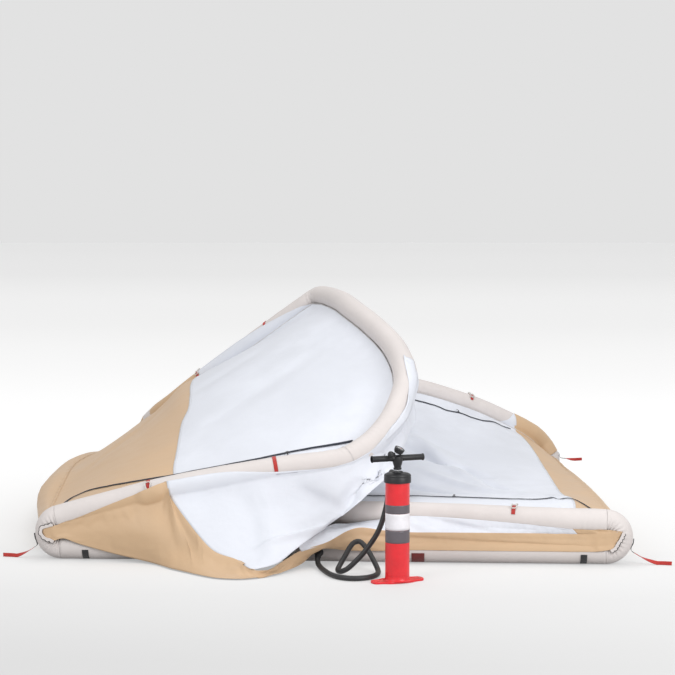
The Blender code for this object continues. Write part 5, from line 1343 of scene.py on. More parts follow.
def end_wall(name, coarse, beam, seam, depth, seed, cover, folds):
    fine = finer(coarse, FINE, FINE)
    held = edges_held(fine, "first_row", "last_row", "first_column", "last_column")
    fine = settle(name + "_wall", fine, held, 0.012, 0.014)
    for entry in folds:
        fine = fold(fine, *entry)
    share = calm(fine, "first_row", "last_row", "first_column", "last_column")
    fine = crumple(fine, depth, 0.16, seed, share)
    fine = outside(beam, fine, BEAM_RADIUS + 0.0012)
    walls[name] = fine
    fine = over_back_leg(fine, beam, cover)
    line = seam_rows(fine, seam)
    arch = "arch_" + name
    bottom, top = np.zeros(fine.shape[1]), np.full(fine.shape[1], fine.shape[0] - 1.0)
    step = np.linalg.norm(fine[1:] - fine[:-1], axis=2).mean()
    tan = under_lap(cut_between(fine, bottom, line + LAP / step, 48), (0.0, 0.0, -1.0))
    white = cut_between(fine, line, top, 110)
    for colour, grid, finish in (("tan", tan, TAN), ("white", white, WHITE)):
        node = "end_wall_%s_%s" % (name, colour)
        made = dress(sheet_piece(node + "_cloth", grid, finish), arch, colour + "_cloth", node)
        cloth_sheet(made, grid, "stretched", "sleeve_arch_beam_" + name)
    return line


LEFT_SEAM = [(-1, 5.9), (0, 5.7), (2, 5.45), (4, 5.45), (6, 5.7), (8, 6.25), (12, 6.65), (14, 6.6), (17, 6.3)]
RIGHT_SEAM = [
    (-1, 1.5), (0, 1.5), (1.6, 1.57), (3.9, 1.68), (6.7, 1.75), (10, 1.9), (12.7, 2.2), (14.9, 2.95),
    (16, 3.5), (17, 3.9),
]
columns, rows = np.arange(right_wall.shape[1]), np.arange(right_wall.shape[0])
stands_up = np.exp(-((columns - 1.8) / 2.2) ** 2) * np.minimum(columns, 1.0)
right_wall[:, :, 2] += 0.062 * stands_up[None, :] * np.clip(rows / 2.0, 0.0, 1.0)[:, None]
LEFT_COVER = [(0, 120), (4, 115), (7, 105), (9, 90), (11, 60), (13, 25), (14, 0)]
RIGHT_COVER = [(0, 150), (3.0, 140), (3.9, 105), (4.3, 30), (4.8, 0), (14, 0)]
seam_left = end_wall("left", left_wall, LEFT_PATH, LEFT_SEAM, 0.0020, 1.0, LEFT_COVER, [
    ((0.45, 0.30), (0.92, 0.62), 0.010, 0.090, 1.6),
    ((0.40, 0.55), (0.80, 0.80), 0.010, 0.080, 1.5),
    ((0.05, 0.35), (0.40, 0.75), 0.012, 0.060, 1.8),
])
seam_right = end_wall("right", right_wall, RIGHT_PATH, RIGHT_SEAM, 0.0022, 2.0, RIGHT_COVER, [
    ((0.76, 0.70), (0.34, 0.46), -0.042, 0.036, 1.0),
    ((0.46, 0.55), (0.15, 0.10), -0.050, 0.036, 1.0),
    ((0.70, 0.78), (0.22, 0.20), 0.030, 0.060, 1.6),
    ((0.60, 0.50), (0.18, 0.12), 0.026, 0.045, 1.6),
    ((0.85, 0.50), (0.30, 0.16), -0.030, 0.032, 1.0),
    ((0.90, 0.84), (0.40, 0.60), -0.014, 0.030, 1.0),
])

# %% [markdown]
# ## Skirts, drape and front band
# Below the end walls the slack cloth folds out and down to the ground. In front, the white cloth hangs
# from the left arch and lies out over the ground in one big soft fold, with the tan band along its foot.
# Both reach up over the front of the arch's beam, so that only its upper side shows.


# %% Skirts
def settle_inside(name, fine, held_sides, give, cap, pull=1.0):
    """Settles a cloth, and keeps it where it is near the edges that are sewn on."""
    settled = settle(name, fine, edges_held(fine, *held_sides), give, cap, pull)
    return fine + (settled - fine) * calm(fine, *held_sides, over=14)[:, :, None]


def loose_cloth(name, coarse, along, across, held_sides, beams, give, cap, depth, seed, pull=1.0, folds=()):
    fine = finer(coarse, along, across)
    fine = settle_inside(name, fine, held_sides, give, cap, pull)
    for entry in folds:
        fine = fold(fine, *entry)
    fine = crumple(fine, depth, 0.13, seed, calm(fine, *held_sides, over=4))
    for beam in beams:
        fine = outside(beam, fine, BEAM_RADIUS + 0.0012)
    fine[:, :, 2] = np.maximum(fine[:, :, 2], 0.0018)
    return fine


def lap_over(skirt, wall):
    """Laps the top of a skirt over the foot of its wall, as in a sewn seam."""
    foot = wall[:, FINE:-FINE]
    out = grid_normals(foot)[:2]
    out *= np.sign(out[:, :, :1] * foot[:1, :, :1])
    return np.concatenate([foot[1:2] + out[1:] * 0.0024, foot[:1] + out[:1] * 0.0024, skirt[1:]])


left_skirt_fine = loose_cloth("left_skirt", left_skirt, 7, 7, ("first_row", "last_row"),
                              (BACK_BEAM, FRONT_BEAM), 0.015, 0.012, 0.0022, 3.0)
left_skirt_fine = lap_over(left_skirt_fine, walls["left"])
right_skirt_fine = loose_cloth("right_skirt", right_skirt, 7, 7, ("first_row", "last_row"),
                               (BACK_BEAM, FRONT_BEAM), 0.015, 0.010, 0.0018, 4.0)
right_skirt_fine = lap_over(right_skirt_fine, walls["right"])
for side, grid in (("left", left_skirt_fine), ("right", right_skirt_fine)):
    made = dress(sheet_piece("end_skirt_%s_cloth" % side, grid, TAN), None, "tan_cloth", "end_skirt_" + side)
    bridge(made, "arch_" + side, grid[:2], "tent_base", grid[-3:])
    cloth_sheet(made, grid, "hung", "end_wall_%s_tan_cloth" % side)

# %% Drape, band and strip along the front
# Where the cloth's upper edge lies on the left arch: angles up from straight forward, by station
EDGE_STATIONS = [0.0, 1.5, 3.0, 4.5, 5.5, 6.5, 8.0, 9.5, 10.4, 11.5, 12.6, 13.8, 15.0, 16.0, 19.0]
EDGE_ANGLES = [-24, -11, 8, 22, 44, 50, 35, 15, 0, -9, -14, -18, -36, -53, -75]


def on_left_arch(station, angle, reach=BEAM_RADIUS + 0.0016):
    """A point on the left arch's beam, at an angle up from straight forward."""
    i = min(int(station), LAST - 1)
    middle = LEFT_PATH[i] * (1 - station + i) + LEFT_PATH[i + 1] * (station - i)
    way = unit(LEFT_PATH[i + 1] - LEFT_PATH[i])
    ahead = unit(FORWARD - way * (FORWARD @ way))
    up = np.cross(ahead, way)
    turn = math.radians(angle)
    return middle + (ahead * math.cos(turn) + up * math.sin(turn)) * reach


def station_at(x):
    """The station of the left arch's front leg that has a given x."""
    return float(np.interp(x, LEFT_PATH[:16, 0], np.arange(16)))


def over_beam(station, angles):
    edge = float(np.interp(station, EDGE_STATIONS, EDGE_ANGLES))
    return points([on_left_arch(station, edge + (angle - edge) * share) for angle in angles[:1]
                   for share in np.linspace(0.0, 1.0, 5)])


drape_net = []
for station, column in zip([5.45] + DRAPE_STATIONS[1:], WHITE_DRAPE_SHARES):
    drape_net.append(np.concatenate([over_beam(station, (-22,)), places(column)]))
drape_full = np.stack([resample(through(column, 12), 72) for column in drape_net])
drape_full = np.stack([resample(through(drape_full[:, r], 18), 120) for r in range(73)])
hem_left = [points([(-1.350, -1.413, 0.150), (-1.352, -1.417, 0.130), (-1.335, -1.418, 0.108)]),
            points([(-1.303, -1.414, 0.163), (-1.304, -1.418, 0.130), (-1.298, -1.419, 0.096)])]
for column in TAN_HEM_SHARES[:5]:
    column = places(column)
    hem_left.append(np.concatenate([over_beam(min(station_at(column[0][0]), 5.2), (-20,)), column[1:]]))
low, high = places(TAN_HEM_SHARES[4])[1:], places(TAN_HEM_SHARES[5])[1:]
for share, k in ((0.25, 0), (0.50, 2), (0.80, 4)):
    hem_left.append(np.concatenate([drape_net[0][k:k + 1], low * (1 - share) + high * share]))
hem_along_drape = [np.concatenate([drape_net[0][5 + k:6 + k], hem_net[5 + k][1:]]) for k in range(4)]
hem_right = [points([(1.240, -1.411, 0.152), (1.240, -1.418, 0.115), (1.240, -1.419, 0.070)]),
             points([(1.300, -1.413, 0.155), (1.299, -1.418, 0.122), (1.291, -1.419, 0.079)]),
             points([(1.343, -1.414, 0.158), (1.330, -1.418, 0.130), (1.305, -1.419, 0.090)])]
hem_full_net = hem_left + hem_along_drape + hem_net[9:] + hem_right
hem_full = np.stack([resample(through(column, 12), 40) for column in hem_full_net])
hem_full = np.stack([resample(through(hem_full[:, r], 18), 300) for r in range(41)])


def front_cloth(name, fine, held_sides, beams, depth, seed, give=0.012, cap=0.010, folds=(), reach=0.0016):
    fine = settle_inside(name, fine, held_sides, give, cap)
    for entry in folds:
        fine = fold(fine, *entry)
    fine = crumple(fine, depth, 0.13, seed, calm(fine, *held_sides, over=5))
    for beam in beams:
        fine = outside(beam, fine, BEAM_RADIUS + reach)
    fine[:, :, 2] = np.maximum(fine[:, :, 2], 0.0018)
    return fine


drape_fine = front_cloth("front_drape", drape_full, ("first_row", "last_row", "first_column"), (LEFT_PATH,),
                         0.0022, 5.0, reach=0.0036, folds=[
                             ((0.10, 0.20), (0.95, 0.06), 0.016, 0.080, 1.6),
                             ((0.20, 0.34), (0.92, 0.52), 0.020, 0.060, 2.4),
                             ((0.78, 0.10), (0.99, 0.42), -0.016, 0.022, 3.0),
                             ((0.66, 0.60), (0.99, 0.50), 0.030, 0.045, 3.0),
                             ((0.58, 0.72), (0.98, 0.62), -0.022, 0.040, 1.0),
                             ((0.30, 0.80), (0.98, 0.72), 0.022, 0.050, 2.0),
                         ])
hem_fine = front_cloth("front_band", hem_full, ("first_row", "last_row"), (FRONT_BEAM, LEFT_PATH), 0.0018,
                       6.0, cap=0.006, folds=[
                           ((0.15, 0.46), (0.95, 0.40), 0.014, 0.030, 2.0),
                           ((0.55, 0.36), (0.98, 0.44), -0.012, 0.026, 1.0),
                           ((0.20, 0.30), (0.90, 0.20), 0.010, 0.060, 1.6),
                           ((0.30, 0.60), (0.80, 0.97), 0.007, 0.020, 2.4),
                       ])


HANK_SPOT = beam_run(LEFT_PATH, places((-0.304, -0.507, 0.272)))[0]
near = nearest_on(LEFT_PATH, hem_fine)
out = hem_fine - near
apart = np.linalg.norm(out, axis=2, keepdims=True)
from_hank = np.linalg.norm(near - HANK_SPOT, axis=2, keepdims=True)
wanted = BEAM_RADIUS + 0.0155 * np.exp(-(from_hank / 0.060) ** 4)
hem_fine = np.where((apart < wanted) & (apart < BEAM_RADIUS + 0.03), near + out / apart * wanted, hem_fine)


def tuck_behind(grid, other):
    """Adds a row to the top of a cloth, tucked behind the near edge of the cloth beside it."""
    edge, inner = other[:, 0], other[:, 5]
    faces = grid_normals(other)[:, 0]
    faces *= np.sign(-faces[:, 1:2] + 0.3 * faces[:, 2:3])
    top = grid[0] + unit(grid[0] - grid[1]) * 0.0012
    for c, spot in enumerate(grid[0]):
        apart = np.linalg.norm(edge - spot, axis=1)
        r = int(apart.argmin())
        if apart[r] < 0.012:
            top[c] = spot + unit(inner[r] - edge[r]) * 0.016 - faces[r] * 0.0022
    return np.concatenate([top[None], grid])


hem_fine = tuck_behind(hem_fine, drape_fine)
STRIP_LEFT = [
    [(-0.135, -1.565, 0.105), (-0.130, -1.560, 0.094), (-0.126, -1.550, 0.080)],
    [(-0.010, -1.420, 0.178), (-0.013, -1.468, 0.150), (-0.014, -1.499, 0.110)],
    [(0.080, -1.245, 0.160), (0.079, -1.372, 0.176), (0.078, -1.455, 0.156)],
    [(0.150, -1.262, 0.174), (0.148, -1.360, 0.182), (0.146, -1.431, 0.169)],
    [(0.245, -1.285, 0.190), (0.245, -1.360, 0.184), (0.244, -1.414, 0.155)],
]
STRIP_RIGHT = [
    [(1.240, -1.404, 0.172), (1.240, -1.411, 0.160), (1.240, -1.410, 0.148)],
    [(1.300, -1.411, 0.167), (1.300, -1.413, 0.160), (1.300, -1.412, 0.151)],
    [(1.343, -1.413, 0.162), (1.343, -1.415, 0.159), (1.343, -1.413, 0.155)],
]
strip_columns = [points(column) for column in STRIP_LEFT]
for station, turn in zip(STRIP_STATIONS, np.radians([6, 4, -2, -10, -16, -26])):
    top = RIGHT_PATH[station] + points((0.0, -math.cos(turn), math.sin(turn))) * (BEAM_RADIUS + 0.002)
    foot = points((top[0], FRONT - BEAM_RADIUS + BEAM_RADIUS * BAND_PUFF_SHARE + 0.002,
                   BEAM_DIAMETER * BAND_TOP_SHARE - 0.004))
    strip_columns.append(points([top, (top + foot) / 2 + FORWARD * CLOTH, foot]))
strip_columns += [points(column) for column in STRIP_RIGHT]
strip_full = np.stack([resample(through(column, 12), 22) for column in strip_columns])
strip_full = np.stack([resample(through(strip_full[:, r], 18), 260) for r in range(23)])
strip_fine = front_cloth("front_strip", strip_full, ("first_row", "last_row"), (RIGHT_PATH,), 0.0022, 7.0,
                         cap=0.012, folds=[
                             ((0.05, 0.20), (0.95, 0.34), 0.012, 0.024, 2.0),
                             ((0.10, 0.36), (0.95, 0.44), -0.010, 0.022, 1.0),
                             ((0.10, 0.46), (0.95, 0.62), 0.009, 0.022, 2.0),
                         ])
drape_made = dress(sheet_piece("front_drape_cloth", drape_fine, WHITE), None, "white_cloth",
                   "front_drape_white")
hem_made = dress(sheet_piece("front_band_cloth", hem_fine, TAN), None, "tan_cloth", "front_hem_tan")
TAN_END_X = 1.128
split = int(np.argmax(strip_fine[11, :, 0] > TAN_END_X))
strip_made = dress(sheet_piece("front_strip_cloth", strip_fine[:, :split + 1], WHITE), None, "white_cloth",
                   "front_strip_white")
strip_end = dress(sheet_piece("front_strip_end_cloth", strip_fine[:, split:], TAN), None, "tan_cloth")
on_base = hem_fine[-1][hem_fine[-1][:, 0] > -0.55]
bridge([drape_made, hem_made], "arch_left", np.concatenate([drape_fine[0], hem_fine[0][:60]]), "tent_base",
       np.concatenate([drape_fine[-1, :60], on_base]))
bridge([strip_made, strip_end], "arch_right", strip_fine[0, 60:], "tent_base", strip_fine[-1])
cloth_sheet(drape_made, drape_fine, "draped", "sleeve_arch_beam_left", "front_band_cloth")
cloth_sheet(hem_made, hem_fine, "draped", "sleeve_ground_beam_front", "sleeve_arch_beam_left")
cloth_sheet(strip_made, strip_fine[:, :split + 1], "hung", "sleeve_arch_beam_right")
cloth_sheet(strip_end, strip_fine[:, split:], "hung", "sleeve_arch_beam_right")

# %% [markdown]
# ## Roof and back wall
# The roof hangs from the high crown of the left arch down to the low crown of the right one, and the back
# wall closes the rear with its own tan band over the back beam.

# %% Roof and back
roof_fine = loose_cloth("roof", roof, 8, 6, ("first_row", "last_row"), (LEFT_PATH, RIGHT_PATH),
                        0.015, 0.016, 0.0024, 8.0)
middle = len(roof_fine) // 2
for name, grid, side, on_arch in (("roof_high_cloth", roof_fine[:middle + 1], "left", roof_fine[0]),
                                  ("roof_low_cloth", roof_fine[middle:], "right", roof_fine[-1])):
    made = dress(sheet_piece(name, grid, WHITE), None, "white_cloth", "roof_white")
    bridge(made, "arch_" + side, on_arch, "tent_base", roof_fine[middle])
    cloth_sheet(made, grid, "hung", "sleeve_arch_beam_" + side)
back_white_fine = loose_cloth("back_white", back_white, 7, 7, ("first_row", "last_row"),
                              (LEFT_PATH, RIGHT_PATH), 0.015, 0.014, 0.0022, 9.0)
middle = back_white_fine.shape[1] // 2
for side, grid, on_arch in (("left", back_white_fine[:, :middle + 1], back_white_fine[0, :middle - 6]),
                            ("right", back_white_fine[:, middle:], back_white_fine[0, middle + 7:])):
    made = dress(sheet_piece("back_wall_%s_cloth" % side, grid, WHITE), None, "white_cloth",
                 "back_wall_white")
    bridge(made, "arch_" + side, on_arch, "tent_base", np.concatenate([back_white_fine[:, middle], grid[-1]]))
    cloth_sheet(made, grid, "hung", "sleeve_arch_beam_" + side)
back_tan_fine = loose_cloth("back_tan", back_tan, 7, 7, ("first_row", "last_row"), (BACK_BEAM,),
                            0.015, 0.010, 0.0020, 10.0)
made = dress(sheet_piece("back_wall_tan_cloth", back_tan_fine, TAN), "tent_base", "tan_cloth",
             "back_wall_tan")
cloth_sheet(made, back_tan_fine, "hung", "sleeve_ground_beam_back")

# %% Groundsheet
low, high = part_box("groundsheet")
x = np.linspace(low.x, high.x, 60)
y = np.linspace(low.y, high.y, 60)
ground_grid = np.stack([np.broadcast_to(x[None, :], (60, 60)), np.broadcast_to(y[:, None], (60, 60)),
                        np.full((60, 60), 0.0012)], axis=2)
ground_grid = crumple(ground_grid, 0.0014, 0.12, 11.0, calm(ground_grid, "first_row", "last_row",
                                                            "first_column", "last_column", over=3))
ground_grid[:, :, 2] = np.clip(ground_grid[:, :, 2], 0.0010, 0.0034)
made = dress(sheet_piece("groundsheet_cloth", ground_grid, GROUND), "tent_base",
             "groundsheet_fabric", "groundsheet")
cloth_sheet(made, ground_grid, "laid")

# %% [markdown]
# ## Rows of small parts
# Zip teeth, stitches and grip ribs are the same small shape again and again along a line. One Geometry
# Nodes tree makes them all: it cuts a line into equal steps, puts a rounded seed on each with its long
# side across or along the line, and ends in Realize Instances and Set Material. Each row carries the
# direction that its seeds stand up in as an attribute of the line.


# %% A tree for rows
def row_tree():
    tree = bpy.data.node_groups.new("row_of_seeds", "GeometryNodeTree")
    tree.interface.new_socket("Geometry", in_out="INPUT", socket_type="NodeSocketGeometry")
    for label in ("Pitch", "Along", "Across", "Height"):
        tree.interface.new_socket(label, in_out="INPUT", socket_type="NodeSocketFloat")
    tree.interface.new_socket("Material", in_out="INPUT", socket_type="NodeSocketMaterial")
    tree.interface.new_socket("Geometry", in_out="OUTPUT", socket_type="NodeSocketGeometry")

    def add(kind, **settings):
        made = tree.nodes.new(kind)
        for key, value in settings.items():
            setattr(made, key, value)
        return made

    def join(source, sink):
        tree.links.new(source, sink)

    start, end = add("NodeGroupInput"), add("NodeGroupOutput")
    curve = add("GeometryNodeMeshToCurve")
    steps = add("GeometryNodeResampleCurve", mode="LENGTH")
    seed = add("GeometryNodeMeshUVSphere")
    seed.inputs["Segments"].default_value = 8
    seed.inputs["Rings"].default_value = 5
    seed.inputs["Radius"].default_value = 0.5
    size = add("ShaderNodeCombineXYZ")
    sized = add("GeometryNodeTransform")
    stands = add("GeometryNodeInputNamedAttribute", data_type="FLOAT_VECTOR")
    stands.inputs["Name"].default_value = "stands"
    way = add("GeometryNodeInputTangent")
    turn = add("FunctionNodeAxesToRotation", primary_axis="Z", secondary_axis="X")
    put = add("GeometryNodeInstanceOnPoints")
    real = add("GeometryNodeRealizeInstances")
    paint = add("GeometryNodeSetMaterial")
    join(start.outputs["Geometry"], curve.inputs["Mesh"])
    join(curve.outputs["Curve"], steps.inputs["Curve"])
    join(start.outputs["Pitch"], steps.inputs["Length"])
    join(start.outputs["Along"], size.inputs["X"])
    join(start.outputs["Across"], size.inputs["Y"])
    join(start.outputs["Height"], size.inputs["Z"])
    join(seed.outputs["Mesh"], sized.inputs["Geometry"])
    join(size.outputs["Vector"], sized.inputs["Scale"])
    join(stands.outputs["Attribute"], turn.inputs["Primary Axis"])
    join(way.outputs["Tangent"], turn.inputs["Secondary Axis"])
    join(steps.outputs["Curve"], put.inputs["Points"])
    join(sized.outputs["Geometry"], put.inputs["Instance"])
    join(turn.outputs["Rotation"], put.inputs["Rotation"])
    join(put.outputs["Instances"], real.inputs["Geometry"])
    join(real.outputs["Geometry"], paint.inputs["Geometry"])
    join(start.outputs["Material"], paint.inputs["Material"])
    join(paint.outputs["Geometry"], end.inputs["Geometry"])
    return tree


ROW_TREE = row_tree()


def row_of_seeds(name, lines, pitch, along, across, height, finish):
    """Seeds along one or more lines, each line its points and the ways that the seeds stand up in."""
    mesh = bpy.data.meshes.new(name)
    verts = np.concatenate([line for line, _ in lines])
    stands = np.concatenate([up for _, up in lines])
    edges, first = [], 0
    for line, _ in lines:
        edges += [(first + k, first + k + 1) for k in range(len(line) - 1)]
        first += len(line)
    mesh.from_pydata([tuple(v) for v in verts], edges, [])
    mesh.attributes.new("stands", "FLOAT_VECTOR", "POINT").data.foreach_set("vector", stands.ravel())
    made = bpy.data.objects.new(name, mesh)
    SCENE.collection.objects.link(made)
    rows = made.modifiers.new("rows", "NODES")
    rows.node_group = ROW_TREE
    sockets = {item.name: item.identifier for item in ROW_TREE.interface.items_tree if item.in_out == "INPUT"}
    for label, value in (("Pitch", pitch), ("Along", along), ("Across", across), ("Height", height),
                         ("Material", finish)):
        rows[sockets[label]] = value
    apply_all(made)
    made.data.shade_smooth()
    return made


# %% [markdown]
# ## Zips
# The doors are closed with coil zips on dark tape. Each runs just inside its wall's edge. The tape is a
# narrow strip that follows the settled cloth, the coil is a row of seeds down its middle, and a slider
# with a pull sits on it.

# %% Zip tapes, coils and sliders
ZIP_WIDTH = 0.014
ZIP_LIFT = 0.0040


def zip_line(grid, knots, lift):
    """A zip's line over a wall through (row, column) knots, and the ways that it stands, lies and runs."""
    line = through(points(knots), 20) * FINE
    places_on, up = on_grid(grid, line[:, 0], line[:, 1])
    line = resample(places_on, 200)
    share = np.linspace(0.0, 1.0, len(up))
    up = np.stack([np.interp(np.linspace(0.0, 1.0, len(line)), share, up[:, k]) for k in range(3)], axis=1)
    up = np.where(up[:, 2:3] > 0, up, -up)
    ways = tangents(line)
    side = unit(np.cross(ways, up))
    up = unit(np.cross(side, ways))
    return line + up * lift, up, side, ways


def zip_pieces(name, grid, knots, arch):
    line, up, side, ways = zip_line(grid, knots, ZIP_LIFT)
    shares = np.linspace(-0.5, 0.5, 9)
    tape = (line[:, None] + side[:, None]
            * (shares * ZIP_WIDTH * (1.1 if name == "zip_left" else 0.9))[None, :, None])
    dress(sheet_piece(name + "_tape", tape, ZIP_TAPE, 0.0010), arch, "zip_tape", name)
    coil = row_of_seeds(name + "_coil", [(line + up * 0.0012, up)], 0.0024, 0.0017, 0.0056, 0.0024,
                        ZIP_TAPE)
    dress(coil, arch, "zip_tape")
    print(name, round(run_of(line)[-1], 2), "m of zip")
    return line, up, side, ways


LEFT_ZIP = [
    (0.3, 0.7), (0.5, 1.6), (0.8, 2.3), (1.2, 2.55), (1.8, 2.6), (2.7, 2.25), (4.1, 1.75), (5.6, 1.35),
    (8.4, 1.2), (10.9, 1.3), (13.1, 1.4),
]
RIGHT_FRONT_ZIP = [
    (0.35, 0.75), (1.1, 1.5), (1.7, 1.95), (2.3, 2.0), (3.0, 1.55), (4.0, 1.4), (6.3, 1.5), (8.9, 1.6),
    (11.0, 1.55), (13.0, 1.5),
]
RIGHT_BACK_ZIP = [
    (3.9, 15.6), (4.5, 15.35), (5.1, 15.5), (5.7, 14.95), (6.5, 14.8), (7.3, 14.95), (8.2, 14.8),
    (9.1, 15.0), (11.1, 15.05), (13.0, 14.8),
]
zip_left = zip_pieces("zip_left", walls["left"], LEFT_ZIP, "arch_left")
zip_right_front = zip_pieces("zip_right_front", walls["right"], RIGHT_FRONT_ZIP, "arch_right")
zip_right_back = zip_pieces("zip_right_back", walls["right"], RIGHT_BACK_ZIP, "arch_right")

# %% [markdown]
# ## Straps, the patch and peg webbings
# Black straps tie the front band down to its beam, a dark red patch reinforces it, and webbing loops lie
# out from three corners for the pegs, dipped red at their ends.

# %% Straps and peg webbings
STRAP_SHARES = [
    ("strap_front_left", -0.411, 0.030, BLACK_WEBBING, "black_webbing"),
    ("strap_front_right", 0.4175, 0.030, BLACK_WEBBING, "black_webbing"),
    ("patch_front", 0.1446, 0.060, PATCH_WEAVE, "red_webbing"),
]
for node, share, width, finish, slot in STRAP_SHARES:
    middle = points((share * TENT_LENGTH, FRONT, BEAM_RADIUS))
    made = band_piece(node + "_webbing", middle, points((1.0, 0.0, 0.0)), FORWARD, 9, 62, width, finish)
    dress(made, "tent_base", slot, node)

PEG_SHARES = [
    ("peg_strap_front_left", FRONT_LEFT, (-4, -12, -20, -28),
     [(-0.5143, -0.5000, 0.0246), (-0.5357, -0.4963, 0.0061), (-0.5571, -0.4926, 0.0016)]),
    ("peg_strap_front_right", FRONT_RIGHT, (-4, -12, -20, -28),
     [(0.5179, -0.5056, 0.0246), (0.5429, -0.5074, 0.0061), (0.5625, -0.5111, 0.0016)]),
    ("peg_strap_back_right", BACK_RIGHT, (24, 16, 8),
     [(0.4700, 0.5050, 0.1127), (0.4850, 0.5060, 0.1086), (0.5036, 0.5070, 0.1107)]),
]
for node, middle, angles, shares in PEG_SHARES:
    reach = BEND_RADIUS + BEAM_RADIUS + SEAT + WEBBING * 2
    knots = np.concatenate([[middle + spoke(middle, angle) * reach for angle in angles], places(shares)])
    line = resample(through(resample(through(knots, 12), 12), 4), 60)
    ways = tangents(line)
    twist = np.radians(78) * np.clip((np.arange(len(line)) - 26) / 22.0, 0.0, 1.0)[:, None]
    across = points((0.0, 1.0, 0.0)) * np.cos(twist) + points((0.0, -0.15, 1.0)) * np.sin(twist)
    side = unit(across - ways * np.sum(across * ways, axis=1, keepdims=True))
    line[:, 2] = np.maximum(line[:, 2], 0.0016 + WEBBING_WIDTH / 2 * np.abs(side[:, 2]))
    strip_grid = line[:, None] + side[:, None] * (np.linspace(-0.5, 0.5, 7) * WEBBING_WIDTH)[None, :, None]
    made = sheet_piece(node + "_webbing", strip_grid, PEG_WEBBING, WEBBING * 0.9)
    dress(made, "tent_base", "black_webbing", node)
print("webbing done")

# %% [markdown]
# ## Edging, sliders and stitches
# Where the tan band runs into a corner bend, it ends in a white hem that is bound in black and gathered on
# a cord, so its edge is scalloped. Each zip has a slider with a ribbon to pull it by. The seams between
# tan and white are sewn twice, so two rows of stitches run beside each of them.

# %% Bound ends of the band
EDGE_KNOTS = {
    "left": [(-1.296, -1.419, 0.094), (-1.312, -1.420, 0.104), (-1.334, -1.420, 0.110),
             (-1.352, -1.420, 0.130), (-1.351, -1.416, 0.150), (-1.326, -1.415, 0.159),
             (-1.300, -1.415, 0.166)],
    "right": [(1.288, -1.420, 0.076), (1.306, -1.420, 0.088), (1.320, -1.421, 0.112), (1.332, -1.421, 0.130),
              (1.345, -1.417, 0.158)],
}
for side, knots in EDGE_KNOTS.items():
    line = resample(through(knots, 16), 120)
    share = np.linspace(0.0, 1.0, len(line))
    ways = tangents(line)
    out = unit(np.cross(ways, FORWARD)) * (1.0 if side == "left" else -1.0)
    out *= np.sign(out[:1, :1] * line[0, 0])
    scallop = np.abs(np.sin(share * math.pi * 7))[:, None] * 0.005
    shares = np.linspace(-0.2, 1.0, 7)[None, :, None]
    band = line[:, None] + out[:, None] * (0.011 * shares + scallop[:, None] * np.clip(shares, 0.0, 1.0))
    band[:, :, 1] -= 0.0022
    made = sheet_piece("gathered_hem_" + side, band, SLEEVE)
    dress(made, "tent_base", "beam_fabric")
    bound = tube_piece("hem_binding_" + side, band[:, -1], 0.0017, 8, BLACK_WEBBING)
    dress(bound, "tent_base", "black_webbing")

# %% Pull ribbons and stitched seams
for name, (line, up, side, ways) in (("left", zip_left), ("right_front", zip_right_front),
                                     ("right_back", zip_right_back)):
    low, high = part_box("zip_slider_" + name)
    k = int(np.linalg.norm(line - points((low + high) / 2), axis=1).argmin())
    middle = line[k] + up[k] * 0.0008
    rim_points = points([(-0.0075, -0.0035), (-0.004, -0.0052), (0.003, -0.0048), (0.0080, -0.0022),
                         (0.0080, 0.0022), (0.003, 0.0048), (-0.004, 0.0052), (-0.0075, 0.0035)])
    verts = [middle + ways[k] * a * share + side[k] * b * share + up[k] * height
             for height, share in ((0.0, 0.94), (0.0008, 1.0), (0.0032, 1.0), (0.0042, 0.86), (0.0046, 0.50))
             for a, b in rim_points]
    faces = grid_faces(5, 8, closed=True) + [tuple(range(8)), tuple(range(32, 40))]
    slider = facing_out(piece("slider_body_" + name, verts, faces, DARK_METAL))
    dress(slider, "slider_" + name, "zip_slider", "zip_slider_" + name)
    start = middle + up[k] * 0.0050
    ribbon = points([start, start + up[k] * 0.004 + side[k] * 0.008, start + side[k] * 0.022 + up[k] * 0.001,
                     start + side[k] * 0.036 - up[k] * 0.001])
    ribbon = resample(through(ribbon, 10), 24)
    grid = ribbon[:, None] + ways[k][None, None] * (np.linspace(-0.5, 0.5, 5) * 0.006)[None, :, None]
    dress(sheet_piece("pull_ribbon_" + name, grid, BLACK_WEBBING, 0.0010), "slider_" + name, "black_webbing")

for name, seam in (("left", seam_left), ("right", seam_right)):
    wall = walls[name]
    edge = np.concatenate([wall[6:, 0], wall[-1], wall[:5:-1, -1]])
    edge = resample(edge, 900)
    beam = LEFT_PATH if name == "left" else RIGHT_PATH
    edge = outside(beam, edge, BEAM_RADIUS + 0.0042)
    dress(tube_piece("wall_piping_" + name, edge, 0.0026, 8, PIPING), "arch_" + name, "beam_fabric")
    for station in (LEG_STEPS, LEG_STEPS + CROWN_STEPS):
        way = unit(beam[station + 1] - beam[station - 1])
        first = unit(np.cross(way, (0.0, 0.0, 1.0)))
        second = np.cross(way, first)
        turns = np.linspace(0.0, 2 * math.pi, 73)[:, None]
        ring = beam[station] + (first * np.cos(turns) + second * np.sin(turns)) * (BEAM_RADIUS - 0.0004)
        dress(tube_piece("seam_ring_%s_%d" % (name, station), ring, 0.0013, 6, PIPING), "arch_" + name,
              "beam_fabric")
    columns = np.arange(4.0, wall.shape[1] - 4.0, 0.5)
    rows = np.interp(columns, np.arange(wall.shape[1]), seam[:wall.shape[1]])
    lines = []
    for beside in (0.25, 0.75):
        spots, up = on_grid(wall, rows + beside, columns)
        up = np.where(up[:, 2:3] > 0, up, -up)
        lines.append((spots + up * 0.0013, up))
    dress(row_of_seeds("seam_stitches_" + name, lines, 0.0060, 0.0040, 0.0010, 0.0008, THREAD_PALE),
          "arch_" + name, "white_cloth")
print("edging, ribbons and stitches done")

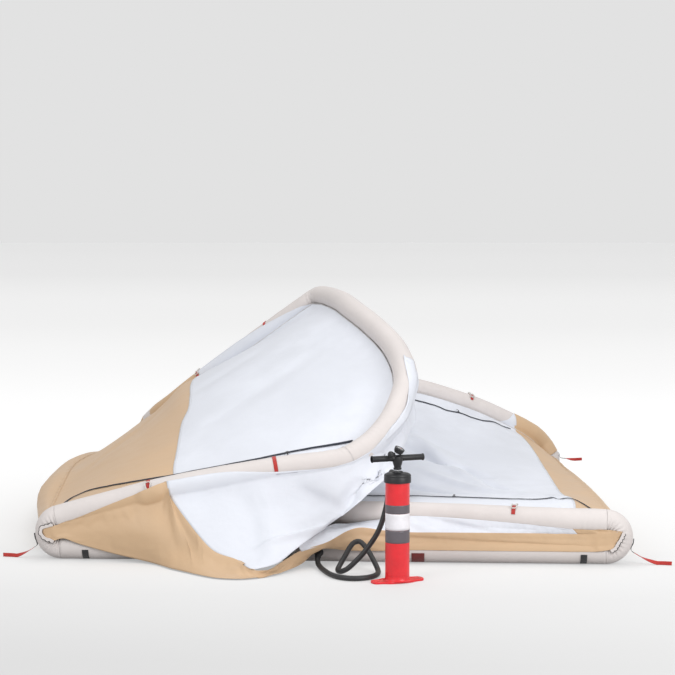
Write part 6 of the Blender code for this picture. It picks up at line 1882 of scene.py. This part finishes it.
# %% [markdown]
# ## The hand pump
# The pump is a turned barrel on a moulded foot, with a cap, a rod and a T handle that carries a pressure
# gauge and a relief knob. Turned parts are lathed from a profile, and every outer edge gets a small round,
# because moulded parts have no knife edges and the round is what catches the light.

# %% A lathe
LATHE_SIDES = 72


def turned(name, profile, finish, base, direction, sides=LATHE_SIDES, bevel=0.0008, flutes=None):
    """A turned piece from (radius, height) pairs down its outer side, stood on a base along a direction.

    Flutes are (first height, last height, count, depth): grooves along the piece between two heights.
    """
    verts, rings = [], []
    for radius, height in profile:
        if radius < 1e-6:
            rings.append([len(verts)])
            verts.append((0.0, 0.0, height))
            continue
        ring = []
        for k in range(sides):
            turn = 2 * math.pi * k / sides
            r = radius
            if flutes and flutes[0] < height < flutes[1]:
                r -= flutes[3] * max(math.cos(turn * flutes[2]), 0.0) ** 0.5
            ring.append(len(verts))
            verts.append((r * math.cos(turn), r * math.sin(turn), height))
        rings.append(ring)
    faces = []
    for a, b in zip(rings, rings[1:]):
        for k in range(sides):
            n = (k + 1) % sides
            if len(a) == 1 and len(b) > 1:
                faces.append((a[0], b[k], b[n]))
            elif len(b) == 1 and len(a) > 1:
                faces.append((a[k], b[0], a[n]))
            elif len(a) > 1:
                faces.append((a[k], b[k], b[n], a[n]))
    made = piece(name, verts, faces, finish)
    if bevel:
        made.data.set_sharp_from_angle(angle=math.radians(32))
        rounded = made.modifiers.new("rounds", "BEVEL")
        rounded.width = bevel
        rounded.segments = 3
        rounded.limit_method = "ANGLE"
        rounded.angle_limit = math.radians(32)
        rounded.harden_normals = True
        apply_all(made)
    turn = Vector(direction).to_track_quat("Z", "Y").to_matrix().to_4x4()
    made.data.transform(Matrix.Translation(Vector(base)) @ turn)
    return facing_out(made)


UP = points((0.0, 0.0, 1.0))
BARREL_WALL = 0.003
ROD_DIAMETER = 0.016
barrel_base = PUMP + UP * BARREL_BASE
outer = BARREL_DIAMETER / 2
inner = outer - BARREL_WALL
barrel = turned("barrel", [(0.0, BARREL_WALL), (inner, BARREL_WALL), (inner, BARREL_LENGTH),
                           (outer, BARREL_LENGTH), (outer, 0.0), (0.0, 0.0)], RED_PLASTIC, barrel_base, UP)
dress(barrel, "tent_base", "red_plastic", "pump_barrel")

# %% [markdown]
# ## Label bands
# The barrel has three plain bands of thin film laid round its front, two grey ones and a white one between
# them.

# %% Label film
FILM = 0.00035


def film(name, low_height, high_height, finish):
    """A thin curved film on the barrel between two heights above the floor."""
    turns = np.radians(np.linspace(-90 - 79, -90 + 96, 64))
    heights = np.linspace(low_height, high_height, 8)
    reach = outer + FILM / 2 + 0.00008
    grid = points([[(PUMP[0] + reach * math.cos(t), PUMP[1] + reach * math.sin(t), z) for t in turns]
                   for z in heights])
    made = sheet_piece(name, grid, finish, FILM)
    return dress(made, "tent_base", "grey_plastic")


film("label_upper_grey", 0.306, 0.3435, LABEL_GREY)
film("label_white", 0.2335, 0.3055, LABEL_WHITE)
film("label_lower_grey", 0.1765, 0.2330, LABEL_GREY)

# %% Cap, rod, piston and seal
bore = ROD_DIAMETER / 2 + 0.0006
lip = BARREL_LENGTH - 0.014
under = BARREL_LENGTH + SEAT
top = BARREL_LENGTH + CAP_HEIGHT
cap_radius = CAP_DIAMETER / 2
collar = 0.022
cap = turned("cap", [(bore, top), (collar, top), (collar + 0.003, top - 0.006),
                     (cap_radius - 0.012, top - 0.0085), (cap_radius - 0.003, top - 0.013),
                     (cap_radius, top - 0.018), (cap_radius, top - 0.022), (cap_radius - 0.001, top - 0.024),
                     (cap_radius, top - 0.026), (cap_radius, lip + 0.001),
                     (outer + SEAT, lip), (outer + SEAT, under), (bore, under), (bore, top)],
             BLACK_PLASTIC, barrel_base, UP)
dress(cap, "tent_base", "black_plastic", "pump_cap")
for node, finish in (("pump_rod", BRIGHT_METAL), ("pump_piston", GREY_PLASTIC), ("piston_seal", SEAL_RUBBER)):
    shown = frame["nodes"][node]
    shown.data.materials.clear()
    shown.data.materials.append(finish)

# %% [markdown]
# ## The foot
# The foot is a treadle with two broad wings to stand on. It is cut from an outline, thickened, and its
# edges are rounded.

# %% Foot
FOOT_WIDTH = 0.245
FOOT_DEPTH = 0.100
FOOT_OUTLINE_SHARES = [
    (0.12, -0.50), (0.22, -0.46), (0.30, -0.36), (0.37, -0.31), (0.44, -0.29), (0.48, -0.22), (0.50, -0.08),
    (0.50, 0.08), (0.48, 0.22), (0.44, 0.29), (0.37, 0.31), (0.30, 0.36), (0.22, 0.46), (0.12, 0.50),
]
turn = math.radians(PUMP_TURN)
FOOT_ACROSS = points((math.cos(turn), math.sin(turn), 0.0))
FOOT_BACK = points((-math.sin(turn), math.cos(turn), 0.0))
right = points(FOOT_OUTLINE_SHARES) * (FOOT_WIDTH, FOOT_DEPTH)
outline = np.concatenate([right, (right * (-1, 1))[::-1]])
outline = through(np.concatenate([outline, outline[:1]]), 3)[:-1]
levels = [(0.0, 0.985), (0.0012, 1.0), (0.0085, 1.0), (0.0100, 0.985), (0.0100, 0.93), (0.0080, 0.90)]
verts, faces = [], []
for height, share in levels:
    verts += [PUMP + FOOT_ACROSS * x * share + FOOT_BACK * y * share + UP * height for x, y in outline]
count = len(outline)
for level in range(len(levels) - 1):
    for k in range(count):
        n = (k + 1) % count
        faces.append((level * count + k, level * count + n, (level + 1) * count + n, (level + 1) * count + k))
faces.append(tuple(range(count))[::-1])
faces.append(tuple(range((len(levels) - 1) * count, len(levels) * count)))
foot = facing_out(piece("foot_plate", verts, faces, RED_PLASTIC))
foot.data.set_sharp_from_angle(angle=math.radians(40))
dress(foot, "tent_base", "red_plastic", "pump_foot")
boss = turned("foot_boss", [(0.0, 0.030), (outer, 0.030), (outer + 0.0005, 0.018), (outer + 0.003, 0.012),
                            (outer + 0.010, 0.0083), (0.0, 0.0070)], RED_PLASTIC, PUMP, UP)
dress(boss, "tent_base", "red_plastic")

# %% Handle hub, bar and grips
HANDLE_LIFT = 0.051
HANDLE_WIDTH = 0.247
HANDLE_DIAMETER = 0.025
HANDLE_END_DIAMETER = 0.031
hub_base = barrel_base + UP * (BARREL_LENGTH + CAP_HEIGHT + 0.006)
handle_middle = hub_base + UP * HANDLE_LIFT
hub = turned("hub", [(0.0, 0.062), (0.016, 0.062), (0.0225, 0.058), (0.0235, 0.050), (0.0235, 0.042),
                     (0.021, 0.030), (0.016, 0.014), (0.0155, 0.010), (0.018, 0.008), (0.018, 0.002),
                     (0.015, 0.0), (0.0, 0.0)], BLACK_PLASTIC, hub_base, UP)
dress(hub, "pump_plunger", "black_plastic", "handle_hub")
half = HANDLE_WIDTH / 2
end = HANDLE_END_DIAMETER / 2
grip = HANDLE_DIAMETER / 2
side = [
    (0.0, half - 0.016), (end - 0.0035, half - 0.016), (end - 0.003, half), (end, half),
    (end, half - 0.004), (grip + 0.0006, half - 0.009),
]
steps = np.linspace(half - 0.012, 0.031, 10)
side += [(grip, float(step)) for step in steps] + [(grip + 0.0015, 0.029), (grip + 0.0015, 0.0)]
profile = side + [(radius, -height) for radius, height in reversed(side[:-1])]
bar = turned("handle", profile, BLACK_PLASTIC, handle_middle, FOOT_ACROSS, bevel=0.0006)
dress(bar, "pump_plunger", "black_plastic", "handle_bar")
ribs = []
for k in range(12):
    turn = 2 * math.pi * k / 12
    out = FOOT_BACK * math.cos(turn) + UP * math.sin(turn)
    for sign in (-1, 1):
        line = points([handle_middle + out * (grip + 0.0002) + FOOT_ACROSS * sign * step
                       for step in (half - 0.014, 0.034)])
        ribs.append((line, np.broadcast_to(out, line.shape)))
grip_ribs = row_of_seeds("grip_ribs", ribs, 0.0066, 0.0080, 0.0030, 0.0016, BLACK_PLASTIC)
dress(grip_ribs, "pump_plunger", "black_plastic")

# %% [markdown]
# ## Gauge and knob
# The gauge tilts up and back on the hub, so that whoever pumps can read it. Its dial has a ring of ticks
# and no figures. The knob on the other side lets the pressure off.

# %% Gauge
GAUGE_TILT = unit(points((0.45, -0.15, 0.88)))
GAUGE_DEPTH = 0.024
GAUGE_RADIUS = 0.023
gauge_seat = handle_middle + UP * (grip + 0.010)
gauge_base = gauge_seat + GAUGE_TILT * SEAT
dial_floor = GAUGE_DEPTH - 0.0050
rim_inner = GAUGE_RADIUS - 0.004
case = turned("gauge_cup", [(0.0, dial_floor - 0.0006), (rim_inner, dial_floor - 0.0006),
                            (rim_inner, GAUGE_DEPTH), (GAUGE_RADIUS - 0.0012, GAUGE_DEPTH),
                            (GAUGE_RADIUS, GAUGE_DEPTH - 0.0012), (GAUGE_RADIUS, GAUGE_DEPTH - 0.006),
                            (GAUGE_RADIUS - 0.0012, GAUGE_DEPTH - 0.0068), (GAUGE_RADIUS - 0.0012, 0.009),
                            (0.0165, 0.0), (0.0, 0.0)],
              BLACK_PLASTIC, gauge_base, GAUGE_TILT, bevel=0.0003)
dress(case, "pump_plunger", "black_plastic", "gauge_case")
face = turned("gauge_dial", [(0.0, dial_floor), (rim_inner - 0.0002, dial_floor),
                             (rim_inner - 0.0002, dial_floor - 0.0005), (0.0, dial_floor - 0.0005)],
              DIAL_WHITE, gauge_base, GAUGE_TILT, bevel=0.0)
dress(face, "pump_plunger", "black_plastic")
dial_first = unit(np.cross(GAUGE_TILT, UP))
dial_second = np.cross(GAUGE_TILT, dial_first)
ticks = []
for k in range(28):
    turn = math.radians(-225 + 270 * k / 27)
    out = dial_first * math.cos(turn) + dial_second * math.sin(turn)
    reach = 0.0125 if k % 3 else 0.0110
    line = points([gauge_base + GAUGE_TILT * (dial_floor + 0.0001) + out * r for r in (reach, 0.0160)])
    ticks.append((line, np.broadcast_to(GAUGE_TILT, line.shape)))
marks = row_of_seeds("dial_ticks", ticks, 0.0006, 0.0009, 0.0005, 0.0003, BLACK_PLASTIC)
dress(marks, "pump_plunger", "black_plastic")
glass = turned("gauge_window", [(0.0, GAUGE_DEPTH - 0.0001), (rim_inner - 0.003, GAUGE_DEPTH - 0.0003),
                                (rim_inner - 0.0004, GAUGE_DEPTH - 0.0008),
                                (rim_inner - 0.0004, GAUGE_DEPTH - 0.0016), (0.0, GAUGE_DEPTH - 0.0016)],
               GLASS.material, gauge_base, GAUGE_TILT, bevel=0.0)
dress(glass, "pump_plunger", "gauge_glass", "gauge_lens")
needle_base = gauge_base + GAUGE_TILT * (dial_floor + 0.0004)
needle_matrix = Vector(GAUGE_TILT).to_track_quat("Z", "Y").to_matrix()
needle_way = points(needle_matrix @ Vector((1.0, 0.0, 0.0)))
needle_side = points(needle_matrix @ Vector((0.0, 1.0, 0.0)))
tip, tail = 0.0150, -0.0050
rows = []
for height in (0.0, 0.0009):
    rows += [needle_base + needle_way * a + needle_side * b + GAUGE_TILT * height for a, b in
             ((tail, -0.0011), (-0.001, -0.0013), (tip, -0.0002), (tip, 0.0002),
              (-0.001, 0.0013), (tail, 0.0011))]
needle_faces = [tuple(range(6))[::-1], tuple(range(6, 12))] + [(k, (k + 1) % 6, 6 + (k + 1) % 6, 6 + k)
                                                               for k in range(6)]
needle = facing_out(piece("needle_pointer", rows, needle_faces, NEEDLE_RED))
needle.data.set_sharp_from_angle(angle=math.radians(30))
dress(needle, "needle", "red_plastic", "gauge_needle")
pivot = turned("needle_boss", [(0.0, 0.0014), (0.0018, 0.0012), (0.0022, 0.0), (0.0, 0.0)], BLACK_PLASTIC,
               needle_base + GAUGE_TILT * 0.0006, GAUGE_TILT, sides=24, bevel=0.0)
dress(pivot, "needle", "black_plastic")

# %% Relief knob
KNOB_WAY = unit(points((-0.55, -0.83, 0.0)))
knob_foot = gauge_seat - UP * 0.002
ball = 0.015
start = 0.025 + SEAT
centre = start + 0.010 + ball
arc = [(ball * math.sin(t), centre + ball * math.cos(t)) for t in np.linspace(0.0, math.pi - 0.41, 14)]
arc[0] = (0.0, centre + ball)
knob = turned("relief_knob", arc + [(0.006, start + 0.004), (0.0068, start + 0.002), (0.0068, start),
                                    (0.0, start)],
              BLACK_PLASTIC, knob_foot, KNOB_WAY, sides=48, bevel=0.0003,
              flutes=(centre - 0.010, centre + 0.0105, 14, 0.0009))
dress(knob, "knob", "black_plastic", "pressure_knob")

# %% [markdown]
# ## Hose ends
# The hose is gripped by a ribbed sleeve at each end. The nozzle twists into the valve on the front beam.

# %% Port, nozzle and valve
hose_radius = HOSE_DIAMETER / 2
ribbed_port = [(0.0, HOSE_PORT_LENGTH)]
for k in range(5):
    height = HOSE_PORT_LENGTH - 0.001 - k * 0.005
    ribbed_port += [(hose_radius - 0.0012, height), (hose_radius, height - 0.001),
                    (hose_radius, height - 0.003), (hose_radius - 0.0012, height - 0.004)]
port = turned("port_sleeve", ribbed_port + [(hose_radius - 0.003, 0.0), (0.0, 0.0)], BLACK_PLASTIC, PORT_SEAT,
              PORT_OUT, sides=48, bevel=0.0003)
dress(port, "tent_base", "black_plastic", "hose_port")
grip_start = VALVE_DEPTH + SEAT
nozzle_end = grip_start + NOZZLE_LENGTH
nozzle_profile = [(0.0, nozzle_end), (hose_radius, nozzle_end), (hose_radius + 0.003, nozzle_end - 0.003)]
for k in range(5):
    height = nozzle_end - 0.006 - k * 0.0055
    nozzle_profile += [(hose_radius + 0.003, height), (hose_radius + 0.0015, height - 0.001),
                       (hose_radius + 0.0015, height - 0.002), (hose_radius + 0.003, height - 0.003)]
nozzle_profile += [(hose_radius + 0.003, grip_start + hose_radius), (0.013, grip_start), (0.007, grip_start),
                   (0.007, VALVE_DEPTH - 0.012), (0.0, VALVE_DEPTH - 0.012)]
nozzle = turned("nozzle_sleeve", nozzle_profile, BLACK_PLASTIC, VALVE_SEAT, VALVE_OUT, sides=48, bevel=0.0003)
dress(nozzle, "tent_base", "black_plastic", "hose_nozzle")
bore = 0.0076
valve = turned("valve_ring", [(0.0, 0.0034), (bore, 0.0034), (bore, VALVE_DEPTH), (0.0122, VALVE_DEPTH),
                              (0.013, VALVE_DEPTH - 0.001), (0.013, 0.0045), (0.0155, 0.0032),
                              (0.0205, 0.0028), (0.022, 0.0014), (0.022, 0.0), (0.0, 0.0)],
               BLACK_PLASTIC, VALVE_SEAT, VALVE_OUT, sides=48, bevel=0.0003)
dress(valve, "tent_base", "black_plastic", "valve_body")
print("pump dressed")

# %% [markdown]
# ## Floor, backdrop and light
# The object stands on a plain pale floor in a soft studio. The floor looks white near the object and falls
# to pale grey in the distance and at the front edge, which is painted light: the floor glows by its Y to
# paint the pool of lamp light and its fall-off. The backdrop above the horizon is a plain light grey. The
# glow and the grey are only seen by the camera and in reflections, and the light on the object stays at a
# plain level.

# %% Floor and backdrop
FLOOR_BASE = 0.45
FLOOR_FRONT = -8.0
RAMP_SCALE = 0.3
SKY_LIGHT = 0.66
SKY_LOOK = 0.7605
# How bright the floor looks by its Y, and how much of that its own lit colour already gives. The rest is
# painted light, a camera-only glow that paints the pool of lamp light on the floor.
FLOOR_LOOK = [
    (-5.0, 0.77, 0.63), (-3.27, 0.807, 0.63), (-2.98, 0.823, 0.62), (-2.58, 0.863, 0.615),
    (-2.13, 0.88, 0.59), (-1.6, 0.93, 0.565), (-1.0, 0.956, 0.54), (-0.29, 0.982, 0.51), (0.57, 1.01, 0.48),
    (1.6, 1.03, 0.44), (2.9, 1.03, 0.40), (4.5, 1.02, 0.36), (6.6, 0.995, 0.335), (9.6, 0.956, 0.325),
    (13.8, 0.922, 0.316), (20.5, 0.88, 0.319), (32.9, 0.863, 0.311), (62.9, 0.807, 0.32),
    (105.0, 0.80, 0.32), (243.0, 0.783, 0.32), (1900.0, 0.775, 0.32),
]
floor_finish = Finish("studio_floor", 0.9, Specular_IOR_Level=0.1, Emission_Strength=1.0)
floor_y = floor_finish.parts(floor_finish.place())[1]
reach = floor_finish.maths("LOGARITHM", floor_y - FLOOR_FRONT, 10.0) * RAMP_SCALE
seen = floor_finish.node("ShaderNodeLightPath")
seen_glossy = floor_finish.node("ShaderNodeLightPath", out=3)
seen_through = floor_finish.node("ShaderNodeLightPath", out=6)
# Painted light: the glow by the floor's Y, seen only by the camera and in reflections, paints the pool of
# lamp light on the floor and its fall-off.
painted_floor_glow = floor_finish.node("ShaderNodeValToRGB", feeds={0: reach})
ramp = painted_floor_glow.socket.node.color_ramp
for k, (y, wanted, lit) in enumerate(FLOOR_LOOK):
    at = RAMP_SCALE * math.log10(y - FLOOR_FRONT)
    stop = ramp.elements[k] if k < 2 else ramp.elements.new(at)
    stop.position = at
    stop.color = (wanted - lit, wanted - lit, wanted - lit, 1.0)
shown = floor_finish.maths("MAXIMUM", floor_finish.maths("MAXIMUM", seen, seen_glossy), seen_through)
floor_finish.feed(floor_finish.shader.inputs["Emission Color"],
                  floor_finish.mix((0.0, 0.0, 0.0, 1.0), painted_floor_glow, shown))
floor_finish.finish(floor_finish.mix((0.50, 0.50, 0.50, 1.0),
                                     (FLOOR_BASE, FLOOR_BASE, FLOOR_BASE, 1.0), shown))
floor = piece("studio_floor", [(-1500.0, -7.9, 0.0), (1500.0, -7.9, 0.0), (1500.0, 3000.0, 0.0),
                               (-1500.0, 3000.0, 0.0)], [(0, 1, 2, 3)], floor_finish.material)
floor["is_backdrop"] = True

world = bpy.data.worlds.new("studio")
SCENE.world = world
world.use_nodes = True
sky = world.node_tree
sky.nodes.clear()
seen = sky.nodes.new("ShaderNodeLightPath")
either = sky.nodes.new("ShaderNodeMath")
either.operation = "MAXIMUM"
sky.links.new(seen.outputs["Is Camera Ray"], either.inputs[0])
sky.links.new(seen.outputs["Is Glossy Ray"], either.inputs[1])
also = sky.nodes.new("ShaderNodeMath")
also.operation = "MAXIMUM"
sky.links.new(either.outputs[0], also.inputs[0])
sky.links.new(seen.outputs["Is Transmission Ray"], also.inputs[1])
lit = sky.nodes.new("ShaderNodeBackground")
lit.inputs["Color"].default_value = (1.0, 1.0, 1.0, 1.0)
lit.inputs["Strength"].default_value = SKY_LIGHT
shown = sky.nodes.new("ShaderNodeBackground")
shown.inputs["Color"].default_value = (SKY_LOOK, SKY_LOOK, SKY_LOOK, 1.0)
shown.inputs["Strength"].default_value = 1.0
either_way = sky.nodes.new("ShaderNodeMixShader")
sky.links.new(also.outputs[0], either_way.inputs["Fac"])
sky.links.new(lit.outputs[0], either_way.inputs[1])
sky.links.new(shown.outputs[0], either_way.inputs[2])
result = sky.nodes.new("ShaderNodeOutputWorld")
sky.links.new(either_way.outputs[0], result.inputs["Surface"])


# %% Lamps
def lamp(name, place, target, size, energy):
    light = bpy.data.lights.new(name, "AREA")
    light.shape = "RECTANGLE"
    light.size, light.size_y = size
    light.energy = energy
    made = bpy.data.objects.new(name, light)
    made.location = place
    made.rotation_euler = (Vector(target) - Vector(place)).to_track_quat("-Z", "Y").to_euler()
    SCENE.collection.objects.link(made)
    return made


lamp("key_softbox", (-3.0, -5.6, 3.4), (0.0, -0.6, 0.4), (3.0, 2.6), 90.0)
lamp("top_softbox", (0.4, -0.4, 5.2), (0.0, 0.0, 0.0), (4.5, 3.5), 88.0)
lamp("right_fill", (3.8, -5.2, 2.6), (0.3, -0.6, 0.3), (2.6, 2.4), 152.0)
SCENE.view_settings.view_transform = "Standard"

# %% [markdown]
# ## Finish
# The dressed model's box is measured over every piece that is shown, leaving out the floor.

low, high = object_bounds()
